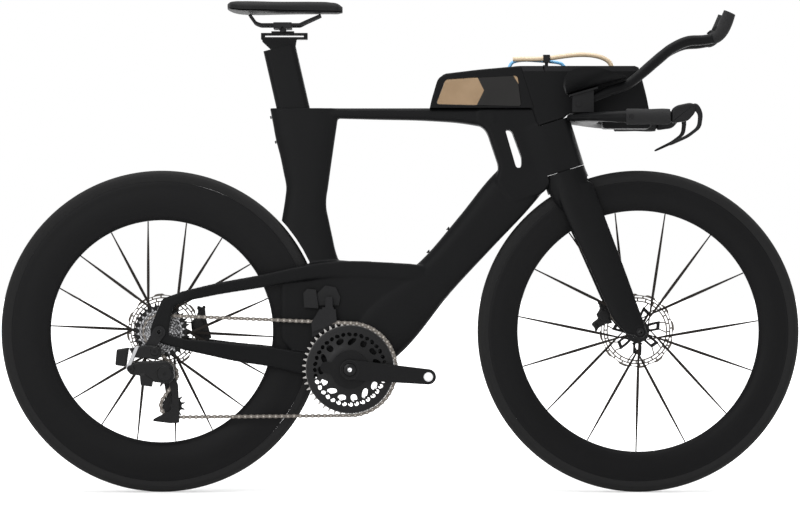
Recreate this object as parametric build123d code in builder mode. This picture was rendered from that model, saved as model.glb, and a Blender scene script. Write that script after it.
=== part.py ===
"""Time trial bike, built as separate pieces in millimetres.

X points forward, Y to the rider's left and Z up. The origin lies on the ground, midway between the
two axles, in the middle plane of the bike.
"""

from build123d import *
import math
import os

os.makedirs("parts", exist_ok=True)

# Driving dimensions of the whole bike
wheelbase = 1005.0
tyre_radius = 339.0
bb_drop = 79.0
bb_ahead_of_rear_axle = 397.5
head_angle = 72.5
fork_rake = 47.86
fork_length = 363.0
rear_hub_spacing = 142.0
front_hub_spacing = 100.0
running_clearance = 0.05
seat_clearance = 0.1
body_gap = 0.5

# Wheels
tyre_half_width = 14.0
tyre_wall = 2.2
tyre_seat_half_width = 12.4
rim_outer_radius = 316.0
front_rim_depth = 62.0
rear_rim_depth = 82.0
rim_edge_half_width = 12.8
rim_bulge_half_width = 14.0
rim_nose_half_width = 7.0
rim_wall = 1.8
front_spoke_count = 15
rear_spoke_count = 18
spoke_width = 2.2
spoke_thickness = 1.0
valve_length = 34.0
valve_radius = 2.6
axle_radius = 6.0
axle_bore_radius = 4.0
rotor_radius = 80.0
rotor_track = 14.0
rotor_thickness = 1.8
rotor_inset = 15.3

# Drivetrain
chain_pitch = 12.7
roller_radius = 3.85
chain_half_width = 2.6
roller_half_width = 1.05
chain_plane = -43.0
big_ring_teeth = 48
small_ring_teeth = 35
cassette_teeth = [10, 11, 12, 13, 14, 15, 16, 17, 18, 21, 24, 28]
chain_sprocket_teeth = 17
sprocket_spacing = 3.65
sprocket_thickness = 1.6
pulley_teeth = 12
crank_length = 165.0
crank_angle = -5.15
pedal_face = 73.0
spindle_radius = 14.4
spindle_bore_radius = 6.0
bb_shell_radius = 27.0
bb_shell_half_width = 38.0
bb_bearing_radius = 20.9
pedal_thread_radius = 7.14

# Frame
dropout_thickness = 9.0
wheel_gap = 5.5
rear_side_gap = 8.0
fork_side_gap = 6.0
top_tube_height = 549.5
seatpost_chord = 69.0
seatpost_width = 25.0
seatpost_angle = 77.1
seatpost_length = 226.0
seatpost_insertion = 85.0
seatpost_socket_depth = 138.0
head_half_width = 29.0
head_nose_radius = 45.0
head_split = 7.0
head_top = 112.0
steerer_radius = 14.3
lower_bearing_radius = 25.5
upper_bearing_radius = 21.5
bearing_height = 7.0
crown_half_width = 34.0
module_tail_radius = 36.0
box_half_width = 30.0

# Cockpit
cup_offset = 92.0
grip_offset = 195.0
extension_tip_offset = 62.0
extension_thickness = 21.0
drink_side = -6.0
return_side = 9.0

rear_x = -wheelbase / 2
front_x = wheelbase / 2
axle_z = tyre_radius
bb_x = rear_x + bb_ahead_of_rear_axle
bb_z = axle_z - bb_drop
cos_head = math.cos(math.radians(head_angle))
sin_head = math.sin(math.radians(head_angle))
head_x = front_x - fork_rake * sin_head - fork_length * cos_head
head_z = axle_z - fork_rake * cos_head + fork_length * sin_head
steer_plane = Plane(origin=(head_x, 0, head_z), x_dir=(sin_head, 0, cos_head), z_dir=(-cos_head, 0, sin_head))


def rear(dx, dz):
    """Point of the side view, given from the rear axle."""
    return (rear_x + dx, axle_z + dz)


def front(dx, dz):
    """Point of the side view, given from the front axle."""
    return (front_x + dx, axle_z + dz)


def bb(dx, dz):
    """Point of the side view, given from the bottom bracket."""
    return (bb_x + dx, bb_z + dz)


def head(dx, dz):
    """Point of the side view, given from the steering point on the head axis."""
    return (head_x + dx, head_z + dz)


def steer(ahead, up):
    """Point of the side view, given ahead of the steering axis and up along it."""
    return (head_x + ahead * sin_head - up * cos_head, head_z + ahead * cos_head + up * sin_head)


def side_plane(y):
    """Side-view plane at a distance y to the left, on which an extrusion runs to the right."""
    return Plane(origin=(0, y, 0), x_dir=(1, 0, 0), z_dir=(0, -1, 0))


def hub_plane(x):
    """Plane through a wheel's axle whose sketch x runs along the axle and whose y is the radius."""
    return Plane(origin=(x, 0, axle_z), x_dir=(0, 1, 0), z_dir=(1, 0, 0))


def side_plate(points, y_low, y_high):
    """Straight-edged side outline as a plate between two distances from the middle plane."""
    with BuildPart() as piece:
        with BuildSketch(side_plane(y_high)):
            with BuildLine():
                Polyline(*points, close=True)
            make_face()
        extrude(amount=y_high - y_low)
    return piece.part


def rounded_tube(stations, rounding=0.45):
    """Tube through stations of (x, y, z, chord angle, chord, width), each a rounded rectangle."""
    with BuildPart() as piece:
        for x, y, z, angle, chord, width in stations:
            turn = math.radians(angle)
            along = (math.cos(turn), 0, math.sin(turn))
            normal = (-math.sin(turn), 0, math.cos(turn))
            with BuildSketch(Plane(origin=(x, y, z), x_dir=along, z_dir=normal)):
                RectangleRounded(chord, width, rounding * min(chord, width))
        loft(ruled=True)
    return piece.part


def swept_tube(stations, rounding=0.45):
    """Tube through stations of (centre, direction, chord axis, chord, thickness) in free space."""
    with BuildPart() as piece:
        for centre, direction, chord_axis, chord, thickness in stations:
            with BuildSketch(Plane(origin=centre, x_dir=chord_axis, z_dir=direction)):
                RectangleRounded(chord, thickness, rounding * min(chord, thickness))
        loft(ruled=True)
    return piece.part


def disc_y(point, y_low, y_high, radius):
    """Round bar along Y, centred on a side-view point."""
    with BuildPart() as piece:
        with BuildSketch(side_plane(y_high)):
            with Locations(point):
                Circle(radius)
        extrude(amount=y_high - y_low)
    return piece.part


def ring_y(point, y_low, y_high, radius, bore):
    """Ring along Y, centred on a side-view point."""
    with BuildPart() as piece:
        with BuildSketch(side_plane(y_high)):
            with Locations(point):
                Circle(radius)
                Circle(bore, mode=Mode.SUBTRACT)
        extrude(amount=y_high - y_low)
    return piece.part


def round_hull(points, radii, y_low, y_high):
    """Arm of the side view made of discs joined by their outer tangents, as a plate along Y."""
    with BuildPart() as piece:
        with BuildSketch(side_plane(y_high)):
            for point, radius in zip(points, radii):
                with Locations(point):
                    Circle(radius)
            make_hull()
        extrude(amount=y_high - y_low)
    return piece.part


# Main frame

seat_top_z = bb_z + top_tube_height
post_lean = math.radians(seatpost_angle)
post_up = (-math.cos(post_lean), 0, math.sin(post_lean))
post_across = (math.sin(post_lean), 0, math.cos(post_lean))
post_mouth = (bb_x - 120.4, 0, seat_top_z)

seat_tube_stations = [
    (*bb(-96.4, top_tube_height), 146.0, 34.0),
    (*bb(-94.6, 482.5), 124.0, 34.0),
    (*bb(-91.1, 381.0), 88.0, 32.0),
    (*bb(-95.1, 347.0), 88.5, 32.0),
    (*bb(-94.9, 313.6), 99.5, 33.0),
    (*bb(-93.0, 246.0), 125.0, 36.0),
    (*bb(-92.0, 190.0), 170.0, 42.0),
]
top_tube_stations = [
    (bb_x - 45.0, seat_top_z - 10.5, 21.0, 30.0),
    (bb_x + 50.0, seat_top_z - 12.0, 24.0, 34.0),
    (head_x - 284.7, seat_top_z - 13.6, 27.3, 42.0),
    (head_x - 183.0, seat_top_z - 19.0, 38.0, 52.0),
    (head_x - 150.0, seat_top_z - 23.0, 46.0, 56.0),
]
down_tube_stations = [
    (*head(-112.0, -36.0), -43.0, 104.0, 50.0),
    (*head(-186.9, -121.4), -43.0, 96.0, 52.0),
    (*head(-268.8, -212.8), -43.0, 91.5, 54.0),
    (*bb(62.0, 80.0), -45.0, 130.0, 58.0),
    (*bb(18.0, 22.0), -47.0, 96.0, 60.0),
]
lower_mass_points = [
    bb(-84.0, 228.0),
    bb(-20.0, 229.2),
    bb(20.2, 225.0),
    bb(127.9, 215.6),
    bb(170.0, 226.0),
    bb(217.3, 166.9),
    bb(102.4, 43.5),
    bb(64.0, 2.0),
    bb(30.0, -27.0),
    bb(-40.0, -30.0),
    bb(-96.0, -6.0),
    bb(-150.0, 60.0),
    bb(-150.0, 200.0),
]
head_block_points = [
    (head_x - 190.0, seat_top_z - 0.5),
    head(-183.4, 101.3),
    head(-166.5, 89.7),
    head(-141.8, 4.2),
    head(-128.0, -40.0),
    head(-44.0, -44.4),
    steer(-44.0, head_split),
    steer(46.0, head_split),
    steer(45.0, 98.0),
    steer(38.0, head_top),
    steer(-18.0, head_top),
    (head_x - 63.0, seat_top_z - 0.5),
]
slot_points = [head(-126.5, 90.0), head(-112.5, 88.5), head(-91.0, 33.0), head(-91.5, 18.0), head(-103.0, 16.0)]
dropout_points = [
    rear(6.1, 70.0),
    rear(-4.4, 44.7),
    rear(-17.1, 13.0),
    rear(-19.2, -3.9),
    rear(-12.9, -16.6),
    rear(6.1, -25.0),
    rear(56.0, -38.0),
    rear(56.0, -15.5),
    rear(18.8, -6.0),
    rear(23.0, 23.6),
    rear(29.3, 53.2),
    rear(56.0, 64.5),
    rear(56.0, 87.0),
]
dropout_y = rear_hub_spacing / 2
dropout_middle = dropout_y + dropout_thickness / 2
upper_stay_stations = [
    (rear_x + 50.0, dropout_middle, axle_z + 75.0, 90.0, 22.5, dropout_thickness),
    (rear_x + 120.0, 58.0, axle_z + 90.0, 90.0, 25.0, 12.0),
    (rear_x + 206.6, 42.0, axle_z + 105.0, 90.0, 27.3, 13.0),
    (rear_x + 291.1, 29.0, axle_z + 121.7, 90.0, 31.6, 15.0),
    (bb_x - 52.0, 19.0, bb_z + 210.0, 90.0, 34.0, 16.0),
]
lower_stay_stations = [
    (rear_x + 50.0, dropout_middle, axle_z - 26.0, 90.0, 23.0, dropout_thickness),
    (rear_x + 80.0, 71.0, axle_z - 30.3, 90.0, 27.5, 11.0),
    (rear_x + 164.5, 54.0, axle_z - 44.4, 90.0, 37.5, 13.0),
    (rear_x + 227.8, 40.0, axle_z - 52.4, 90.0, 42.0, 13.0),
    (rear_x + 291.1, 30.0, axle_z - 65.1, 90.0, 46.4, 13.0),
    (bb_x - 62.0, 24.0, bb_z + 6.0, 90.0, 50.0, 13.0),
    (bb_x - 14.0, 20.0, bb_z, 90.0, 46.0, 16.0),
]
bottle_screw_pitch = 64.0
bottle_thread_radius = 2.5


def down_tube_edge(station):
    """Upper edge of the down tube at one of its stations."""
    x, z, angle, chord, _ = station
    turn = math.radians(angle)
    return Vector(x - chord / 2 * math.cos(turn), 0, z - chord / 2 * math.sin(turn))


edge_high = down_tube_edge(down_tube_stations[1])
edge_low = down_tube_edge(down_tube_stations[2])
edge_down = (edge_low - edge_high).normalized()
screw_out = Vector(edge_down.Z, 0, -edge_down.X)
bottle_spots = [edge_high + edge_down * 36.0, edge_high + edge_down * (36.0 + bottle_screw_pitch)]


def bottle_plane(spot, lift):
    """Plane of a bottle screw at a height above the down tube."""
    return Plane(origin=spot + screw_out * lift, x_dir=(0, 1, 0), z_dir=screw_out)


head_plan_points = [(-190.0, 24.0), (-80.0, 25.0), (-20.0, head_half_width), (60.0, head_half_width)]

with BuildPart() as head_plan:
    with BuildSketch(steer_plane.offset(-70.0)):
        with BuildLine():
            Polyline(*head_plan_points, *[(x, -y) for x, y in reversed(head_plan_points)], close=True)
        make_face()
        with BuildSketch(steer_plane.offset(-70.0), mode=Mode.INTERSECT):
            Circle(head_nose_radius)
            with Locations((-100.0, 0)):
                Rectangle(200.0, 80.0)
    extrude(amount=320.0)

with BuildPart() as main_frame:
    frame_tubes = [
        rounded_tube([(x, 0, z, 0.0, chord, width) for x, z, chord, width in seat_tube_stations]),
        rounded_tube([(x, 0, z, 90.0, chord, width) for x, z, chord, width in top_tube_stations], 0.3),
        rounded_tube([(x, 0, z, angle, chord, width) for x, z, angle, chord, width in down_tube_stations], 0.35),
        side_plate(lower_mass_points, -21.0, 21.0),
        side_plate(head_block_points, -head_half_width, head_half_width) & head_plan.part,
        disc_y(bb(0, 0), -bb_shell_half_width, bb_shell_half_width, bb_shell_radius),
    ]
    for side in (1, -1):
        frame_tubes.append(rounded_tube([(x, side * y, z, a, c, w) for x, y, z, a, c, w in upper_stay_stations]))
        frame_tubes.append(rounded_tube([(x, side * y, z, a, c, w) for x, y, z, a, c, w in lower_stay_stations]))
        low, high = sorted((side * dropout_y, side * (dropout_y + dropout_thickness)))
        frame_tubes.append(side_plate(dropout_points, low, high))
    add(frame_tubes)
    # room for the rear wheel, through the whole frame behind the seat tube and between the stays below
    room_half = tyre_half_width + rear_side_gap
    add(disc_y(rear(0, 0), -room_half, room_half, tyre_radius + wheel_gap), mode=Mode.SUBTRACT)
    # slot behind the head tube
    add(side_plate(slot_points, -60.0, 60.0), mode=Mode.SUBTRACT)
    # bore of the bottom bracket and of the rear axle
    add(disc_y(bb(0, 0), -60.0, 60.0, bb_bearing_radius + seat_clearance), mode=Mode.SUBTRACT)
    add(disc_y(rear(0, 0), -90.0, 90.0, axle_radius + running_clearance), mode=Mode.SUBTRACT)
    # head tube: bearing seats, steerer bore, room for the fork crown and for the turning tail of the module
    with BuildSketch(steer_plane.offset(-80.0)):
        Circle(head_nose_radius + 1.4)
    extrude(amount=80.0 + head_split, mode=Mode.SUBTRACT)
    with BuildSketch(steer_plane.offset(head_split)):
        Circle(steerer_radius + 3.0)
    extrude(amount=head_top, mode=Mode.SUBTRACT)
    with BuildSketch(steer_plane.offset(head_split)):
        Circle(lower_bearing_radius + seat_clearance)
    extrude(amount=bearing_height, mode=Mode.SUBTRACT)
    with BuildSketch(steer_plane.offset(head_top - bearing_height)):
        Circle(upper_bearing_radius + seat_clearance)
    extrude(amount=bearing_height, mode=Mode.SUBTRACT)
    with BuildSketch(steer_plane.offset(head_top)):
        Circle(module_tail_radius + 1.2)
    extrude(amount=120.0, mode=Mode.SUBTRACT)
    # threads for the bottle screws
    for spot in bottle_spots:
        with BuildSketch(bottle_plane(spot, 3.0)):
            Circle(bottle_thread_radius)
        extrude(amount=-12.0, mode=Mode.SUBTRACT)
    # socket for the seatpost
    with BuildSketch(Plane(origin=post_mouth, x_dir=post_across, z_dir=post_up).offset(20.0)):
        RectangleRounded(seatpost_chord + 1.0, seatpost_width + 1.0, 12.0)
    extrude(amount=-seatpost_socket_depth - 20.0, mode=Mode.SUBTRACT)
main_frame.part.label = "main_frame"
export_step(main_frame.part, "parts/main_frame.step")

# Fork with its steerer

leg_width = 14.0
leg_middle = front_hub_spacing / 2 + body_gap / 2 + leg_width / 2
leg_stations = [
    (*head(22.0, -22.0), 30.0, 84.0),
    (*head(36.0, -75.0), 35.0, 82.0),
    (*head(62.2, -139.3), 42.0, 77.0),
    (*front(-58.1, 108.0), 49.0, 70.0),
    (*front(-41.3, 66.0), 52.0, 66.0),
    (*front(-23.5, 23.7), leg_middle - 1.5, 61.0),
    (*front(-8.0, -1.0), leg_middle, 48.0),
]
leg_end_radius = 13.0
crown_points = [
    steer(-head_nose_radius, head_split - 1.0),
    steer(46.0, head_split - 1.0),
    head(56.0, -8.0),
    head(66.0, -45.0),
    head(4.0, -80.0),
    head(-20.0, -45.0),
    head(-34.0, -40.0),
]
with BuildPart() as crown_plan:
    with BuildSketch(steer_plane.offset(-90.0)):
        Circle(head_nose_radius)
        with Locations((60.0, 0)):
            Rectangle(120.0, 2 * crown_half_width)
        with BuildSketch(steer_plane.offset(-90.0), mode=Mode.INTERSECT):
            Rectangle(300.0, 2 * crown_half_width)
    extrude(amount=120.0)

with BuildPart() as fork:
    fork_pieces = [side_plate(crown_points, -crown_half_width, crown_half_width) & crown_plan.part]
    for side in (1, -1):
        fork_pieces.append(rounded_tube([(x, side * y, z, 0.0, chord, leg_width) for x, z, y, chord in leg_stations]))
        inner = front_hub_spacing / 2 + body_gap / 2
        low, high = sorted((side * inner, side * (inner + leg_width)))
        fork_pieces.append(disc_y(front(0, 0), low, high, leg_end_radius))
    add(fork_pieces)
    with BuildSketch(steer_plane):
        Circle(steerer_radius)
    extrude(amount=head_top + 12.0)
    room_half = tyre_half_width + fork_side_gap
    add(disc_y(front(0, 0), -room_half, room_half, tyre_radius + wheel_gap), mode=Mode.SUBTRACT)
    add(disc_y(front(0, 0), -90.0, 90.0, axle_radius + running_clearance), mode=Mode.SUBTRACT)
    hub_room = front_hub_spacing / 2 + 0.2
    add(disc_y(front(0, 0), -hub_room, hub_room, leg_end_radius), mode=Mode.SUBTRACT)
fork.part.label = "fork"
export_step(fork.part, "parts/fork.step")

# Bearings of the steerer and of the crank spindle

with BuildPart() as frame_bearings:
    with BuildSketch(steer_plane.offset(head_split + 0.2)):
        Circle(lower_bearing_radius)
        Circle(steerer_radius + running_clearance, mode=Mode.SUBTRACT)
    extrude(amount=bearing_height - 0.4)
    with BuildSketch(steer_plane.offset(head_top - bearing_height + 0.2)):
        Circle(upper_bearing_radius)
        Circle(steerer_radius + running_clearance, mode=Mode.SUBTRACT)
    extrude(amount=bearing_height - 0.4)
    bearing_width = 7.0
    for side in (1, -1):
        outer = side * bb_shell_half_width
        low, high = sorted((outer, outer - side * bearing_width))
        add(ring_y(bb(0, 0), low, high, bb_bearing_radius, spindle_radius + running_clearance))
frame_bearings.part.label = "frame_bearings"
export_step(frame_bearings.part, "parts/frame_bearings.step")

# Wheels


def tyre(axle_x):
    """Hollow tyre whose two sidewalls land on the rim: straight walls under a round tread."""
    tread_centre = tyre_radius - tyre_half_width
    seat = rim_outer_radius + seat_clearance
    with BuildPart() as piece:
        with BuildSketch(hub_plane(axle_x)):
            with BuildLine():
                Line((tyre_seat_half_width, seat), (tyre_half_width, tread_centre))
                ThreePointArc((tyre_half_width, tread_centre), (0, tyre_radius), (-tyre_half_width, tread_centre))
                Line((-tyre_half_width, tread_centre), (-tyre_seat_half_width, seat))
                Line((-tyre_seat_half_width, seat), (tyre_seat_half_width, seat))
            make_face()
            inner = tyre_half_width - tyre_wall
            foot = tyre_seat_half_width - tyre_wall
            with BuildLine():
                Line((foot, seat - 1.0), (inner, tread_centre))
                ThreePointArc((inner, tread_centre), (0, tyre_radius - tyre_wall), (-inner, tread_centre))
                Line((-inner, tread_centre), (-foot, seat - 1.0))
                Line((-foot, seat - 1.0), (foot, seat - 1.0))
            make_face(mode=Mode.SUBTRACT)
        revolve(axis=Axis((axle_x, 0, axle_z), (0, 1, 0)))
    return piece.part


def rim_edges(depth, skin):
    """Outline of the deep rim, drawn in by the thickness of its skin."""
    inner = rim_outer_radius - depth + skin
    top = rim_outer_radius - skin
    edge = rim_edge_half_width - skin
    bulge = rim_bulge_half_width - skin
    nose = rim_nose_half_width - skin / 2
    shoulder = rim_outer_radius - depth + 9.0
    middle = rim_outer_radius - 0.42 * depth
    for side in (1, -1):
        ThreePointArc((side * edge, top), (side * bulge, middle), (side * nose, shoulder))
    ThreePointArc((nose, shoulder), (0, inner), (-nose, shoulder))
    Line((edge, top), (-edge, top))


def rim(axle_x, depth, valve_angle):
    """Hollow deep rim with its valve standing on the nose."""
    with BuildPart() as piece:
        with BuildSketch(hub_plane(axle_x)):
            with BuildLine():
                rim_edges(depth, 0.0)
            make_face()
            with BuildLine():
                rim_edges(depth, rim_wall)
            make_face(mode=Mode.SUBTRACT)
        revolve(axis=Axis((axle_x, 0, axle_z), (0, 1, 0)))
    turn = math.radians(valve_angle)
    away = (math.cos(turn), 0, math.sin(turn))
    foot = rim_outer_radius - depth - seat_clearance
    stem_base = (axle_x + foot * away[0], 0, axle_z + foot * away[2])
    with BuildPart() as valve:
        with BuildSketch(Plane(origin=stem_base, x_dir=(0, 1, 0), z_dir=away)):
            Circle(valve_radius)
        extrude(amount=-valve_length)
    return Compound(children=[*piece.part.solids(), *valve.part.solids()])


def spoke_line(axle_x, angle, offset, hub_radius, hub_y, rim_radius):
    """Straight spoke from the hub flange to the rim nose, passing the axle at a side offset."""
    graze = spoke_width / 2 * abs(offset) / math.sqrt(hub_radius**2 - offset**2)
    start = math.sqrt((hub_radius + graze) ** 2 - offset**2)
    stop = math.sqrt(rim_radius**2 - offset**2)
    turn = math.radians(angle) - math.asin(offset / rim_radius)
    along = Vector(math.cos(turn), 0, math.sin(turn))
    beside = Vector(-math.sin(turn), 0, math.cos(turn)) * offset
    centre = Vector(axle_x, 0, axle_z)
    first = centre + along * start + beside + Vector(0, hub_y, 0)
    last = centre + along * stop + beside
    return first, last


def spoke(first, last):
    """Bladed spoke between two points, its wide side in the plane of the wheel."""
    along = (last - first).normalized()
    wide = along.cross(Vector(0, 1, 0))
    with BuildPart() as piece:
        with BuildSketch(Plane(origin=first, x_dir=wide, z_dir=along)):
            Ellipse(spoke_width / 2, spoke_thickness / 2)
        extrude(amount=(last - first).length)
    return piece.part.solid()


def turned(axle_x, outline):
    """Solid of revolution about a wheel's axle from an outline of (y, radius)."""
    with BuildPart() as piece:
        with BuildSketch(hub_plane(axle_x)):
            with BuildLine():
                Polyline(*outline, close=True)
            make_face()
        revolve(axis=Axis((axle_x, 0, axle_z), (0, 1, 0)))
    return piece.part


def rotor(axle_x, y, seat_radius):
    """Brake rotor: a drilled track carried by arms on an inner ring."""
    arm_count = 10
    hole_count = 30
    hole_radius = 1.9
    arm_width = 5.0
    ring_width = 5.0
    centre = (axle_x, axle_z)
    with BuildPart() as piece:
        with BuildSketch(side_plane(y + rotor_thickness / 2)):
            with Locations(centre):
                Circle(rotor_radius)
                Circle(rotor_radius - rotor_track, mode=Mode.SUBTRACT)
                Circle(seat_radius + ring_width)
                with PolarLocations(0, arm_count):
                    with Locations((rotor_radius / 2 + 4.0, 0)):
                        Rectangle(rotor_radius - 18.0, arm_width, rotation=-14.0)
                Circle(seat_radius, mode=Mode.SUBTRACT)
                for hole_ring in (rotor_radius - 4.5, rotor_radius - 9.5):
                    with PolarLocations(hole_ring, hole_count, start_angle=hole_ring):
                        Circle(hole_radius, mode=Mode.SUBTRACT)
        extrude(amount=rotor_thickness)
    return piece.part


front_rim_inner = rim_outer_radius - front_rim_depth
rear_rim_inner = rim_outer_radius - rear_rim_depth
spoke_end_gap = 0.3
cross_offset = 21.0
disc_flange_radius = 25.0
plain_flange_radius = 17.0
flange_y = 22.0
hub_body_radius = 11.5
rotor_seat_radius = 17.0
axle_hole = axle_radius + running_clearance
front_cap = front_hub_spacing / 2
rear_cap = rear_hub_spacing / 2
front_rotor_y = front_cap - rotor_inset
rear_rotor_y = rear_cap - rotor_inset

with BuildPart() as front_tyre:
    add(tyre(front_x))
front_tyre.part.label = "front_tyre"
export_step(front_tyre.part, "parts/front_tyre.step")

with BuildPart() as rear_tyre:
    add(tyre(rear_x))
rear_tyre.part.label = "rear_tyre"
export_step(rear_tyre.part, "parts/rear_tyre.step")

with BuildPart() as front_rim:
    add(rim(front_x, front_rim_depth, 89.0))
front_rim.part.label = "front_rim"
export_step(front_rim.part, "parts/front_rim.step")

with BuildPart() as rear_rim:
    add(rim(rear_x, rear_rim_depth, 88.0))
rear_rim.part.label = "rear_rim"
export_step(rear_rim.part, "parts/rear_rim.step")

with BuildPart() as front_hub:
    front_hub_outline = [
        (-front_cap, axle_hole),
        (-front_cap, 9.0),
        (-flange_y - 14.0, 9.5),
        (-flange_y - 10.0, plain_flange_radius),
        (-flange_y - 4.0, plain_flange_radius),
        (-flange_y + 2.0, hub_body_radius),
        (flange_y - 12.0, hub_body_radius),
        (flange_y - 7.0, disc_flange_radius),
        (flange_y, disc_flange_radius),
        (flange_y + 5.0, rotor_seat_radius - seat_clearance),
        (front_rotor_y + 3.0, rotor_seat_radius - seat_clearance),
        (front_rotor_y + 6.0, 9.0),
        (front_cap, 9.0),
        (front_cap, axle_hole),
    ]
    add(turned(front_x, front_hub_outline))
front_hub.part.label = "front_hub"
export_step(front_hub.part, "parts/front_hub.step")

with BuildPart() as rear_hub:
    freehub_end = chain_plane - sprocket_spacing * 7 - 2.0
    freehub_radius = 15.0
    rear_hub_outline = [
        (-rear_cap, axle_hole),
        (-rear_cap, 9.0),
        (freehub_end, 9.0),
        (freehub_end, freehub_radius),
        (-flange_y - 5.0, freehub_radius),
        (-flange_y - 3.0, disc_flange_radius),
        (-flange_y + 4.0, disc_flange_radius),
        (-flange_y + 10.0, hub_body_radius),
        (flange_y + 8.0, hub_body_radius),
        (flange_y + 12.0, plain_flange_radius),
        (flange_y + 18.0, plain_flange_radius),
        (flange_y + 23.0, rotor_seat_radius - seat_clearance),
        (rear_rotor_y + 3.0, rotor_seat_radius - seat_clearance),
        (rear_rotor_y + 6.0, 9.0),
        (rear_cap, 9.0),
        (rear_cap, axle_hole),
    ]
    add(turned(rear_x, rear_hub_outline))
rear_hub.part.label = "rear_hub"
export_step(rear_hub.part, "parts/rear_hub.step")

# The front wheel has two crossing spokes on the disc side for each radial one on the right.
front_spoke_solids = []
for index in range(front_spoke_count):
    spoke_angle = 125.0 - index * 360.0 / front_spoke_count
    kind = index % 3
    if kind == 0:
        line = (0.0, plain_flange_radius + spoke_end_gap, -flange_y - 7.0)
    else:
        lean = 1 if kind == 1 else -1
        line = (lean * cross_offset, disc_flange_radius + spoke_end_gap, flange_y - 3.5 + lean * 1.6)
    ends = spoke_line(front_x, spoke_angle, *line, front_rim_inner - spoke_end_gap)
    front_spoke_solids.append(spoke(*ends))
with BuildPart() as front_spokes:
    add(front_spoke_solids)
front_spokes.part.label = "front_spokes"
export_step(front_spokes.part, "parts/front_spokes.step")

rear_spoke_solids = []
for index in range(rear_spoke_count):
    spoke_angle = 97.2 - index * 360.0 / rear_spoke_count
    kind = index % 3
    if kind == 0:
        line = (0.0, plain_flange_radius + spoke_end_gap, flange_y + 15.0)
    else:
        lean = 1 if kind == 1 else -1
        line = (lean * cross_offset, disc_flange_radius + spoke_end_gap, -flange_y + lean * 1.6)
    ends = spoke_line(rear_x, spoke_angle, *line, rear_rim_inner - spoke_end_gap)
    rear_spoke_solids.append(spoke(*ends))
with BuildPart() as rear_spokes:
    add(rear_spoke_solids)
rear_spokes.part.label = "rear_spokes"
export_step(rear_spokes.part, "parts/rear_spokes.step")

with BuildPart() as front_rotor:
    add(rotor(front_x, front_rotor_y, rotor_seat_radius))
front_rotor.part.label = "front_rotor"
export_step(front_rotor.part, "parts/front_rotor.step")

with BuildPart() as rear_rotor:
    add(rotor(rear_x, rear_rotor_y, rotor_seat_radius))
rear_rotor.part.label = "rear_rotor"
export_step(rear_rotor.part, "parts/rear_rotor.step")

# Through-axles: hollow bars with a head on the right, standing in the dropouts

with BuildPart() as front_axle:
    front_leg_face = front_cap + body_gap / 2 + leg_width
    add(ring_y(front(0, 0), -front_leg_face - 1.5, front_leg_face, axle_radius, axle_bore_radius))
    add(ring_y(front(0, 0), -front_leg_face - 2.5, -front_leg_face - 0.2, axle_radius + 1.8, axle_bore_radius))
front_axle.part.label = "front_axle"
export_step(front_axle.part, "parts/front_axle.step")

hanger_thickness = 5.0
hanger_face = -dropout_y - dropout_thickness - hanger_thickness
with BuildPart() as rear_axle:
    add(ring_y(rear(0, 0), hanger_face - 1.5, dropout_y + dropout_thickness, axle_radius, axle_bore_radius))
    add(ring_y(rear(0, 0), hanger_face - 2.5, hanger_face - 0.2, axle_radius + 1.8, axle_bore_radius))
rear_axle.part.label = "rear_axle"
export_step(rear_axle.part, "parts/rear_axle.step")

# Sprockets


def toothed_outline(teeth, phase):
    """Tooth outline of a chain sprocket: trapezoid teeth between the seats of the rollers."""
    pitch_radius = chain_pitch / (2 * math.sin(math.pi / teeth))
    points = []
    for index in range(teeth):
        middle = phase + (index + 0.5) * 2 * math.pi / teeth
        for half, radius in ((-2.9, -4.3), (-1.0, 3.2), (1.0, 3.2), (2.9, -4.3)):
            reach = pitch_radius + radius
            points.append((reach * math.cos(middle + half / reach), reach * math.sin(middle + half / reach)))
    return points


def sprocket(centre, teeth, phase, y, thickness, bore):
    """Flat sprocket whose middle plane stands at a distance y."""
    points = [(centre[0] + px, centre[1] + pz) for px, pz in toothed_outline(teeth, phase)]
    with BuildPart() as piece:
        with BuildSketch(side_plane(y + thickness / 2)):
            with BuildLine():
                Polyline(*points, close=True)
            make_face()
            with Locations(centre):
                Circle(bore, mode=Mode.SUBTRACT)
        extrude(amount=thickness)
    return piece.part


# Chain line: circles on which the chain runs, each with the turning sense of the chain
guide_centre = rear(11.0, -90.0)
tension_centre = rear(24.6, -154.8)


def pitch_radius_of(teeth):
    """Radius of the circle through the roller centres."""
    return chain_pitch / (2 * math.sin(math.pi / teeth))


chain_circles = [
    (rear(0, 0), chain_sprocket_teeth, 1),
    (bb(0, 0), big_ring_teeth, 1),
    (tension_centre, pulley_teeth, 1),
    (guide_centre, pulley_teeth, -1),
]


def chain_tangent(first, second):
    """Angle, on both circles, of the normal at which the chain leaves one for the next."""
    (ax, az), a_teeth, a_sense = first
    (cx, cz), c_teeth, c_sense = second
    distance = math.hypot(cx - ax, cz - az)
    bearing = math.atan2(cz - az, cx - ax)
    normal = bearing + math.acos((a_sense * pitch_radius_of(a_teeth) - c_sense * pitch_radius_of(c_teeth)) / distance)
    leave = normal if a_sense > 0 else normal + math.pi
    arrive = normal if c_sense > 0 else normal + math.pi
    return leave, arrive


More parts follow.
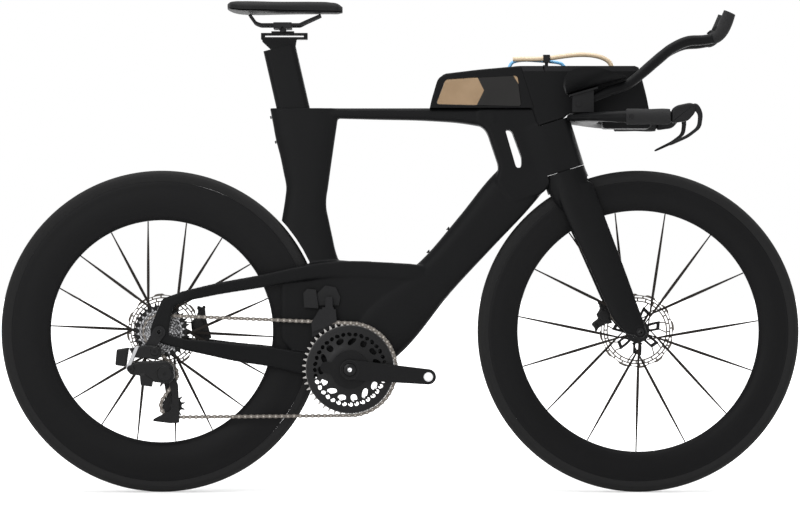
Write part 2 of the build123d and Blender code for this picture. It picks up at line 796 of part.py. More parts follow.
def chain_pins():
    """Centres of the chain's pins, and the phase of each circle's teeth."""
    count = len(chain_circles)
    arcs = []
    phases = []
    for index, circle in enumerate(chain_circles):
        (cx, cz), teeth, sense = circle
        arrive = chain_tangent(chain_circles[index - 1], circle)[1]
        leave = chain_tangent(circle, chain_circles[(index + 1) % count])[0]
        swing = (arrive - leave) * sense % (2 * math.pi)
        step = 2 * math.pi / teeth
        radius = pitch_radius_of(teeth)
        steps = round(swing / step)
        first = arrive - sense * (swing - steps * step) / 2
        angles = [first - sense * step * k for k in range(steps + 1)]
        arcs.append([(cx + radius * math.cos(a), cz + radius * math.sin(a)) for a in angles])
        phases.append(first)
    pins = []
    for index, arc in enumerate(arcs):
        pins.extend(arc)
        after = arcs[(index + 1) % count][0]
        run = math.dist(arc[-1], after)
        links = max(1, round(run / chain_pitch))
        for k in range(1, links):
            share = k / links
            pins.append((arc[-1][0] + share * (after[0] - arc[-1][0]), arc[-1][1] + share * (after[1] - arc[-1][1])))
    return pins, phases


pin_centres, tooth_phases = chain_pins()
cassette_phase, ring_phase, tension_phase, guide_phase = tooth_phases
print("chain links", len(pin_centres))


def chain_band(half_height, waist):
    """Two outlines of the chain's plates: wide at each pin and drawn in between the pins."""
    outer = []
    inner = []
    count = len(pin_centres)
    for index, (px, pz) in enumerate(pin_centres):
        before = pin_centres[index - 1]
        after = pin_centres[(index + 1) % count]
        along = math.atan2(after[1] - before[1], after[0] - before[0])
        nx, nz = -math.sin(along), math.cos(along)
        outer.append((px + half_height * nx, pz + half_height * nz))
        inner.append((px - half_height * nx, pz - half_height * nz))
        along = math.atan2(after[1] - pz, after[0] - px)
        nx, nz = -math.sin(along), math.cos(along)
        mx, mz = (px + after[0]) / 2, (pz + after[1]) / 2
        outer.append((mx + waist * nx, mz + waist * nz))
        inner.append((mx - waist * nx, mz - waist * nz))
    return outer, inner


plate_half_height = 4.1
plate_waist = 2.9
band_outside, band_inside = chain_band(plate_half_height, plate_waist)
with BuildPart() as chain_plates:
    for low in (chain_plane - chain_half_width, chain_plane + roller_half_width + seat_clearance):
        plate_thickness = chain_half_width - roller_half_width - seat_clearance
        with BuildSketch(side_plane(low + plate_thickness)):
            with BuildLine():
                Polyline(*band_outside, close=True)
            make_face()
            with BuildLine():
                Polyline(*band_inside, close=True)
            make_face(mode=Mode.SUBTRACT)
        extrude(amount=plate_thickness)
roller_solids = []
for pin_centre in pin_centres:
    roller = disc_y(pin_centre, chain_plane - roller_half_width, chain_plane + roller_half_width, roller_radius)
    roller_solids.append(roller.solid())
with BuildPart() as chain:
    add(Compound(children=[*chain_plates.part.solids(), *roller_solids]))
chain.part.label = "chain"
export_step(chain.part, "parts/chain.step")

with BuildPart() as cassette:
    cassette_solids = []
    cassette_bore = freehub_radius + seat_clearance
    chain_index = cassette_teeth.index(chain_sprocket_teeth)
    for index, teeth in enumerate(cassette_teeth):
        y = chain_plane - (chain_index - index) * sprocket_spacing
        cassette_solids.append(sprocket(rear(0, 0), teeth, cassette_phase, y, sprocket_thickness, cassette_bore))
        if index:
            spacer = sprocket_spacing - sprocket_thickness
            low = y - sprocket_thickness / 2 - spacer
            sleeve = min(cassette_bore + 3.0, pitch_radius_of(cassette_teeth[index - 1]) - 4.6)
            cassette_solids.append(ring_y(rear(0, 0), low, low + spacer, sleeve, cassette_bore))
    add(cassette_solids)
cassette.part.label = "cassette"
export_step(cassette.part, "parts/cassette.step")

# Crankset

crank_turn = math.radians(crank_angle)
right_pedal = bb(crank_length * math.cos(crank_turn), crank_length * math.sin(crank_turn))
left_pedal = bb(-crank_length * math.cos(crank_turn), -crank_length * math.sin(crank_turn))
arm_thickness = 13.0
arm_inner_face = pedal_face - arm_thickness
boss_radius = 21.0
pedal_boss_radius = 16.0
spider_face = 50.4
spider_reach = 50.0
spindle_end = 68.0

with BuildPart() as right_crank:
    add(round_hull([bb(0, 0), right_pedal], [boss_radius, pedal_boss_radius], -pedal_face, -arm_inner_face))
    back = bb(-spider_reach * math.cos(crank_turn), -spider_reach * math.sin(crank_turn))
    fore = bb(spider_reach * math.cos(crank_turn), spider_reach * math.sin(crank_turn))
    add(round_hull([back, fore], [12.0, 12.0], -arm_inner_face - 4.0, -spider_face))
    add(disc_y(bb(0, 0), -arm_inner_face - 4.0, -spider_face, 40.0))
    add(disc_y(bb(0, 0), -spider_face, spindle_end, spindle_radius))
    add(disc_y(bb(0, 0), -pedal_face - 1.0, spindle_end + 1.0, spindle_bore_radius), mode=Mode.SUBTRACT)
    add(disc_y(right_pedal, -pedal_face - 1.0, -arm_inner_face + 1.0, pedal_thread_radius), mode=Mode.SUBTRACT)
    with BuildSketch(side_plane(-pedal_face + 1.2)):
        with Locations(bb(0, 0)):
            Circle(14.0)
            Circle(11.0, mode=Mode.SUBTRACT)
    extrude(amount=2.0, mode=Mode.SUBTRACT)
right_crank.part.label = "right_crank"
export_step(right_crank.part, "parts/right_crank.step")

with BuildPart() as left_crank:
    add(round_hull([bb(0, 0), left_pedal], [boss_radius, pedal_boss_radius], arm_inner_face, pedal_face))
    add(disc_y(bb(0, 0), bb_shell_half_width + 3.0, arm_inner_face, boss_radius - 2.0))
    add(disc_y(bb(0, 0), 0.0, pedal_face + 1.0, spindle_radius + seat_clearance), mode=Mode.SUBTRACT)
    add(ring_y(bb(0, 0), spindle_end + 0.2, pedal_face, spindle_radius + 2.0, spindle_bore_radius + 1.0))
    add(disc_y(left_pedal, arm_inner_face - 1.0, pedal_face + 1.0, pedal_thread_radius), mode=Mode.SUBTRACT)
left_crank.part.label = "left_crank"
export_step(left_crank.part, "parts/left_crank.step")

ring_thickness = 2.1
small_ring_step = 7.5
small_ring_plane = chain_plane + small_ring_step
ring_mount_radius = 46.0
with BuildPart() as chainrings:
    add(sprocket(bb(0, 0), big_ring_teeth, ring_phase, chain_plane, ring_thickness, 34.0))
    small_bore = pitch_radius_of(small_ring_teeth) - 9.0
    add(sprocket(bb(0, 0), small_ring_teeth, ring_phase, small_ring_plane, ring_thickness, small_bore))
    mount_face = chain_plane - ring_thickness / 2
    add(ring_y(bb(0, 0), -spider_face + 0.1, mount_face, ring_mount_radius, 34.0))
    post_ring = small_bore + 4.0
    post_count = 8
    with BuildSketch(side_plane(small_ring_plane - ring_thickness / 2)):
        with Locations(bb(0, 0)):
            with PolarLocations(post_ring, post_count):
                Circle(4.0)
    extrude(amount=small_ring_step - ring_thickness)
    with BuildSketch(side_plane(chain_plane + ring_thickness)):
        with Locations(bb(0, 0)):
            with PolarLocations(54.0, 16, start_angle=11.0):
                Circle(5.2)
            with PolarLocations(80.0, 24, start_angle=4.0):
                Circle(3.0)
    extrude(amount=2 * ring_thickness, mode=Mode.SUBTRACT)
chainrings.part.label = "chainrings"
export_step(chainrings.part, "parts/chainrings.step")

# Front derailleur: body with its battery on the frame, and a cage that shifts along a pin

frame_side = 21.0
fd_face = 32.5
fd_pin = bb(-44.0, 145.0)
fd_pin_radius = 3.0
fd_shift = 7.5
with BuildPart() as front_derailleur:
    fd_body = [bb(-66, 134), bb(-70, 158), bb(-52, 176), bb(-30, 172), bb(-20, 150), bb(-24, 134)]
    add(side_plate(fd_body, -fd_face, -frame_side - 0.1))
    add(disc_y(fd_pin, -fd_face - 1.0, -frame_side, fd_pin_radius + running_clearance), mode=Mode.SUBTRACT)
    fd_battery = [bb(-96, 130), bb(-98, 160), bb(-90, 169), bb(-71.5, 167), bb(-70.4, 158), bb(-66.8, 135), bb(-66.4, 128)]
    add(side_plate(fd_battery, -40.0, -frame_side - 3.0))
front_derailleur.part.label = "front_derailleur"
export_step(front_derailleur.part, "parts/front_derailleur.step")

with BuildPart() as front_derailleur_cage:
    outer_cage = [bb(-81, 98), bb(-64, 126), bb(-30, 126), bb(-28, 100), bb(-55, 87), bb(-79, 78)]
    inner_cage = [bb(-81, 92), bb(-64, 126), bb(-30, 126), bb(-26, 94), bb(-53, 80), bb(-79, 68)]
    cage_outer_face = chain_plane - 5.5
    cage_inner_face = chain_plane + 4.7
    add(side_plate(outer_cage, cage_outer_face, cage_outer_face + 1.4))
    add(side_plate(inner_cage, cage_inner_face - 1.2, cage_inner_face))
    bridge = [bb(-58, 124), bb(-58, 130), bb(-34, 130), bb(-34, 124)]
    add(side_plate(bridge, cage_outer_face, cage_inner_face))
    arm = [bb(-52, 128), bb(-51, 152), bb(-37, 152), bb(-36, 128)]
    add(side_plate(arm, cage_outer_face, -fd_face - fd_shift - 0.5))
    add(disc_y(fd_pin, cage_outer_face, -frame_side - fd_shift - 1.0, fd_pin_radius))
front_derailleur_cage.part.label = "front_derailleur_cage"
export_step(front_derailleur_cage.part, "parts/front_derailleur_cage.step")

# Rear derailleur: hanger, knuckle with battery, link, lower knuckle, cage and two pulleys

b_pivot = rear(-21.5, -34.0)
b_pin_radius = 5.0
link_pin_radius = 2.5
link_back = rear_x - 66.0
link_front = rear_x - 42.0
link_top = (-84.0, axle_z - 35.0)
link_foot = (-96.0, axle_z - 77.0)
ear_radius = 7.0
ear_thickness = 4.0
cage_pivot = rear(14.0, -92.0)
cage_pin_radius = 6.0
pulley_bolt_radius = 3.0
cage_plate = 1.8
cage_half_width = 5.6


def cross_plane(x):
    """Plane across the bike at a distance x, on which an extrusion runs forward."""
    return Plane(origin=(x, 0, 0), x_dir=(0, 1, 0), z_dir=(1, 0, 0))


def disc_x(point, x_low, x_high, radius):
    """Round bar along X, centred on a point (y, z)."""
    with BuildPart() as piece:
        with BuildSketch(cross_plane(x_low)):
            with Locations(point):
                Circle(radius)
        extrude(amount=x_high - x_low)
    return piece.part


def block(x_low, x_high, y_low, y_high, z_low, z_high):
    """Box between six faces."""
    with BuildPart() as piece:
        with BuildSketch(cross_plane(x_low)):
            with Locations(((y_low + y_high) / 2, (z_low + z_high) / 2)):
                Rectangle(y_high - y_low, z_high - z_low)
        extrude(amount=x_high - x_low)
    return piece.part


with BuildPart() as derailleur_hanger:
    hanger_back = -dropout_y - dropout_thickness - 0.05
    add(round_hull([rear(0, 0), b_pivot], [13.0, 10.0], hanger_face, hanger_back))
    add(disc_y(rear(0, 0), hanger_face - 1.0, hanger_back + 1.0, axle_hole), mode=Mode.SUBTRACT)
    add(disc_y(b_pivot, hanger_face - 1.0, hanger_back + 1.0, b_pin_radius + running_clearance), mode=Mode.SUBTRACT)
derailleur_hanger.part.label = "derailleur_hanger"
export_step(derailleur_hanger.part, "parts/derailleur_hanger.step")

with BuildPart() as derailleur_knuckle:
    knuckle_face = hanger_face - body_gap
    add(disc_y(b_pivot, knuckle_face - 13.0, knuckle_face, 11.0))
    add(disc_y(b_pivot, knuckle_face - 13.0, hanger_back - 1.0, b_pin_radius))
    for ear_low in (link_back - body_gap - ear_thickness, link_front + body_gap):
        add(disc_x(link_top, ear_low, ear_low + ear_thickness, ear_radius))
    back_end = link_back - body_gap - ear_thickness
    front_end = link_front + body_gap + ear_thickness
    add(block(back_end, front_end, -90.0, -78.0, link_top[1] + 6.5, link_top[1] + 13.0))
    for ear_low in (back_end, front_end - ear_thickness):
        add(block(ear_low, ear_low + ear_thickness, -90.0, -78.0, link_top[1], link_top[1] + 13.0))
    add(block(front_end - ear_thickness, b_pivot[0], -95.0, knuckle_face, link_top[1] - 5.0, link_top[1] + 13.0))
    add(disc_x(link_top, back_end, front_end, link_pin_radius))
    battery = [rear(-75, -33), rear(-91, -38), rear(-92, -62), rear(-86, -72), rear(-76, -70)]
    add(side_plate(battery, -100.0, -76.0))
    add(block(rear_x - 78.0, back_end + 1.0, -88.0, -80.0, link_top[1] - 4.0, link_top[1] + 8.0))
derailleur_knuckle.part.label = "derailleur_knuckle"
export_step(derailleur_knuckle.part, "parts/derailleur_knuckle.step")

with BuildPart() as derailleur_link:
    with BuildSketch(cross_plane(link_back)):
        for end in (link_top, link_foot):
            with Locations(end):
                Circle(5.5)
        make_hull()
        for end in (link_top, link_foot):
            with Locations(end):
                Circle(link_pin_radius + running_clearance, mode=Mode.SUBTRACT)
    extrude(amount=link_front - link_back)
derailleur_link.part.label = "derailleur_link"
export_step(derailleur_link.part, "parts/derailleur_link.step")

with BuildPart() as derailleur_lower_knuckle:
    for ear_low in (back_end, front_end - ear_thickness):
        add(disc_x(link_foot, ear_low, ear_low + ear_thickness, ear_radius))
        add(block(ear_low, ear_low + ear_thickness, -103.0, -89.0, link_foot[1] - 14.0, link_foot[1]))
    add(disc_x(link_foot, back_end, front_end, link_pin_radius))
    add(block(back_end, front_end, -104.0, -52.0, link_foot[1] - 19.0, link_foot[1] - 7.5))
    knuckle_low = chain_plane - cage_half_width - cage_plate - body_gap
    add(round_hull([rear(-48.0, -86.0), cage_pivot], [8.0, 14.0], -66.0, knuckle_low))
    cage_pin_hole = cage_pin_radius + running_clearance
    add(disc_y(cage_pivot, -62.0, -40.0, cage_pin_hole), mode=Mode.SUBTRACT)
derailleur_lower_knuckle.part.label = "derailleur_lower_knuckle"
export_step(derailleur_lower_knuckle.part, "parts/derailleur_lower_knuckle.step")

with BuildPart() as derailleur_cage:
    outer = chain_plane - cage_half_width
    inner = chain_plane + cage_half_width
    cage_ends = [guide_centre, tension_centre]
    add(round_hull([cage_pivot, guide_centre, tension_centre], [13.0, 12.0, 11.0], outer - cage_plate, outer))
    add(round_hull(cage_ends, [10.0, 10.0], inner, inner + cage_plate))
    for end in cage_ends:
        add(disc_y(end, outer, inner, pulley_bolt_radius))
    add(disc_y(cage_pivot, -61.0, outer - cage_plate, cage_pin_radius))
    lightening = [rear(12.0, -113.0), rear(27.0, -128.0), rear(18.0, -136.0)]
    add(side_plate(lightening, outer - 3.0, inner + 3.0), mode=Mode.SUBTRACT)
derailleur_cage.part.label = "derailleur_cage"
export_step(derailleur_cage.part, "parts/derailleur_cage.step")


def pulley(centre, phase):
    """Toothed jockey pulley with a wider hub."""
    bolt_hole = pulley_bolt_radius + running_clearance
    hub_half = cage_half_width - body_gap
    hub = ring_y(centre, chain_plane - hub_half, chain_plane + hub_half, 7.5, bolt_hole)
    with BuildPart() as piece:
        add([sprocket(centre, pulley_teeth, phase, chain_plane, 1.9, bolt_hole), hub])
        reach = pitch_radius_of(pulley_teeth) + chain_pitch
        rollers = [pin for pin in pin_centres if math.dist(pin, centre) < reach]
        for pin in rollers:
            add(disc_y(pin, chain_plane - 1.2, chain_plane + 1.2, roller_radius + seat_clearance), mode=Mode.SUBTRACT)
    return piece.part


with BuildPart() as guide_pulley:
    add(pulley(guide_centre, guide_phase))
guide_pulley.part.label = "guide_pulley"
export_step(guide_pulley.part, "parts/guide_pulley.step")

with BuildPart() as tension_pulley:
    add(pulley(tension_centre, tension_phase))
tension_pulley.part.label = "tension_pulley"
export_step(tension_pulley.part, "parts/tension_pulley.step")

# Brake calipers with their pads, both on the left


def caliper(centre, rotor_y, outline, y_low, y_high, pad_spots):
    """Caliper body slotted for the rotor, with two pads beside the track."""
    slot_half = rotor_thickness / 2 + 3.0
    with BuildPart() as body:
        add(side_plate(outline, y_low, y_high))
        room = rotor_radius + 2.0
        add(disc_y(centre, rotor_y - slot_half, rotor_y + slot_half, room), mode=Mode.SUBTRACT)
    pads = []
    for side in (1, -1):
        near = rotor_y + side * (rotor_thickness / 2 + 0.3)
        far = rotor_y + side * (slot_half - 0.1)
        pads.append(side_plate(pad_spots, min(near, far), max(near, far)).solid())
    return Compound(children=[*body.part.solids(), *pads])


with BuildPart() as rear_caliper:
    outline = [rear(61, -15.8), rear(58, 20), rear(62, 52), rear(84, 54), rear(98, 36), rear(96, -17)]
    pad_outline = [rear(60.5, 15), rear(61, 34), rear(71, 30), rear(72, 14)]
    add(caliper(rear(0, 0), rear_rotor_y, outline, rear_rotor_y - 10.5, rear_rotor_y + 9.5, pad_outline))
rear_caliper.part.label = "rear_caliper"
export_step(rear_caliper.part, "parts/rear_caliper.step")

with BuildPart() as front_caliper:
    outline = [front(-93, 5), front(-94, 60), front(-80, 68), front(-62, 64), front(-60, 30), front(-70, 3)]
    pad_outline = [front(-72, 22), front(-66, 36), front(-58.5, 32), front(-63, 20)]
    add(caliper(front(0, 0), front_rotor_y, outline, front_rotor_y - 9.0, front_rotor_y + 10.0, pad_outline))
front_caliper.part.label = "front_caliper"
export_step(front_caliper.part, "parts/front_caliper.step")

# Seatpost with its fore-and-aft track

with BuildPart() as seatpost:
    with BuildSketch(Plane(origin=post_mouth, x_dir=post_across, z_dir=post_up).offset(-seatpost_insertion)):
        RectangleRounded(seatpost_chord, seatpost_width, 11.5)
        RectangleRounded(seatpost_chord - 6.0, seatpost_width - 6.0, 8.5, mode=Mode.SUBTRACT)
    extrude(amount=seatpost_length - 10.0)
    track_half = 49.0
    track_middle = bb_x - 139.0
    track_top = seat_top_z + 158.5
    track_low = seat_top_z + 145.0
    add(block(track_middle - track_half, track_middle + track_half, -12.0, 12.0, track_low, track_top))
    neck = [
        (track_middle - track_half + 2.0, track_low + 1.0),
        (track_middle - track_half + 3.0, track_low - 5.0),
        (track_middle - 30.0, track_low - 20.0),
        (track_middle + 22.0, track_low - 24.0),
        (track_middle + 26.0, track_low + 1.0),
    ]
    add(side_plate(neck, -11.0, 11.0))
    slot_middle = (track_low + track_top) / 2
    slot_low = track_middle - track_half + 8.0
    slot_high = track_middle + track_half - 8.0
    add(block(slot_low, slot_high, -14.0, 14.0, slot_middle - 2.0, slot_middle + 2.0), mode=Mode.SUBTRACT)
seatpost.part.label = "seatpost"
export_step(seatpost.part, "parts/seatpost.step")

tilt_pivot = (bb_x - 142.3, track_top + 9.0)
tilt_pin_radius = 3.5
lug_half = 6.0
rail_spread = 22.0
rail_radius = 3.5
rail_height = tilt_pivot[1] + 7.5
with BuildPart() as saddle_carriage:
    lug_foot = track_top + body_gap
    add(block(tilt_pivot[0] - 24.0, tilt_pivot[0] + 24.0, -lug_half, lug_half, lug_foot, lug_foot + 3.5))
    add(round_hull([(tilt_pivot[0], lug_foot + 3.5), tilt_pivot], [3.4, 6.5], -lug_half, lug_half))
    add(disc_y(tilt_pivot, -17.5, 17.5, tilt_pin_radius))
saddle_carriage.part.label = "saddle_carriage"
export_step(saddle_carriage.part, "parts/saddle_carriage.step")

saddle_front = bb_x - 15.6
saddle_back = bb_x - 258.4
saddle_top = seat_top_z + 225.5
shell_low = saddle_top - 26.5
shell_high = saddle_top - 21.0


def saddle_rail(side):
    """One round rail: straight in the clamp, turned up to the shell at both ends."""
    y = side * rail_spread
    nose_y = side * 13.0
    route = [
        (bb_x - 211.0, side * 30.0, shell_low - rail_radius - 0.2),
        (bb_x - 199.3, y, rail_height + 4.0),
        (bb_x - 188.0, y, rail_height),
        (bb_x - 106.0, y, rail_height),
        (bb_x - 94.0, side * 19.0, rail_height + 6.0),
        (bb_x - 62.0, nose_y, shell_low - rail_radius - 0.2),
    ]
    with BuildPart() as piece:
        with BuildLine():
            rail_path = FilletPolyline(*route, radius=10.0)
        with BuildSketch(Plane(origin=rail_path @ 0, z_dir=rail_path % 0)):
            Circle(rail_radius)
        sweep(path=rail_path)
    return piece.part


with BuildPart() as saddle_rails:
    for side in (1, -1):
        low, high = sorted((side * (lug_half + body_gap), side * 27.0))
        cheek_low = tilt_pivot[1] - 1.0
        cheek = block(tilt_pivot[0] - 19.0, tilt_pivot[0] + 19.0, low, high, cheek_low, rail_height + 5.0)
        low, high = sorted((side * (lug_half + body_gap), side * 18.0))
        add([cheek, disc_y(tilt_pivot, low, high, 7.5), saddle_rail(side)])
    add(disc_y(tilt_pivot, -30.0, 30.0, tilt_pin_radius + running_clearance), mode=Mode.SUBTRACT)
    lug_room = block(
        tilt_pivot[0] - 25.0,
        tilt_pivot[0] + 25.0,
        -lug_half - body_gap,
        lug_half + body_gap,
        track_top,
        tilt_pivot[1] + 8.0,
    )
    add(lug_room, mode=Mode.SUBTRACT)
    add(block(tilt_pivot[0] - 12.0, tilt_pivot[0] + 12.0, -10.0, 10.0, tilt_pivot[1] + 9.0, rail_height + 5.0))
saddle_rails.part.label = "saddle_rails"
export_step(saddle_rails.part, "parts/saddle_rails.step")


def saddle_body(stations, low, high_drop):
    """Saddle lofted along X through stations of (x, width, drop of the top)."""
    with BuildPart() as piece:
        for x, width, drop in stations:
            top = saddle_top - high_drop - drop
            with BuildSketch(cross_plane(x)):
                with Locations((0, (low + top) / 2)):
                    RectangleRounded(width, top - low, min(0.45 * (top - low), 9.0))
        loft(ruled=True)
    return piece.part


cover_stations = [
    (saddle_back, 84.0, 5.0),
    (saddle_back + 14.0, 124.0, 1.0),
    (saddle_back + 60.0, 132.0, 0.5),
    (saddle_back + 110.0, 92.0, 0.0),
    (saddle_back + 150.0, 60.0, 0.0),
    (saddle_front - 30.0, 50.0, 1.5),
    (saddle_front, 42.0, 8.0),
]
with BuildPart() as saddle_cover:
    add(saddle_body(cover_stations, shell_high + 0.3, 0.0))
    channel = block(saddle_back + 30.0, saddle_front - 24.0, -8.0, 8.0, shell_high, saddle_top + 5.0)
    add(channel, mode=Mode.SUBTRACT)
saddle_cover.part.label = "saddle_cover"
export_step(saddle_cover.part, "parts/saddle_cover.step")

shell_stations = [
    (saddle_back + 4.0, 80.0, 0.0),
    (saddle_back + 16.0, 116.0, 0.0),
    (saddle_back + 60.0, 124.0, 0.0),
    (saddle_back + 110.0, 84.0, 0.0),
    (saddle_back + 150.0, 52.0, 0.0),
    (saddle_front - 4.0, 34.0, 0.0),
]
with BuildPart() as saddle_shell:
    add(saddle_body(shell_stations, shell_low, saddle_top - shell_high))
saddle_shell.part.label = "saddle_shell"
export_step(saddle_shell.part, "parts/saddle_shell.step")

# Storage box behind the head tube, with its lid, windows and reservoir

box_floor = seat_top_z + 0.1
box_wall = 2.5
lid_gap = 0.4
lid_hinge = head(-256.2, 205.6)
hinge_radius = 2.2
lid_end = head_x - 156.0


def box_top(x):
    """Height of the box's top skin, a gentle rise towards the head tube."""
    rise = [(-283.7, 199.2), (-267.8, 205.7), (-250.9, 210.7), (-183.4, 218.9), (-115.8, 225.2), (-60.0, 228.0)]
    dx = x - head_x
    for (x_low, z_low), (x_high, z_high) in zip(rise, rise[1:]):
        if dx <= x_high:
            return head_z + z_low + (z_high - z_low) * (dx - x_low) / (x_high - x_low)
    return head_z + rise[-1][1]


def head_trim(radius, low, high, half_width):
    """Prism behind a round bore about the steering axis, which keeps a piece off the turning module."""
    with BuildPart() as piece:
        with BuildSketch(steer_plane.offset(low)):
            with Locations((-200.0, 0)):
                Rectangle(400.0, 2 * half_width)
            Circle(radius, mode=Mode.SUBTRACT)
        extrude(amount=high - low)
    return piece.part


box_points = [
    (head_x - 283.6, box_floor),
    head(-281.3, 156.2),
    head(-269.6, 196.0),
    head(-264.0, 203.5),
    (head_x - 250.9, box_top(head_x - 250.9)),
    (head_x - 183.4, box_top(head_x - 183.4)),
    (head_x - 115.8, box_top(head_x - 115.8)),
    (head_x - 60.0, box_top(head_x - 60.0)),
    (head_x - 60.0, box_floor),
]
inner_points = [
    (head_x - 280.0, box_floor + box_wall),
    head(-278.0, 157.0),
    head(-266.5, 195.0),
    head(-250.0, 205.5),
    (head_x - 183.4, box_top(head_x - 183.4) - box_wall - 2.0),
    (head_x - 115.8, box_top(head_x - 115.8) - box_wall),
    (head_x - 76.0, box_top(head_x - 76.0) - box_wall),
    (head_x - 76.0, box_floor + box_wall),
]
window_points = [head(-272.0, 145.7), head(-252.5, 198.4), head(-187.6, 202.6), head(-105.2, 206.8), head(-92.0, 141.4)]
window_seat = [head(-270.5, 147.0), head(-251.6, 197.0), head(-187.6, 201.3), head(-106.4, 205.4), head(-93.8, 142.8)]
lid_points = [
    (lid_hinge[0] - 2.0, lid_hinge[1] + 2.0),
    (head_x - 250.9, box_top(head_x - 250.9)),
    (head_x - 183.4, box_top(head_x - 183.4)),
    (lid_end, box_top(lid_end)),
    (lid_end, box_top(lid_end) - 3.5),
    (head_x - 183.4, box_top(head_x - 183.4) - 3.5),
    (lid_hinge[0] + 2.0, lid_hinge[1] - 1.2),
]
box_trim = head_trim(module_tail_radius + 1.2, 40.0, 330.0, box_half_width)
with BuildPart() as storage_box:
    add(side_plate(box_points, -box_half_width, box_half_width) & box_trim)
    inner_half = box_half_width - box_wall
    inner_trim = head_trim(module_tail_radius + 1.2 + box_wall, 40.0, 330.0, inner_half)
    add(side_plate(inner_points, -inner_half, inner_half) & inner_trim, mode=Mode.SUBTRACT)
    add(side_plate(window_points, -40.0, 40.0), mode=Mode.SUBTRACT)
    lid_room = [
        (lid_hinge[0] - 6.0, lid_hinge[1] + 12.0),
        (lid_end + lid_gap, box_top(lid_end) + 12.0),
        (lid_end + lid_gap, box_top(lid_end) - 3.5 - lid_gap),
        (head_x - 183.4, box_top(head_x - 183.4) - 3.5 - lid_gap),
        (lid_hinge[0] + 2.0, lid_hinge[1] - 1.2 - lid_gap),
        (lid_hinge[0] - 3.0, lid_hinge[1] - 1.0),
    ]
    lid_half = box_half_width - box_wall
    add(side_plate(lid_room, -lid_half - lid_gap, lid_half + lid_gap), mode=Mode.SUBTRACT)
    add(disc_y(lid_hinge, -lid_half - lid_gap, lid_half + lid_gap, hinge_radius + lid_gap), mode=Mode.SUBTRACT)
    pin_hole = 1.2 + running_clearance
    add(disc_y(lid_hinge, -box_half_width - 1.0, box_half_width + 1.0, pin_hole), mode=Mode.SUBTRACT)
    mouth = [head(-246.0, 190.0), head(-246.0, 230.0), head(-162.0, 235.0), head(-162.0, 190.0)]
    add(side_plate(mouth, -lid_half + 3.0, lid_half - 3.0), mode=Mode.SUBTRACT)
    with BuildSketch(Plane.XY.offset(head_z + 235.0)):
        with Locations((head_x - 117.0, return_side)):
            Circle(5.2)
    extrude(amount=-16.0, mode=Mode.SUBTRACT)
storage_box.part.label = "storage_box"
export_step(storage_box.part, "parts/storage_box.step")

with BuildPart() as storage_lid:
    add(side_plate(lid_points, -lid_half, lid_half))
    add(disc_y(lid_hinge, -lid_half, lid_half, hinge_radius))
    add(disc_y(lid_hinge, -box_half_width, box_half_width, 1.2))
storage_lid.part.label = "storage_lid"
export_step(storage_lid.part, "parts/storage_lid.step")

with BuildPart() as box_windows:
    for side in (1, -1):
        low, high = sorted((side * (box_half_width - box_wall), side * (box_half_width - 0.3)))
        add(side_plate(window_seat, low, high))
box_windows.part.label = "box_windows"
export_step(box_windows.part, "parts/box_windows.step")

with BuildPart() as reservoir:
    reservoir_points = [
        (head_x - 181.0, box_floor + box_wall + 0.3),
        head(-172.0, 168.0),
        head(-181.0, 190.0),
        head(-170.0, 205.0),
        head(-100.0, 218.0),
        (head_x - 78.0, box_floor + box_wall + 0.3),
    ]
    reservoir_trim = head_trim(module_tail_radius + 4.5, 40.0, 330.0, inner_half - 1.0)
    add(side_plate(reservoir_points, 1.0 - inner_half, inner_half - 1.0) & reservoir_trim)
reservoir.part.label = "reservoir"
export_step(reservoir.part, "parts/reservoir.step")

# Front module with its top cover, turning with the fork

module_floor = head_top + 1.0
nose_corner = 14.0
module_nose = 216.0


def module_plan(half_width, nose, low, high):
    """Prism along the steering axis: round tail about the axis, straight sides and rounded nose."""
    with BuildPart() as piece:
        with BuildSketch(steer_plane.offset(low)):
            Circle(module_tail_radius)
            with Locations((nose / 2, 0)):
                RectangleRounded(nose, 2 * half_width, min(nose_corner, half_width - 1.0))
            with Locations((nose / 4, 0)):
                Rectangle(nose / 2, 2 * half_width)
            with BuildSketch(steer_plane.offset(low), mode=Mode.INTERSECT):
                Rectangle(4 * nose, 2 * half_width)
        extrude(amount=high - low)
    return piece.part


bar_notch_back = head(6.0, 126.5)
bar_notch_front = head(78.0, 126.5)
cover_seam = head_z + 215.3
module_points = [
    steer(-60.0, module_floor),
    steer(36.0, module_floor),
    bar_notch_back,
    bar_notch_front,
    head(78.4, 95.0),
    head(177.6, 95.0),
    head(181.9, 105.5),
    head(171.3, 160.6),
    (head_x + 157.0, cover_seam),
    (head_x - 130.0, cover_seam),
]
cavity_points = [
    steer(-30.0, module_floor + 14.0),
    steer(30.0, module_floor + 14.0),
    head(100.0, 131.0),
    head(100.0, 102.0),
    head(168.0, 102.0),
    head(160.0, 150.0),
    (head_x + 146.0, cover_seam - 4.0),
    (head_x - 70.0, cover_seam - 4.0),
]
with BuildPart() as stem_module:
    add(side_plate(module_points, -box_half_width, box_half_width) & module_plan(box_half_width, module_nose, 40.0, 330.0))
    cavity_trim = module_plan(box_half_width - 4.0, module_nose - 8.0, 40.0, 330.0)
    add(side_plate(cavity_points, 4.0 - box_half_width, box_half_width - 4.0) & cavity_trim, mode=Mode.SUBTRACT)
    with BuildSketch(steer_plane.offset(head_top)):
        Circle(steerer_radius + seat_clearance)
    extrude(amount=12.2, mode=Mode.SUBTRACT)
stem_module.part.label = "stem_module"
export_step(stem_module.part, "parts/stem_module.step")

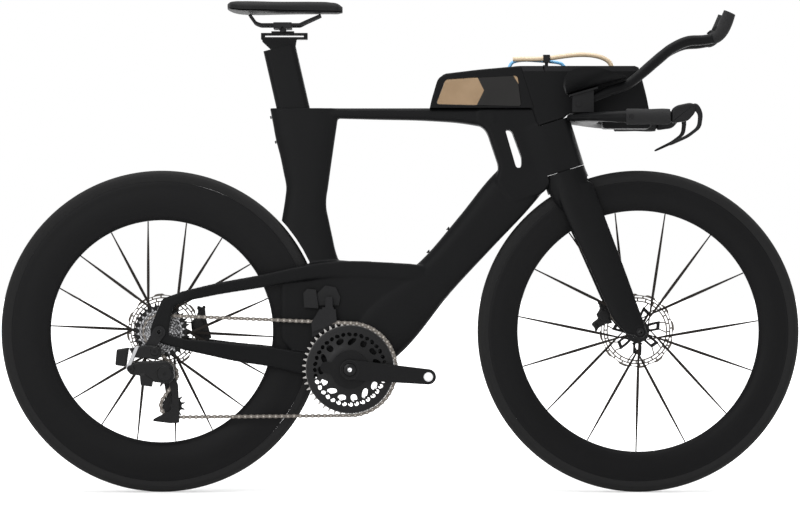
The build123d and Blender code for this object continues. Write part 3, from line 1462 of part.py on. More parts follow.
with BuildPart() as module_cover:
    cover_points = [
        (head_x - 130.0, cover_seam + 0.2),
        (head_x + 157.0, cover_seam + 0.2),
        head(154.4, 223.7),
        head(146.0, 226.7),
        head(-130.0, 226.7),
    ]
    cover_trim = module_plan(box_half_width, module_nose, 40.0, 330.0)
    add(side_plate(cover_points, -box_half_width, box_half_width) & cover_trim)
    mouth_top = head_z + 226.7
    for x, y, radius in ((head_x + 98.5, drink_side, 6.6), (head_x, return_side, 5.4)):
        with BuildSketch(Plane.XY.offset(mouth_top)):
            with Locations((x, y)):
                Circle(radius)
        extrude(amount=-4.0, mode=Mode.SUBTRACT)
module_cover.part.label = "module_cover"
export_step(module_cover.part, "parts/module_cover.step")

# Base bar, grips and brake levers

bar_top = head_z + 126.0
bar_thickness = 20.0
bar_middle = bar_top - bar_thickness / 2
bar_round = 24.0
bar_end_x = head_x + 208.3
grip_start_x = head_x + 116.3


def bar_stations(side, chord_extra=0.0, from_index=0):
    """Stations of one half of the base bar, from the middle out to the grip's end."""
    turn_in = 0.35
    stations = [
        ((head_x + 50.3, 0, bar_middle), (0, side, 0), 48.0, bar_thickness),
        ((head_x + 45.0, side * 45.0, bar_middle), (0, side, 0), 60.0, bar_thickness),
        ((head_x + 38.0, side * 78.0, bar_middle), (0, side, 0), 76.0, bar_thickness - 0.4),
        ((head_x + 48.0, side * 112.0, bar_middle - 1.0), (turn_in, side, 0), 54.0, 19.0),
        ((head_x + 64.0, side * 150.0, bar_middle - 1.5), (0.7, side, 0), 40.0, 20.0),
        ((head_x + 86.0, side * (grip_offset - 17.0), bar_middle - 2.0), (1.0, side, 0), 30.0, 22.0),
        ((head_x + 108.0, side * (grip_offset - 5.0), bar_middle - 2.5), (1.0, side * 0.35, 0), bar_round, bar_round),
        ((grip_start_x, side * (grip_offset - 3.0), bar_middle - 2.5), (1.0, 0, 0), bar_round, bar_round),
        ((bar_end_x, side * grip_offset, bar_middle - 3.0), (1.0, 0, 0), bar_round, bar_round),
    ]
    result = []
    for centre, direction, chord, thickness in stations[from_index:]:
        across = Vector(*direction).cross(Vector(0, 0, 1)).normalized()
        size = (chord + chord_extra, thickness + chord_extra)
        result.append((centre, direction, (across.X, across.Y, 0), *size))
    return result


with BuildPart() as base_bar:
    add([swept_tube(bar_stations(side)) for side in (1, -1)])
base_bar.part.label = "base_bar"
export_step(base_bar.part, "parts/base_bar.step")

grip_wall = 4.2
button_radius = 5.5
button_height = 3.0
button_travel = 1.0
button_spot = head(126.0, 112.5)
with BuildPart() as bar_grips:
    for side in (1, -1):
        grip = swept_tube(bar_stations(side, 2 * grip_wall, 7))
        core = swept_tube(bar_stations(side, 2 * seat_clearance, 7))
        add(grip - core)
        low, high = sorted((side * (grip_offset + bar_round / 2 + 0.4), side * (grip_offset + 40.0)))
        add(disc_y(button_spot, low, high, button_radius + seat_clearance), mode=Mode.SUBTRACT)
bar_grips.part.label = "bar_grips"
export_step(bar_grips.part, "parts/bar_grips.step")


def bar_button(side):
    """Round push button on the outer side of a grip."""
    base = side * (grip_offset + bar_round / 2 + 0.6 + button_travel)
    low, high = sorted((base, base + side * button_height))
    return disc_y(button_spot, low, high, button_radius)


with BuildPart() as right_bar_button:
    add(bar_button(-1))
right_bar_button.part.label = "right_bar_button"
export_step(right_bar_button.part, "parts/right_bar_button.step")

with BuildPart() as left_bar_button:
    add(bar_button(1))
left_bar_button.part.label = "left_bar_button"
export_step(left_bar_button.part, "parts/left_bar_button.step")

lever_pivot = head(252.3, 132.2)
lever_pin_radius = 2.5
lever_half_width = 4.0
lever_body_half = 10.0
lever_body_points = [
    (bar_end_x + 0.3, bar_middle - 17.0),
    (bar_end_x + 0.3, bar_middle + 11.0),
    head(219.0, 136.0),
    head(248.0, 142.0),
    head(259.0, 137.0),
    head(258.0, 121.0),
    head(243.0, 104.0),
]
lever_points = [
    head(248.3, 138.2),
    head(260.0, 141.2),
    head(268.0, 134.0),
    head(274.3, 118.2),
    head(270.3, 90.0),
    head(244.3, 70.0),
    head(205.3, 52.7),
    head(203.3, 56.9),
    head(241.3, 76.2),
    head(262.0, 92.2),
    head(264.5, 116.2),
    head(258.0, 125.5),
    head(248.3, 126.2),
]
with BuildPart() as brake_lever_bodies:
    for side in (1, -1):
        centre = side * grip_offset
        add(side_plate(lever_body_points, centre - lever_body_half, centre + lever_body_half))
        slot_low = centre - lever_half_width - body_gap
        slot_high = centre + lever_half_width + body_gap
        room = block(lever_pivot[0] - 10.0, lever_pivot[0] + 40.0, slot_low, slot_high, head_z + 60.0, head_z + 160.0)
        add(room, mode=Mode.SUBTRACT)
        add(disc_y(lever_pivot, slot_low - 0.5, slot_high + 0.5, lever_pin_radius))
brake_lever_bodies.part.label = "brake_lever_bodies"
export_step(brake_lever_bodies.part, "parts/brake_lever_bodies.step")


def brake_lever(side):
    """Curved lever blade hung on the pin of its body."""
    centre = side * grip_offset
    with BuildPart() as piece:
        add(side_plate(lever_points, centre - lever_half_width, centre + lever_half_width))
        pin_hole = lever_pin_radius + running_clearance
        add(disc_y(lever_pivot, centre - 9.0, centre + 9.0, pin_hole), mode=Mode.SUBTRACT)
    return piece.part


with BuildPart() as right_brake_lever:
    add(brake_lever(-1))
right_brake_lever.part.label = "right_brake_lever"
export_step(right_brake_lever.part, "parts/right_brake_lever.step")

with BuildPart() as left_brake_lever:
    add(brake_lever(1))
left_brake_lever.part.label = "left_brake_lever"
export_step(left_brake_lever.part, "parts/left_brake_lever.step")

# Risers, arm cups, pads and extensions

def side_stations(side, points):
    """Tube stations from (dx, dz, y, direction angle, chord) seen from the side."""
    result = []
    for dx, dz, y, angle, chord in points:
        turn = math.radians(angle)
        centre = (head_x + dx, side * y, head_z + dz)
        direction = (math.cos(turn), 0, math.sin(turn))
        upward = (-math.sin(turn), 0, math.cos(turn))
        result.append((centre, direction, upward, chord, chord * 1.15))
    return result


extension_points = [
    (40.0, 151.0, cup_offset - 1.0, 21.0, extension_thickness - 3.0),
    (62.0, 159.5, cup_offset - 2.5, 22.0, extension_thickness - 3.0),
    (90.0, 171.5, cup_offset - 6.0, 24.0, extension_thickness),
    (120.6, 181.5, cup_offset - 12.0, 28.0, extension_thickness),
    (158.6, 208.9, cup_offset - 18.0, 40.0, extension_thickness),
    (188.2, 234.5, cup_offset - 22.0, 41.0, extension_thickness + 1.0),
    (222.0, 261.6, extension_tip_offset + 4.0, 37.0, extension_thickness + 1.0),
    (255.7, 276.5, extension_tip_offset + 1.0, 14.0, extension_thickness + 1.0),
    (289.5, 279.2, extension_tip_offset, 8.0, extension_thickness),
    (306.0, 282.0, extension_tip_offset, 16.0, extension_thickness),
]
extension_grip_points = [
    (306.4, 282.2, extension_tip_offset, 16.0, extension_thickness),
    (319.0, 288.5, extension_tip_offset, 45.0, extension_thickness + 5.0),
    (333.0, 315.0, extension_tip_offset, 66.0, extension_thickness + 7.0),
    (342.0, 338.0, extension_tip_offset, 66.0, extension_thickness + 4.0),
]

riser_half_width = 13.0
cup_tilt = math.radians(16.0)
cup_floor = head(3.6, 162.6)
cup_half_width = 46.0
cup_height = 46.0
cup_wall = 3.0
pad_thickness = 7.0
with BuildPart() as arm_risers:
    riser = [head(10.9, 126.1), head(10.9, 161.0), head(55.3, 173.8), head(55.3, 126.1)]
    plate = [head(3.6, 158.0), head(3.6, 162.0), head(63.6, 179.2), head(63.6, 175.2)]
    for side in (1, -1):
        centre = side * cup_offset
        add(side_plate(riser, centre - riser_half_width, centre + riser_half_width))
        add(side_plate(plate, centre - riser_half_width - 6.0, centre + riser_half_width + 6.0))
        add(disc_y(head(24.0, 143.0), centre - 16.0, centre + 16.0, 5.0))
        socket = [(*place, chord + 2 * seat_clearance) for *place, chord in extension_points[:2]]
        add(swept_tube(side_stations(side, socket)), mode=Mode.SUBTRACT)
arm_risers.part.label = "arm_risers"
export_step(arm_risers.part, "parts/arm_risers.step")


def trough(side, skin, thickness):
    """U-shaped trough along the tilted forearm line, drawn in from the cup's outside by a skin."""
    normal = (math.cos(cup_tilt), 0, math.sin(cup_tilt))
    start = Vector(cup_floor[0], side * cup_offset, cup_floor[1] + 0.4) - Vector(*normal) * 30.0
    half = cup_half_width - skin
    with BuildPart() as piece:
        with BuildSketch(Plane(origin=start, x_dir=(0, 1, 0), z_dir=normal)):
            with Locations((0, cup_height)):
                Ellipse(half, cup_height - skin)
                Ellipse(half - thickness, cup_height - skin - thickness, mode=Mode.SUBTRACT)
                with Locations((0, cup_height)):
                    Rectangle(4 * cup_half_width, 2 * cup_height, mode=Mode.SUBTRACT)
        extrude(amount=190.0)
    return piece.part


cup_outline = [
    head(-6.0, 150.0),
    head(-6.0, 187.9),
    head(4.5, 206.9),
    head(27.7, 216.4),
    head(53.1, 218.5),
    head(84.7, 215.4),
    head(107.9, 209.0),
    head(124.0, 200.0),
    head(124.0, 178.0),
    head(60.0, 150.0),
]
pad_outline = [
    head(2.0, 150.0),
    head(2.0, 188.0),
    head(12.0, 203.0),
    head(30.0, 211.0),
    head(53.0, 213.0),
    head(80.0, 210.0),
    head(96.0, 204.0),
    head(96.0, 170.0),
    head(60.0, 150.0),
]
with BuildPart() as arm_cups:
    for side in (1, -1):
        low, high = sorted((side * (cup_offset - 60.0), side * (cup_offset + 60.0)))
        add(trough(side, 0.0, cup_wall) & side_plate(cup_outline, low, high))
arm_cups.part.label = "arm_cups"
export_step(arm_cups.part, "parts/arm_cups.step")

with BuildPart() as arm_pads:
    for side in (1, -1):
        low, high = sorted((side * (cup_offset - 60.0), side * (cup_offset + 60.0)))
        add(trough(side, cup_wall + 0.3, pad_thickness) & side_plate(pad_outline, low, high))
arm_pads.part.label = "arm_pads"
export_step(arm_pads.part, "parts/arm_pads.step")


with BuildPart() as extensions:
    add([swept_tube(side_stations(side, extension_points)) for side in (1, -1)])
extensions.part.label = "extensions"
export_step(extensions.part, "parts/extensions.step")

button_turn = math.radians(130.0)
button_out = Vector(math.cos(button_turn), 0, math.sin(button_turn))
button_heart = head(319.5, 293.0)


def extension_button_plane(side, reach):
    """Plane of an extension button at a reach from the middle of the grip."""
    heart = Vector(button_heart[0], side * extension_tip_offset, button_heart[1])
    return Plane(origin=heart + button_out * reach, x_dir=(0, 1, 0), z_dir=button_out)


with BuildPart() as extension_grips:
    add([swept_tube(side_stations(side, extension_grip_points)) for side in (1, -1)])
    for side in (1, -1):
        with BuildSketch(extension_button_plane(side, 8.0)):
            Circle(button_radius + seat_clearance)
        extrude(amount=30.0, mode=Mode.SUBTRACT)
extension_grips.part.label = "extension_grips"
export_step(extension_grips.part, "parts/extension_grips.step")


def extension_button(side):
    """Round push button on the back of an extension grip."""
    with BuildPart() as piece:
        with BuildSketch(extension_button_plane(side, 8.2 + button_travel)):
            Circle(button_radius)
        extrude(amount=6.5)
    return piece.part


with BuildPart() as right_extension_button:
    add(extension_button(-1))
right_extension_button.part.label = "right_extension_button"
export_step(right_extension_button.part, "parts/right_extension_button.step")

with BuildPart() as left_extension_button:
    add(extension_button(1))
left_extension_button.part.label = "left_extension_button"
export_step(left_extension_button.part, "parts/left_extension_button.step")

# Drink tube, return tube and the clip that holds them


def hose(points, radius):
    """Hose along straight runs joined by the largest tangent arcs that the runs allow."""
    corners = [Vector(*point) for point in points]
    radii = []
    for before, here, after in zip(corners, corners[1:], corners[2:]):
        first = here - before
        second = after - here
        turn = math.radians(first.get_angle(second))
        radii.append(0.45 * min(first.length, second.length) / math.tan(turn / 2))
    print("hose radii", [round(value, 1) for value in radii])
    with BuildPart() as piece:
        with BuildLine():
            path = FilletPolyline(*corners, radius=radii)
        with BuildSketch(Plane(origin=path @ 0, z_dir=path % 0)):
            Circle(radius)
        sweep(path=path)
    print("hose volume over section times length", round(piece.part.volume / (math.pi * radius**2 * path.length), 4))
    return piece.part


tube_top = head_z + 226.7
drink_route = [
    (head_x + 98.8, drink_side, tube_top - 3.0),
    (head_x + 98.0, drink_side, tube_top + 6.0),
    (head_x + 84.0, drink_side, tube_top + 17.5),
    (head_x + 60.5, drink_side, tube_top + 24.0),
    (head_x + 31.0, drink_side, tube_top + 25.5),
    (head_x - 2.0, drink_side, tube_top + 22.0),
    (head_x - 32.0, drink_side, tube_top + 17.2),
    (head_x - 62.0, drink_side, tube_top + 15.6),
    (head_x - 87.0, drink_side, tube_top + 15.9),
    (head_x - 109.7, drink_side, tube_top + 15.2),
]
return_route = [
    (head_x + 0.6, return_side, tube_top - 3.0),
    (head_x - 2.0, return_side, tube_top + 7.0),
    (head_x - 26.0, return_side, tube_top + 10.9),
    (head_x - 52.0, return_side, tube_top + 12.6),
    (head_x - 78.0, return_side, tube_top + 14.4),
    (head_x - 98.0, return_side, tube_top + 13.6),
    (head_x - 114.0, return_side, tube_top + 8.5),
    (head_x - 117.0, return_side, tube_top - 3.0),
]
with BuildPart() as drink_tube:
    add(hose(drink_route, 5.0))
drink_tube.part.label = "drink_tube"
export_step(drink_tube.part, "parts/drink_tube.step")

with BuildPart() as return_tube:
    add(hose(return_route, 3.5))
return_tube.part.label = "return_tube"
export_step(return_tube.part, "parts/return_tube.step")

with BuildPart() as tube_clip:
    clip_x = head_x - 38.7
    with BuildSketch(Plane.XY.offset(tube_top + 0.1)):
        with Locations((clip_x, drink_side)):
            Circle(3.5)
    extrude(amount=9.0)
    add(block(clip_x - 7.0, clip_x + 7.0, drink_side - 8.0, drink_side + 8.0, tube_top + 8.0, tube_top + 24.5))
    add(disc_x((drink_side, tube_top + 16.8), clip_x - 8.0, clip_x + 8.0, 5.9), mode=Mode.SUBTRACT)
tube_clip.part.label = "tube_clip"
export_step(tube_clip.part, "parts/tube_clip.step")

# Fasteners on the frame: bottle screws and the bolts of the seatpost wedge

with BuildPart() as frame_fasteners:
    for spot in bottle_spots:
        with BuildSketch(bottle_plane(spot, 0.2)):
            Circle(4.2)
            RegularPolygon(2.1, 6, mode=Mode.SUBTRACT)
        extrude(amount=2.6)
        with BuildSketch(bottle_plane(spot, -6.0)):
            Circle(bottle_thread_radius - seat_clearance)
        extrude(amount=6.6)
    for spot in (bb(-156.0, 478.3), bb(-166.1, 530.5)):
        foot = Vector(spot[0], 0, spot[1])
        with BuildSketch(Plane(origin=foot, x_dir=(0, 1, 0), z_dir=(-0.98, 0, -0.2))):
            Circle(3.0)
        extrude(amount=3.0)
frame_fasteners.part.label = "frame_fasteners"
export_step(frame_fasteners.part, "parts/frame_fasteners.step")
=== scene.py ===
"""Looks of a time trial bike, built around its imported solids.

Sizes are in millimetres, in the part's own frame: X forward, Y to the rider's left, Z up, origin on
the ground midway between the axles. A mesh is turned into metres when it becomes a Blender object.
"""

import logging
import math
from dataclasses import dataclass
from enum import Enum

import bmesh
import bpy
import numpy as np
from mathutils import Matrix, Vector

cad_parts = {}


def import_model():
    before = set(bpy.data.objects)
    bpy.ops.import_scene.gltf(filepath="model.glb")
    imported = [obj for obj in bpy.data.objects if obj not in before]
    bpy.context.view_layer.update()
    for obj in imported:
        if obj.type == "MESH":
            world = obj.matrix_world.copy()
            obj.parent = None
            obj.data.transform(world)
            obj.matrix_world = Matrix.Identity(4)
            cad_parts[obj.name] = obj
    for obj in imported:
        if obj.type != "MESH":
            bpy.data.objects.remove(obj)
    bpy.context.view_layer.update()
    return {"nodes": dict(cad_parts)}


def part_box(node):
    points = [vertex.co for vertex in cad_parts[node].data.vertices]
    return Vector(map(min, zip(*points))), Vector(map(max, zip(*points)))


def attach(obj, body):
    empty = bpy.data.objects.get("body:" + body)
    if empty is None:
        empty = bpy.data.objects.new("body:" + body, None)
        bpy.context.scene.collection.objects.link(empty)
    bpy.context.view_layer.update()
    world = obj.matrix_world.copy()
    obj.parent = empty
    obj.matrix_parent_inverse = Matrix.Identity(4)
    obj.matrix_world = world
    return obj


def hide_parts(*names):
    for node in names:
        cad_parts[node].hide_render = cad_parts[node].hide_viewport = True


log = logging.getLogger("bike")
Array = np.ndarray
MM = 0.001
FRONT_AXLE = (502.5, 339.0)
REAR_AXLE = (-502.5, 339.0)
CRANK_AXLE = (-105.0, 260.0)
HEAD = (347.7, 670.8)
HEAD_ANGLE = math.radians(72.5)
SEAT_TOP = 809.5
TYRE_RADIUS = 339.0
RIM_RADIUS = 316.0


def from_head(dx: float, dz: float) -> tuple[float, float]:
    """Side-view point given from the steering point."""
    return HEAD[0] + dx, HEAD[1] + dz


def from_front(dx: float, dz: float) -> tuple[float, float]:
    """Side-view point given from the front axle."""
    return FRONT_AXLE[0] + dx, FRONT_AXLE[1] + dz


def from_rear(dx: float, dz: float) -> tuple[float, float]:
    """Side-view point given from the rear axle."""
    return REAR_AXLE[0] + dx, REAR_AXLE[1] + dz


def from_crank(dx: float, dz: float) -> tuple[float, float]:
    """Side-view point given from the crank axle."""
    return CRANK_AXLE[0] + dx, CRANK_AXLE[1] + dz


def along_steering(ahead: float, up: float) -> tuple[float, float]:
    """Side-view point given ahead of the steering axis and up along it."""
    cosine, sine = math.cos(HEAD_ANGLE), math.sin(HEAD_ANGLE)
    return HEAD[0] + ahead * sine - up * cosine, HEAD[1] + ahead * cosine + up * sine


class Cap(Enum):
    """How the two ends of a lofted tube are closed."""

    FLAT = "flat"
    ROUND = "round"


class Cut(Enum):
    """What a tool solid does to the solid that it meets."""

    AWAY = "DIFFERENCE"
    COMMON = "INTERSECT"
    JOIN = "UNION"


# Surfaces worked out as arrays


def unit(vectors: Array) -> Array:
    """Vectors divided by their lengths."""
    return vectors / np.maximum(np.linalg.norm(vectors, axis=-1, keepdims=True), 1e-12)


def spread(rows: Array, count: int) -> Array:
    """Numbers in rows, joined by a smooth curve.

    The parameter is the distance run between the first three columns. Each span is a cubic with the
    end slopes of centred differences, so the curve passes through every row.

    Args:
        rows: Values, one row for each station.
        count: Rows wanted.

    Returns:
        The rows read off the curve at even steps.
    """
    gaps = np.linalg.norm(np.diff(rows[:, :3], axis=0), axis=1)
    knots = np.concatenate([[0.0], np.cumsum(np.maximum(gaps, 1e-6))])
    slopes = np.gradient(rows, knots, axis=0)
    at = np.linspace(0.0, knots[-1], count)
    span = np.clip(np.searchsorted(knots, at, side="right") - 1, 0, len(knots) - 2)
    step = (knots[span + 1] - knots[span])[:, None]
    s = (at - knots[span])[:, None] / step
    start = (2 * s**3 - 3 * s**2 + 1) * rows[span] + (s**3 - 2 * s**2 + s) * step * slopes[span]
    end = (3 * s**2 - 2 * s**3) * rows[span + 1] + (s**3 - s**2) * step * slopes[span + 1]
    return start + end


def bent_power(values: Array, power: Array) -> Array:
    """Sign of a value times its size to a power, the two arms of a superellipse."""
    return np.sign(values) * np.abs(values) ** power


def tube_grid(rows: Array, rings: int, sides: int, cap: Cap = Cap.FLAT) -> Array:
    """Tube whose section is a superellipse that changes along a smooth centre line.

    A point of a ring is the centre, plus the chord axis times half the chord times cos to 2 over the
    power, plus the cross axis times half the width times sin to the same power. A round end has six
    more rings, drawn in as the cosine and moved out as the sine of a quarter turn.

    Args:
        rows: Centre, chord axis, cross axis, half chord, half width and power of each station.
        rings: Rings along the tube.
        sides: Points of a ring.
        cap: Flat or round ends.

    Returns:
        Points in a grid of rings by sides.
    """
    path = spread(rows, rings)
    centre, chord, cross = path[:, 0:3], unit(path[:, 3:6]), unit(path[:, 6:9])
    half_chord, half_width, power = path[:, 9:10], path[:, 10:11], path[:, 11:12]
    if cap is Cap.ROUND:
        quarter = np.linspace(0.0, math.pi / 2, 7)[1:, None]
        along = unit(np.gradient(centre, axis=0))
        pieces = []
        for index, sign in ((0, -1.0), (-1, 1.0)):
            reach = np.minimum(half_chord[index], half_width[index])
            shrink = np.maximum(np.cos(quarter), 0.02)
            end = [
                centre[index] + sign * along[index] * reach * np.sin(quarter),
                np.repeat(chord[index][None], 6, 0),
                np.repeat(cross[index][None], 6, 0),
                half_chord[index] - reach * (1 - shrink),
                half_width[index] - reach * (1 - shrink),
                np.repeat(power[index][None], 6, 0),
            ]
            pieces.append([part[::-1] if index == 0 else part for part in end])
        joined = zip(pieces[0], (centre, chord, cross, half_chord, half_width, power), pieces[1])
        centre, chord, cross, half_chord, half_width, power = (np.concatenate(part) for part in joined)
    turn = np.linspace(0.0, 2 * math.pi, sides, endpoint=False)[None, :]
    a = half_chord * bent_power(np.cos(turn), 2 / power)
    b = half_width * bent_power(np.sin(turn), 2 / power)
    return centre[:, None] + a[..., None] * chord[:, None] + b[..., None] * cross[:, None]


def side_rows(stations: list[tuple[float, ...]]) -> Array:
    """Rows for a tube whose chord lies in the side view.

    Args:
        stations: Side-view point, distance from the middle plane, chord angle, chord, width and power.

    Returns:
        Rows for tube_grid.
    """
    made = []
    for x, z, y, angle, chord, width, power in stations:
        turn = math.radians(angle)
        made.append([x, y, z, math.cos(turn), 0, math.sin(turn), 0, 1, 0, chord / 2, width / 2, power])
    return np.array(made, float)


def bar_rows(stations: list[tuple[float, ...]]) -> Array:
    """Rows for a bar given by its centre, direction, chord axis, chord, thickness and power."""
    data = np.array(stations, float)
    along, chord = unit(data[:, 3:6]), unit(data[:, 6:9])
    return np.hstack([data[:, 0:3], chord, unit(np.cross(along, chord)), data[:, 9:11] / 2, data[:, 11:12]])


def turned_grid(profile: Array, centre: tuple[float, float], segments: int) -> Array:
    """Closed profile of radius and Y, turned about an axle.

    Args:
        profile: Rows of radius and Y, round the section.
        centre: Side-view point of the axle.
        segments: Steps of the full turn.

    Returns:
        Points in a grid of segments by profile rows.
    """
    turn = np.linspace(0.0, 2 * math.pi, segments, endpoint=False)[:, None]
    radius, y = profile[None, :, 0], profile[None, :, 1]
    x = centre[0] + radius * np.cos(turn)
    z = centre[1] + radius * np.sin(turn)
    return np.stack([x, np.broadcast_to(y, x.shape), z], axis=-1)


def rounded_outline(points: list[tuple[float, float]], radius: float, steps: int = 6) -> Array:
    """Closed side-view outline with drawn-in corners.

    Each corner is a quadratic curve from a point on the edge before it to one on the edge after it,
    with the corner as its handle. The points lie a radius from the corner, or under half an edge.

    Args:
        points: Corners.
        radius: Distance at which the curve leaves each edge.
        steps: Points of each corner.

    Returns:
        Outline points, counter-clockwise.
    """
    corner = np.array(points, float)
    before, after = np.roll(corner, 1, axis=0) - corner, np.roll(corner, -1, axis=0) - corner
    first = np.minimum(radius, 0.48 * np.linalg.norm(before, axis=1))[:, None]
    second = np.minimum(radius, 0.48 * np.linalg.norm(after, axis=1))[:, None]
    start, end = corner + unit(before) * first, corner + unit(after) * second
    s = np.linspace(0.0, 1.0, steps)[None, :, None]
    curve = (1 - s) ** 2 * start[:, None] + 2 * s * (1 - s) * corner[:, None] + s**2 * end[:, None]
    outline = curve.reshape(-1, 2)
    x, z = outline.T
    area = np.sum(x * np.roll(z, -1) - np.roll(x, -1) * z)
    return outline if area > 0 else outline[::-1]


def slab_grid(outline: Array, y_low: float, y_high: float, edge: float, steps: int = 5) -> Array:
    """Plate with rounded edges.

    Ring by ring the outline moves in by the edge radius times one less the sine, and out along Y by
    the radius times one less the cosine, through a quarter turn at each side.

    Args:
        outline: Counter-clockwise side-view outline.
        y_low: Lower face.
        y_high: Upper face.
        edge: Radius of the edges.
        steps: Rings of each edge.

    Returns:
        Points in a grid of rings by outline points.
    """
    tangent = unit(np.roll(outline, -1, axis=0) - np.roll(outline, 1, axis=0))
    outward = np.stack([tangent[:, 1], -tangent[:, 0]], axis=1)
    quarter = np.linspace(0.0, math.pi / 2, steps)
    inset = edge * (1 - np.sin(quarter))
    depth = edge * (1 - np.cos(quarter))
    insets = np.concatenate([inset, inset[::-1]])
    levels = np.concatenate([y_low + depth, (y_high - depth)[::-1]])
    ring = outline[None] - insets[:, None, None] * outward[None]
    y = np.broadcast_to(levels[:, None], ring.shape[:2])
    return np.stack([ring[..., 0], y, ring[..., 1]], axis=-1)


def disc_grid(
    point: tuple[float, float], y_low: float, y_high: float, radius: float, edge: float = 0.0, sides: int = 72
) -> Array:
    """Round plate or bar along Y, with its edges rounded where an edge radius is given."""
    turn = np.linspace(0.0, 2 * math.pi, sides, endpoint=False)
    outline = np.stack([point[0] + radius * np.cos(turn), point[1] + radius * np.sin(turn)], axis=1)
    if edge:
        return slab_grid(outline, y_low, y_high, edge)
    return np.stack([np.insert(outline, 1, level, axis=1) for level in (y_low, y_high)])


def plate_grid(
    corners: list[tuple[float, float]], y_low: float, y_high: float, radius: float = 3.0, edge: float = 1.5
) -> Array:
    """Plate over a side-view outline, its corners and edges rounded."""
    return slab_grid(rounded_outline(corners, radius), y_low, y_high, edge)


def sector_outline(centre: tuple[float, float], inner: float, outer: float, first: float, last: float) -> Array:
    """Outline of a piece of a ring between two radii and two angles in degrees."""
    turn = np.radians(np.linspace(first, last, 6))
    arc = np.stack([np.cos(turn), np.sin(turn)], axis=1)
    return np.concatenate([outer * arc, inner * arc[::-1]]) + np.array(centre)


def span(node: str) -> tuple[float, float]:
    """Lowest and highest Y of a solid at rest, in millimetres."""
    low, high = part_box(node)
    return low[1] / MM, high[1] / MM


def steering_plan(outline: Array, low: float, high: float) -> Array:
    """Prism along the steering axis over a plan outline of ahead and left.

    Args:
        outline: Plan points.
        low: Lower end along the steering axis.
        high: Upper end.

    Returns:
        Points in a grid of two rings.
    """
    cosine, sine = math.cos(HEAD_ANGLE), math.sin(HEAD_ANGLE)
    up = np.array([low, high])[:, None]
    ahead, left = outline[None, :, 0], outline[None, :, 1]
    x = HEAD[0] + ahead * sine - up * cosine
    z = HEAD[1] + ahead * cosine + up * sine
    return np.stack([x, np.broadcast_to(left, x.shape), z], axis=-1)


def box_plan(back: float, front: float, half: float) -> Array:
    """Plan outline of a rectangle from back to front, seen from above."""
    return np.array([(back, -half), (front, -half), (front, half), (back, half)], float)


def circle_plan(radius: float) -> Array:
    """Plan outline of a circle about the steering axis."""
    turn = np.linspace(0.0, 2 * math.pi, 96, endpoint=False)
    return np.stack([radius * np.cos(turn), radius * np.sin(turn)], axis=1)


def relaxed(points: Array, edges: Array, rounds: int) -> Array:
    """Points evened out, without shrinking the whole.

    Each round moves every point half-way to the mean of its neighbours, and then 0.53 of the way back.

    Args:
        points: Mesh points.
        edges: Pairs of joined points.
        rounds: Rounds of both moves.

    Returns:
        The moved points.
    """
    a, b = edges.T
    count = np.bincount(np.concatenate([a, b]), minlength=len(points))[:, None]
    moved = points.copy()
    for pull in [0.5, -0.53] * rounds:
        total = np.stack(
            [
                np.bincount(a, moved[b, axis], len(points)) + np.bincount(b, moved[a, axis], len(points))
                for axis in range(3)
            ],
            axis=1,
        )
        moved += pull * (total / np.maximum(count, 1) - moved)
    return moved


# Blender meshes


def grid_faces(rings: int, sides: int, closed: bool = False) -> list[list[int]]:
    """Faces of a grid that goes round in its second direction.

    Args:
        rings: Rings of the grid.
        sides: Points of a ring.
        closed: True if the last ring joins the first, and otherwise both ends get one face.

    Returns:
        Point numbers of each face.
    """
    ring = np.arange(rings if closed else rings - 1)[:, None]
    side = np.arange(sides)[None, :]
    after, beside = (ring + 1) % rings, (side + 1) % sides
    corners = [ring * sides + side, ring * sides + beside, after * sides + beside, after * sides + side]
    faces = np.stack([np.broadcast_to(c, (ring.size, sides)) for c in corners], axis=-1).reshape(-1, 4).tolist()
    if not closed:
        faces.append(list(range(sides))[::-1])
        faces.append(list(range((rings - 1) * sides, rings * sides)))
    return faces


def volume(points: Array, faces: list[list[int]]) -> float:
    """Signed volume of a closed mesh, from the fan of each face."""
    triangles = [(face[0], face[k], face[k + 1]) for face in faces for k in range(1, len(face) - 1)]
    a, b, c = points[np.array(triangles)].transpose(1, 0, 2)
    return float(np.einsum("ij,ij->i", a, np.cross(b, c)).sum() / 6)


def solid(name: str, grids: list[Array], closed: bool = False) -> bpy.types.Object:
    """Object made of closed shells.

    Args:
        name: Name of the piece.
        grids: Grids of points in millimetres, each one shell.
        closed: True if each grid closes on itself in its first direction.

    Returns:
        The new object, with its faces outwards.
    """
    points, faces, start = [], [], 0
    for grid in grids:
        rings, sides, _ = grid.shape
        shell = grid.reshape(-1, 3)
        shell_faces = grid_faces(rings, sides, closed)
        if volume(shell - shell.mean(0), shell_faces) < 0:
            shell_faces = [face[::-1] for face in shell_faces]
        points.append(shell)
        faces.extend([[index + start for index in face] for face in shell_faces])
        start += len(shell)
    mesh = bpy.data.meshes.new(name)
    mesh.from_pydata((np.concatenate(points) * MM).tolist(), [], faces)
    mesh.shade_smooth()
    made = bpy.data.objects.new(name, mesh)
    bpy.context.scene.collection.objects.link(made)
    return made


def settle(made: bpy.types.Object) -> bpy.types.Object:
    """Puts the result of an object's modifiers into its mesh and takes them off."""
    bpy.context.view_layer.update()
    result = bpy.data.meshes.new_from_object(made.evaluated_get(bpy.context.evaluated_depsgraph_get()))
    made.modifiers.clear()
    made.data = result
    return made


def worked(made: bpy.types.Object, tools: list[bpy.types.Object], cut: Cut) -> bpy.types.Object:
    """Solid after other solids have cut it or joined it.

    Args:
        made: Solid that is kept.
        tools: Solids that are used up.
        cut: What the tools do.

    Returns:
        The kept solid.
    """
    for tool in tools:
        step = made.modifiers.new("work", "BOOLEAN")
        step.operation, step.object, step.solver = cut.value, tool, "MANIFOLD"
    settle(made)
    for tool in tools:
        bpy.data.objects.remove(tool)
    return made


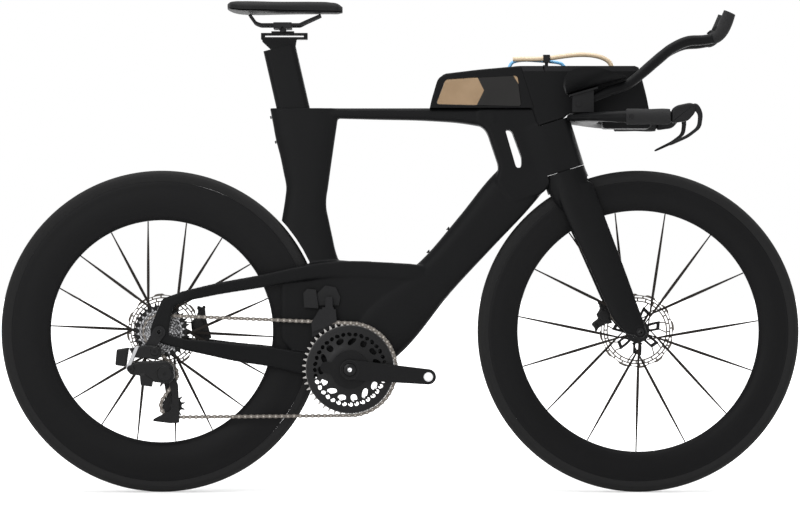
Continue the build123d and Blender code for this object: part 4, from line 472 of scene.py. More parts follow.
def gathered(parts: list[bpy.types.Object]) -> bpy.types.Object:
    """First object with the shells of the others added to it; the others are used up."""
    kept = parts[0]
    shells = bmesh.new()
    for part in parts:
        shells.from_mesh(part.data)
    shells.to_mesh(kept.data)
    shells.free()
    for part in parts[1:]:
        bpy.data.objects.remove(part)
    return kept


def melted(made: bpy.types.Object, voxel: float, rounds: int) -> bpy.types.Object:
    """Shells that overlap, made one skin whose joints flow into each other.

    Args:
        made: Object of closed shells.
        voxel: Size of the grid on which the skin is rebuilt.
        rounds: Rounds that even the skin out.

    Returns:
        The object with its new mesh.
    """
    step = made.modifiers.new("skin", "REMESH")
    step.mode, step.voxel_size, step.use_smooth_shade = "VOXEL", voxel * MM, True
    settle(made)
    mesh = made.data
    points = np.empty(len(mesh.vertices) * 3)
    edges = np.empty(len(mesh.edges) * 2, np.int32)
    mesh.vertices.foreach_get("co", points)
    mesh.edges.foreach_get("vertices", edges)
    points = relaxed(points.reshape(-1, 3), edges.reshape(-1, 2), rounds)
    mesh.vertices.foreach_set("co", points.ravel())
    mesh.shade_smooth()
    mesh.update()
    return made


def placed(
    made: bpy.types.Object, body: str, material: bpy.types.Material, nodes: tuple[str, ...] = (), crease: float = 40.0
) -> bpy.types.Object:
    """Finished piece on its body.

    Args:
        made: The piece.
        body: Body that it rides on.
        material: Its finish.
        nodes: Solids that it stands for.
        crease: Angle in degrees over which an edge is sharp.

    Returns:
        The piece.
    """
    made.data.materials.clear()
    made.data.materials.append(material)
    if made.type == "MESH":
        made.data.shade_smooth()
        made.data.set_sharp_from_angle(angle=math.radians(crease))
        even = made.modifiers.new("even normals", "WEIGHTED_NORMAL")
        even.keep_sharp = True
    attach(made, body)
    if nodes:
        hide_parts(*nodes)
    log.info("piece %s on %s", made.name, body)
    return made


# Shader expressions


class Value:
    """A number that changes over a surface, with the usual operators."""

    def __init__(self, graph: "Graph", socket: bpy.types.NodeSocket) -> None:
        """Holds the socket that gives the number."""
        self.graph = graph
        self.socket = socket

    def math(self, operation: str, *others: "Value | float") -> "Value":
        """Result of a Math node on this value and others."""
        return self.graph.node("Math", {"operation": operation}, [self, *others])

    def __add__(self, other: "Value | float") -> "Value":
        """Sum."""
        return self.math("ADD", other)

    def __radd__(self, other: float) -> "Value":
        """Sum with a number first."""
        return self.math("ADD", other)

    def __sub__(self, other: "Value | float") -> "Value":
        """Difference."""
        return self.math("SUBTRACT", other)

    def __rsub__(self, other: float) -> "Value":
        """Difference from a number."""
        return self.graph.node("Math", {"operation": "SUBTRACT"}, [other, self])

    def __mul__(self, other: "Value | float") -> "Value":
        """Product."""
        return self.math("MULTIPLY", other)

    def __rmul__(self, other: float) -> "Value":
        """Product with a number first."""
        return self.math("MULTIPLY", other)

    def __truediv__(self, other: "Value | float") -> "Value":
        """Quotient."""
        return self.math("DIVIDE", other)

    def __pow__(self, other: float) -> "Value":
        """Power."""
        return self.math("POWER", other)

    def between(self, low: float, high: float) -> "Value":
        """Smooth step from 0 at the low value to 1 at the high one."""
        return self.graph.node("MapRange", {"interpolation_type": "SMOOTHSTEP"}, [self, low, high, 0.0, 1.0])

    def wave(self) -> "Value":
        """Sine, brought between 0 and 1."""
        return self.math("SINE") * 0.5 + 0.5


class Graph:
    """Node tree of one material, built from expressions."""

    def __init__(self, name: str) -> None:
        """Starts a material with a Principled shader."""
        self.material = bpy.data.materials.new(name)
        self.material.use_nodes = True
        self.tree = self.material.node_tree
        self.shader = self.tree.nodes["Principled BSDF"]
        self.output = self.tree.nodes["Material Output"]
        self.place = self.node("TexCoord", {}, [], "Object")

    def node(self, kind: str, settings: dict, values: list | dict, out: int | str = 0) -> Value:
        """Adds a node.

        Args:
            kind: Type name without its ShaderNode start.
            settings: Properties, set before the sockets.
            values: Values, links or None for the sockets, in order or by name.
            out: Output wanted.

        Returns:
            That output.
        """
        made = self.tree.nodes.new("ShaderNode" + kind)
        for key, setting in settings.items():
            if key == "stops":
                for stop, (at, shade) in zip(made.color_ramp.elements, setting):
                    stop.position, stop.color = at, shade
            else:
                setattr(made, key, setting)
        pairs = values.items() if isinstance(values, dict) else enumerate(values)
        for key, value in pairs:
            if isinstance(value, Value):
                self.tree.links.new(value.socket, made.inputs[key])
            elif value is not None:
                made.inputs[key].default_value = value
        return Value(self, made.outputs[out])

    def noise(self, scale: float, detail: float = 3.0, roughness: float = 0.5, where: Value | None = None) -> Value:
        """Noise between 0 and 1, at a scale in cycles per metre."""
        sockets = {"Vector": where or self.place, "Scale": scale, "Detail": detail, "Roughness": roughness}
        return self.node("TexNoise", {}, sockets)

    def axis(self, index: int) -> Value:
        """One coordinate of the surface point, in metres."""
        return self.node("SeparateXYZ", {}, [self.place], index)

    def vector(self, x: "Value | float", y: "Value | float", z: "Value | float") -> Value:
        """Vector from three numbers."""
        return self.node("CombineXYZ", {}, [x, y, z])

    def polar(self, centre: tuple[float, float]) -> tuple[Value, Value, Value]:
        """Radius, turn and Y of the surface point about an axle.

        Args:
            centre: Side-view point of the axle in millimetres.

        Returns:
            Radius in metres, angle in radians and Y in metres.
        """
        x = self.axis(0) - centre[0] * MM
        z = self.axis(2) - centre[1] * MM
        radius = (x * x + z * z) ** 0.5
        return radius, z.math("ARCTAN2", x), self.axis(1)

    def blend(self, share: "Value | float", first: tuple, second: tuple) -> Value:
        """Colour mixed from two by a share."""
        settings = {"data_type": "RGBA"}
        made = self.node("Mix", settings, {0: share, 6: (*first, 1.0), 7: (*second, 1.0)}, 2)
        return made

    def raised(self, height: Value, depth: float, strength: float = 1.0, under: Value | None = None) -> Value:
        """Normal of a height field.

        Args:
            height: Height between 0 and 1.
            depth: Full height in millimetres.
            strength: Share of the bump.
            under: Normal that the bump is laid over.

        Returns:
            The normal.
        """
        sockets = {"Strength": strength, "Distance": depth * MM, "Height": height, "Normal": under}
        return self.node("Bump", {}, sockets)

    def done(self, colour: "Value | tuple", roughness: "Value | float", normal: Value | None = None, **fixed: float):
        """Links the shader and gives the material.

        Args:
            colour: Base colour.
            roughness: Roughness.
            normal: Normal, if it changes.
            **fixed: Other sockets by name, words joined by an underscore.

        Returns:
            The material.
        """
        sockets = {"Base Color": colour, "Roughness": roughness, "Normal": normal}
        for key, value in sockets.items():
            if isinstance(value, Value):
                self.tree.links.new(value.socket, self.shader.inputs[key])
            elif value is not None:
                self.shader.inputs[key].default_value = (*value, 1.0) if isinstance(value, tuple) else value
        for key, value in fixed.items():
            target = self.shader.inputs[key.replace("_", " ").title().replace("Ior", "IOR")]
            if isinstance(value, Value):
                self.tree.links.new(value.socket, target)
            else:
                target.default_value = value
        return self.material


# Finishes


@dataclass(frozen=True)
class MattCoat:
    """Matt clear coat over dark fibre: near black, with a faint mottle and fine orange peel."""

    name: str = "matt_coat"
    shade: tuple = (0.0038, 0.0039, 0.0042)
    light: tuple = (0.0062, 0.0063, 0.0067)
    gloss: float = 0.4

    def make(self) -> bpy.types.Material:
        """Builds the material."""
        graph = Graph(self.name)
        cloud = graph.noise(14.0, 3.0)
        flake = graph.noise(2600.0, 1.0)
        colour = graph.blend(cloud * 0.7 + flake * 0.3, self.shade, self.light)
        peel = graph.noise(420.0, 2.0)
        rough = self.gloss + cloud * 0.06 + flake * 0.04
        return graph.done(colour, rough, graph.raised(peel, 0.05, 0.25), specular_ior_level=0.07)


@dataclass(frozen=True)
class WheelLaminate:
    """Satin laminate of a deep rim: fibre streaks round the wheel and a painted sheen along its outer lip."""

    name: str
    centre: tuple[float, float]
    shade: tuple = (0.0045, 0.0045, 0.0048)
    light: tuple = (0.0095, 0.0095, 0.01)

    def make(self) -> bpy.types.Material:
        """Builds the material."""
        graph = Graph(self.name)
        radius, turn, side = graph.polar(self.centre)
        spread_out = graph.vector(turn * 0.35, radius * 14.0, side * 6.0)
        streak = graph.noise(36.0, 4.0, 0.6, spread_out)
        cloud = graph.noise(9.0, 2.0)
        # Lighter band at the rim's outer lip: a painted sheen, with the roughness unchanged there.
        edge = radius.between(0.3115, 0.3125)
        colour = graph.blend(streak * 0.55 + cloud * 0.25 + edge * 0.2, self.shade, self.light)
        rough = 0.34 + streak * 0.1 + cloud * 0.06
        return graph.done(colour, rough, graph.raised(streak, 0.03, 0.2), specular_ior_level=0.06)


@dataclass(frozen=True)
class TyreRubber:
    """Slick tyre: smooth crown, fine file marks on the shoulders and a ribbed sidewall."""

    name: str
    centre: tuple[float, float]
    shade: tuple = (0.010, 0.010, 0.0105)
    worn: tuple = (0.019, 0.0188, 0.0185)

    def make(self) -> bpy.types.Material:
        """Builds the material."""
        graph = Graph(self.name)
        radius, turn, side = graph.polar(self.centre)
        away = side.math("ABSOLUTE")
        shoulder = away.between(0.0045, 0.006) * (1.0 - away.between(0.0115, 0.0128))
        marks = (turn * 620.0 + away * 900.0).wave() * shoulder
        ribs = (radius * 5200.0).wave() * away.between(0.0128, 0.0134)
        dust = graph.noise(120.0, 4.0)
        colour = graph.blend(dust * 0.6 + shoulder * 0.3, self.shade, self.worn)
        rough = 0.62 + dust * 0.14
        height = marks * 0.7 + ribs * 0.3
        return graph.done(colour, rough, graph.raised(height, 0.25, 0.5), specular_ior_level=0.1)


@dataclass(frozen=True)
class Metal:
    """Machined metal with fine brush lines, round an axle or along the bike."""

    name: str
    shade: tuple
    light: tuple
    gloss: float = 0.28
    metallic: float = 1.0
    centre: tuple[float, float] | None = None
    specular: float = 0.12

    def make(self) -> bpy.types.Material:
        """Builds the material."""
        graph = Graph(self.name)
        if self.centre is None:
            where = graph.node("Mapping", {}, {"Vector": graph.place, "Scale": (1.0, 12.0, 12.0)})
        else:
            radius, turn, side = graph.polar(self.centre)
            where = graph.vector(turn * 0.02, radius * 12.0, side * 4.0)
        brush = graph.noise(180.0, 4.0, 0.7, where)
        patch = graph.noise(30.0, 3.0)
        colour = graph.blend(brush * 0.6 + patch * 0.4, self.shade, self.light)
        rough = self.gloss + brush * 0.12 + patch * 0.08
        normal = graph.raised(brush, 0.03, 0.3)
        return graph.done(colour, rough, normal, metallic=self.metallic, specular_ior_level=self.specular)


@dataclass(frozen=True)
class RingAlloy:
    """Black anodised chainring with bare machined teeth and a painted highlight line along the edge of its dish."""

    name: str = "chainring_alloy"
    shade: tuple = (0.005, 0.005, 0.0054)
    light: tuple = (0.012, 0.012, 0.0125)
    bare: tuple = (0.3, 0.29, 0.28)

    def make(self) -> bpy.types.Material:
        """Builds the material."""
        graph = Graph(self.name)
        radius, turn, side = graph.polar(CRANK_AXLE)
        brush = graph.noise(180.0, 4.0, 0.7, graph.vector(turn * 0.02, radius * 12.0, side * 4.0))
        bare = radius.between(0.0926, 0.0932)
        # A thin painted highlight where the dish face turns at its edge: lighter colour, not metallic.
        line = radius.between(0.0913, 0.0916) * (1.0 - radius.between(0.0921, 0.0924)) * 0.3
        coat = graph.blend(brush, self.shade, self.light)
        settings = {"data_type": "RGBA"}
        colour = graph.node("Mix", settings, {0: bare + line, 6: coat, 7: (*self.bare, 1.0)}, 2)
        return graph.done(colour, 0.3 + brush * 0.1, graph.raised(brush, 0.03, 0.3), metallic=bare * 0.8, specular_ior_level=0.14)


@dataclass(frozen=True)
class ChainSteel:
    """Oiled chain steel: a brown oil mottle, brighter on the pin heads."""

    name: str = "oiled_chain_steel"
    shade: tuple = (0.045, 0.038, 0.032)
    light: tuple = (0.17, 0.155, 0.14)
    bright: tuple = (0.3, 0.28, 0.255)

    def make(self) -> bpy.types.Material:
        """Builds the material."""
        graph = Graph(self.name)
        oil = graph.noise(260.0, 3.0, 0.6)
        head = ((graph.axis(1) + 0.043).math("ABSOLUTE")).between(0.00251, 0.00257)
        coat = graph.blend(oil, self.shade, self.light)
        colour = graph.node("Mix", {"data_type": "RGBA"}, {0: head, 6: coat, 7: (*self.bright, 1.0)}, 2)
        return graph.done(colour, 0.24 + oil * 0.14, graph.raised(oil, 0.05, 0.3), metallic=0.9)


@dataclass(frozen=True)
class CogSteel:
    """Machined cogs: bright steel teeth and spider arms with painted glints, over painted shade in the gaps and between
    the cogs, and a black largest cog.
    """

    name: str = "cog_steel"
    # Colour of the painted shade in the gaps, and the largest cog's own black.
    dark: tuple = (0.012, 0.012, 0.013)
    shade: tuple = (0.12, 0.12, 0.125)
    light: tuple = (0.5, 0.5, 0.51)

    def make(self) -> bpy.types.Material:
        """Builds the material."""
        graph = Graph(self.name)
        radius, turn, side = graph.polar(REAR_AXLE)
        brush = graph.noise(420.0, 4.0, 0.7, graph.vector(turn * 0.05, radius * 2.0, side * 6.0))
        glint = graph.noise(300.0, 1.0, 0.5)
        # Dark gaps between the spider arms are painted shade where the cogs' openings would be.
        webs_over_painted_gaps = (turn * 24.0 + radius * 900.0).wave().between(0.25, 0.5)
        # Dark bands across the radius are painted shade between the cogs.
        rows = (radius * 1500.0).wave().between(0.1, 0.35)
        steel = graph.blend((brush * 0.5 + glint * 0.5).between(0.3, 0.7), self.shade, self.light)
        # The dark share below 53 mm is painted shade; beyond it the colour is the largest cog's own black.
        bare = (webs_over_painted_gaps * rows * 0.75 + 0.25) * (1.0 - radius.between(0.0525, 0.0535))
        settings = {"data_type": "RGBA"}
        colour = graph.node("Mix", settings, {0: bare, 6: (*self.dark, 1.0), 7: steel}, 2)
        return graph.done(colour, 0.22 + brush * 0.14, graph.raised(brush, 0.05, 0.4), metallic=0.95)


@dataclass(frozen=True)
class Moulding:
    """Moulded plastic with a fine spark-eroded grain."""

    name: str
    shade: tuple = (0.006, 0.006, 0.0065)
    light: tuple = (0.012, 0.012, 0.0125)
    gloss: float = 0.44
    grain: float = 1500.0

    def make(self) -> bpy.types.Material:
        """Builds the material."""
        graph = Graph(self.name)
        pits = graph.node("TexVoronoi", {}, {"Vector": graph.place, "Scale": self.grain})
        cloud = graph.noise(24.0, 3.0)
        colour = graph.blend(cloud, self.shade, self.light)
        rough = self.gloss + pits * 0.08 + cloud * 0.06
        return graph.done(colour, rough, graph.raised(pits, 0.06, 0.5), specular_ior_level=0.12)


@dataclass(frozen=True)
class GripRubber:
    """Soft grip rubber with rows of small raised diamonds."""

    name: str = "grip_rubber_skin"
    shade: tuple = (0.012, 0.012, 0.0125)
    light: tuple = (0.024, 0.024, 0.0245)
    pitch: float = 2.4

    def make(self) -> bpy.types.Material:
        """Builds the material."""
        graph = Graph(self.name)
        step = 2 * math.pi / (self.pitch * MM)
        x, y, z = (graph.axis(index) for index in range(3))
        one, two = ((x + z) * step).wave(), ((x - z + y) * step).wave()
        diamonds = (one * two).between(0.25, 0.6)
        dust = graph.noise(90.0, 3.0)
        colour = graph.blend(dust * 0.6 + diamonds * 0.3, self.shade, self.light)
        return graph.done(colour, 0.66 + dust * 0.1, graph.raised(diamonds, 0.5, 0.6), specular_ior_level=0.15)


@dataclass(frozen=True)
class SaddleSkin:
    """Matt microfibre over foam: fine pores and soft creases."""

    name: str = "saddle_microfibre"
    shade: tuple = (0.005, 0.005, 0.0053)
    light: tuple = (0.012, 0.012, 0.0125)

    def make(self) -> bpy.types.Material:
        """Builds the material."""
        graph = Graph(self.name)
        pores = graph.node("TexVoronoi", {"feature": "DISTANCE_TO_EDGE"}, {"Vector": graph.place, "Scale": 620.0})
        creases = graph.noise(60.0, 5.0, 0.6)
        cloud = graph.noise(16.0, 2.0)
        colour = graph.blend(creases * 0.5 + cloud * 0.5, self.shade, self.light)
        height = pores.between(0.0, 0.25) * 0.6 + creases * 0.4
        return graph.done(colour, 0.55 + cloud * 0.15, graph.raised(height, 0.12, 0.6), specular_ior_level=0.12)


@dataclass(frozen=True)
class PadKnit:
    """Knitted cover of a forearm pad: rows of small loops, lighter on their crowns."""

    name: str = "pad_knit"
    shade: tuple = (0.014, 0.014, 0.015)
    light: tuple = (0.045, 0.045, 0.047)
    pitch: float = 1.6

    def make(self) -> bpy.types.Material:
        """Builds the material."""
        graph = Graph(self.name)
        step = 2 * math.pi / (self.pitch * MM)
        x, y = graph.axis(0), graph.axis(1)
        rows = (x * step).wave()
        loops = (y * step + rows * 2.0).wave()
        yarn = rows * loops
        fuzz = graph.noise(900.0, 3.0)
        colour = graph.blend(yarn * 0.7 + fuzz * 0.3, self.shade, self.light)
        return graph.done(colour, 0.9, graph.raised(yarn * 0.8 + fuzz * 0.2, 0.35, 0.8), specular_ior_level=0.2)


@dataclass(frozen=True)
class SmokedWindow:
    """Bronze tinted clear moulding with a faint random haze."""

    name: str = "smoked_window_clear"
    shade: tuple = (0.27, 0.175, 0.095)
    light: tuple = (0.44, 0.31, 0.19)
    cover: float = 0.72
    mask_tip: tuple[float, float] = (176.6, 846.0)
    clear_corner: tuple[float, float] = (239.8, 874.5)

    def make(self) -> bpy.types.Material:
        """Builds the material: clear at the rear up to a pointed edge, and printed black in front."""
        graph = Graph(self.name)
        x, z = graph.axis(0), graph.axis(2)
        haze = graph.noise(18.0, 3.0)
        point = x - (z - self.mask_tip[1] * MM).math("ABSOLUTE") * -0.5
        front = x + (z - self.clear_corner[1] * MM) * 0.62
        mask = point.between(self.mask_tip[0] * MM - 0.0004, self.mask_tip[0] * MM + 0.0004)
        edge = self.clear_corner[0] * MM
        mask = mask * (1.0 - front.between(edge - 0.0004, edge + 0.0004))
        glow = graph.node("Mix", {"data_type": "RGBA"}, {0: haze, 6: (*self.shade, 1.0), 7: (*self.light, 1.0)}, 2)
        colour = graph.node("Mix", {"data_type": "RGBA"}, {0: mask, 6: glow, 7: (0.008, 0.0075, 0.007, 1.0)}, 2)
        alpha = self.cover + mask * (1.0 - self.cover)
        return graph.done(colour, 0.16 + haze * 0.12, alpha=alpha, specular_ior_level=0.25)


@dataclass(frozen=True)
class SoftHose:
    """Semi-clear hose with faint marks of its making along it."""

    name: str
    shade: tuple
    light: tuple

    def make(self) -> bpy.types.Material:
        """Builds the material."""
        graph = Graph(self.name)
        cloud = graph.noise(70.0, 3.0)
        rings = (graph.axis(0) * 2400.0).wave()
        colour = graph.blend(cloud * 0.8 + rings * 0.2, self.shade, self.light)
        return graph.done(colour, 0.3 + cloud * 0.15, graph.raised(rings, 0.05, 0.3), coat_weight=0.3)


@dataclass(frozen=True)
class StudioFloor:
    """Pale floor that keeps the shadows and meets the white backdrop."""

    name: str = "studio_floor"
    colour: float = 0.82
    lift: float = 0.24
    near: float = 0.75
    far: float = 2.6

    def make(self) -> bpy.types.Material:
        """Builds the material: a matt surface, and a light that only the camera sees."""
        graph = Graph(self.name)
        speck = graph.noise(4.0, 2.0)
        graph.done(graph.blend(speck, (self.colour,) * 3, (self.colour * 1.02,) * 3), 0.9, specular_ior_level=0.0)
        x, y = graph.axis(0), graph.axis(1)
        away = ((x * x + y * y) ** 0.5).between(self.near, self.far)
        seen = graph.node("LightPath", {}, [], "Is Camera Ray")
        for ray in ("Is Glossy Ray", "Is Transmission Ray"):
            seen = seen.math("MAXIMUM", graph.node("LightPath", {}, [], ray))
        glow = graph.node("Emission", {}, {"Strength": seen * (self.lift + away)})
        both = graph.node("AddShader", {}, [Value(graph, graph.shader.outputs[0]), glow])
        graph.tree.links.new(both.socket, graph.output.inputs["Surface"])
        return graph.material


@dataclass
class Palette:
    """Every finish of the bike, built once."""

    def __post_init__(self) -> None:
        """Builds the materials."""
        self.frame = MattCoat().make()
        self.crank = MattCoat("crank_coat", (0.005, 0.005, 0.0053), (0.01, 0.01, 0.0105), 0.3).make()
        self.front_rim = WheelLaminate("front_rim_laminate", FRONT_AXLE).make()
        self.rear_rim = WheelLaminate("rear_rim_laminate", REAR_AXLE).make()
        self.front_tyre = TyreRubber("front_tyre_rubber", FRONT_AXLE).make()
        self.rear_tyre = TyreRubber("rear_tyre_rubber", REAR_AXLE).make()
        self.steel = Metal("polished_steel", (0.45, 0.45, 0.46), (0.66, 0.66, 0.67), 0.2).make()
        self.front_rotor = Metal("front_rotor_steel", (0.07, 0.06, 0.052), (0.15, 0.135, 0.12), 0.34, 0.25, FRONT_AXLE).make()
        self.rear_rotor = Metal("rear_rotor_steel", (0.07, 0.06, 0.052), (0.15, 0.135, 0.12), 0.34, 0.25, REAR_AXLE).make()
        self.cassette = CogSteel().make()
        self.chain = ChainSteel().make()
        self.dark_metal = Metal("dark_plated_steel", (0.006, 0.006, 0.0065), (0.014, 0.014, 0.015), 0.3, 0.1).make()
        self.spokes = Metal("bladed_spoke_steel", (0.009, 0.0072, 0.006), (0.02, 0.016, 0.0135), 0.42, 0.0).make()
        self.rings = RingAlloy().make()
        self.alloy = Metal("black_anodised", (0.006, 0.006, 0.0065), (0.013, 0.013, 0.0138), 0.34, 0.1).make()
        self.gloss_black = Metal("gloss_black_cast", (0.004, 0.004, 0.0042), (0.011, 0.011, 0.0115), 0.16, 0.0).make()
        self.bright_link = Metal("bright_forged_link", (0.2, 0.2, 0.205), (0.42, 0.42, 0.43), 0.24).make()
        self.plastic = Moulding("black_moulding").make()
        self.cover = Moulding("cover_moulding", (0.009, 0.009, 0.0095), (0.014, 0.014, 0.015), 0.4, 2200.0).make()
        self.rubber = GripRubber().make()
        self.saddle = SaddleSkin().make()
        self.knit = PadKnit().make()
        self.window = SmokedWindow().make()
        self.beige = SoftHose("beige_hose", (0.5, 0.38, 0.24), (0.66, 0.53, 0.37)).make()
        self.blue = SoftHose("blue_hose", (0.1, 0.38, 0.72), (0.22, 0.55, 0.86)).make()


# Kept solids


@dataclass
class Hardware:
    """Solids that keep their shape and get a finish and clean edges."""

    palette: Palette
    crease: float = 32.0

    def edge_tree(self) -> bpy.types.NodeTree:
        """Geometry nodes that merge loose triangles and keep only the real edges sharp.

        Returns:
            The node group.
        """
        tree = bpy.data.node_groups.new("clean_edges", "GeometryNodeTree")
        tree.interface.new_socket("Mesh", in_out="INPUT", socket_type="NodeSocketGeometry")
        tree.interface.new_socket("Mesh", in_out="OUTPUT", socket_type="NodeSocketGeometry")
        kinds = ["NodeGroupInput", "GeometryNodeMergeByDistance", "GeometryNodeSetShadeSmooth"]
        start, merge, smooth, sharp, end, angle, over = (
            tree.nodes.new(kind)
            for kind in [*kinds, "GeometryNodeSetShadeSmooth", "NodeGroupOutput"]
            + ["GeometryNodeInputMeshEdgeAngle", "ShaderNodeMath"]
        )
        merge.inputs["Distance"].default_value = 0.000004
        sharp.domain = "EDGE"
        sharp.inputs["Shade Smooth"].default_value = False
        over.operation = "GREATER_THAN"
        over.inputs[1].default_value = math.radians(self.crease)
        links = tree.links
        links.new(start.outputs[0], merge.inputs["Geometry"])
        links.new(merge.outputs[0], smooth.inputs["Geometry"])
        links.new(smooth.outputs[0], sharp.inputs["Geometry"])
        links.new(angle.outputs["Unsigned Angle"], over.inputs[0])
        links.new(over.outputs[0], sharp.inputs["Selection"])
        links.new(sharp.outputs[0], end.inputs[0])
        return tree

    def dress(self, nodes: dict[str, bpy.types.Object]) -> None:
        """Gives every solid its finish.

        Args:
            nodes: The frame's nodes by name.
        """
        p = self.palette
        finishes = {
            "frame_bearings": p.steel,
            "front_hub": p.alloy,
            "rear_hub": p.alloy,
            "front_spokes": p.spokes,
            "rear_spokes": p.spokes,
            "front_rotor": p.front_rotor,
            "rear_rotor": p.rear_rotor,
            "front_axle": p.alloy,
            "rear_axle": p.alloy,
            "chain": p.chain,
            "cassette": p.cassette,
            "right_crank": p.crank,
            "left_crank": p.crank,
            "chainrings": p.rings,
            "front_derailleur": p.plastic,
            "front_derailleur_cage": p.dark_metal,
            "derailleur_hanger": p.alloy,
            "derailleur_knuckle": p.alloy,
            "derailleur_link": p.alloy,
            "derailleur_lower_knuckle": p.alloy,
            "derailleur_cage": p.dark_metal,
            "guide_pulley": p.plastic,
            "tension_pulley": p.plastic,
            "rear_caliper": p.alloy,
            "front_caliper": p.alloy,
            "seatpost": p.frame,
            "saddle_carriage": p.alloy,
            "saddle_rails": p.dark_metal,
            "module_cover": p.cover,
            "right_bar_button": p.plastic,
            "left_bar_button": p.plastic,
            "arm_risers": p.alloy,
            "right_extension_button": p.plastic,
            "left_extension_button": p.plastic,
            "tube_clip": p.plastic,
            "reservoir": p.plastic,
            "storage_lid": p.cover,
            "frame_fasteners": p.dark_metal,
        }
        tree = self.edge_tree()
        for name, node in nodes.items():
            if not node.material_slots:
                node.data.materials.append(None)
            node.material_slots[0].material = finishes.get(name, p.plastic)
            step = node.modifiers.new("clean edges", "NODES")
            step.node_group = tree
        log.info("dressed %d solids", len(nodes))


# Frame and fork


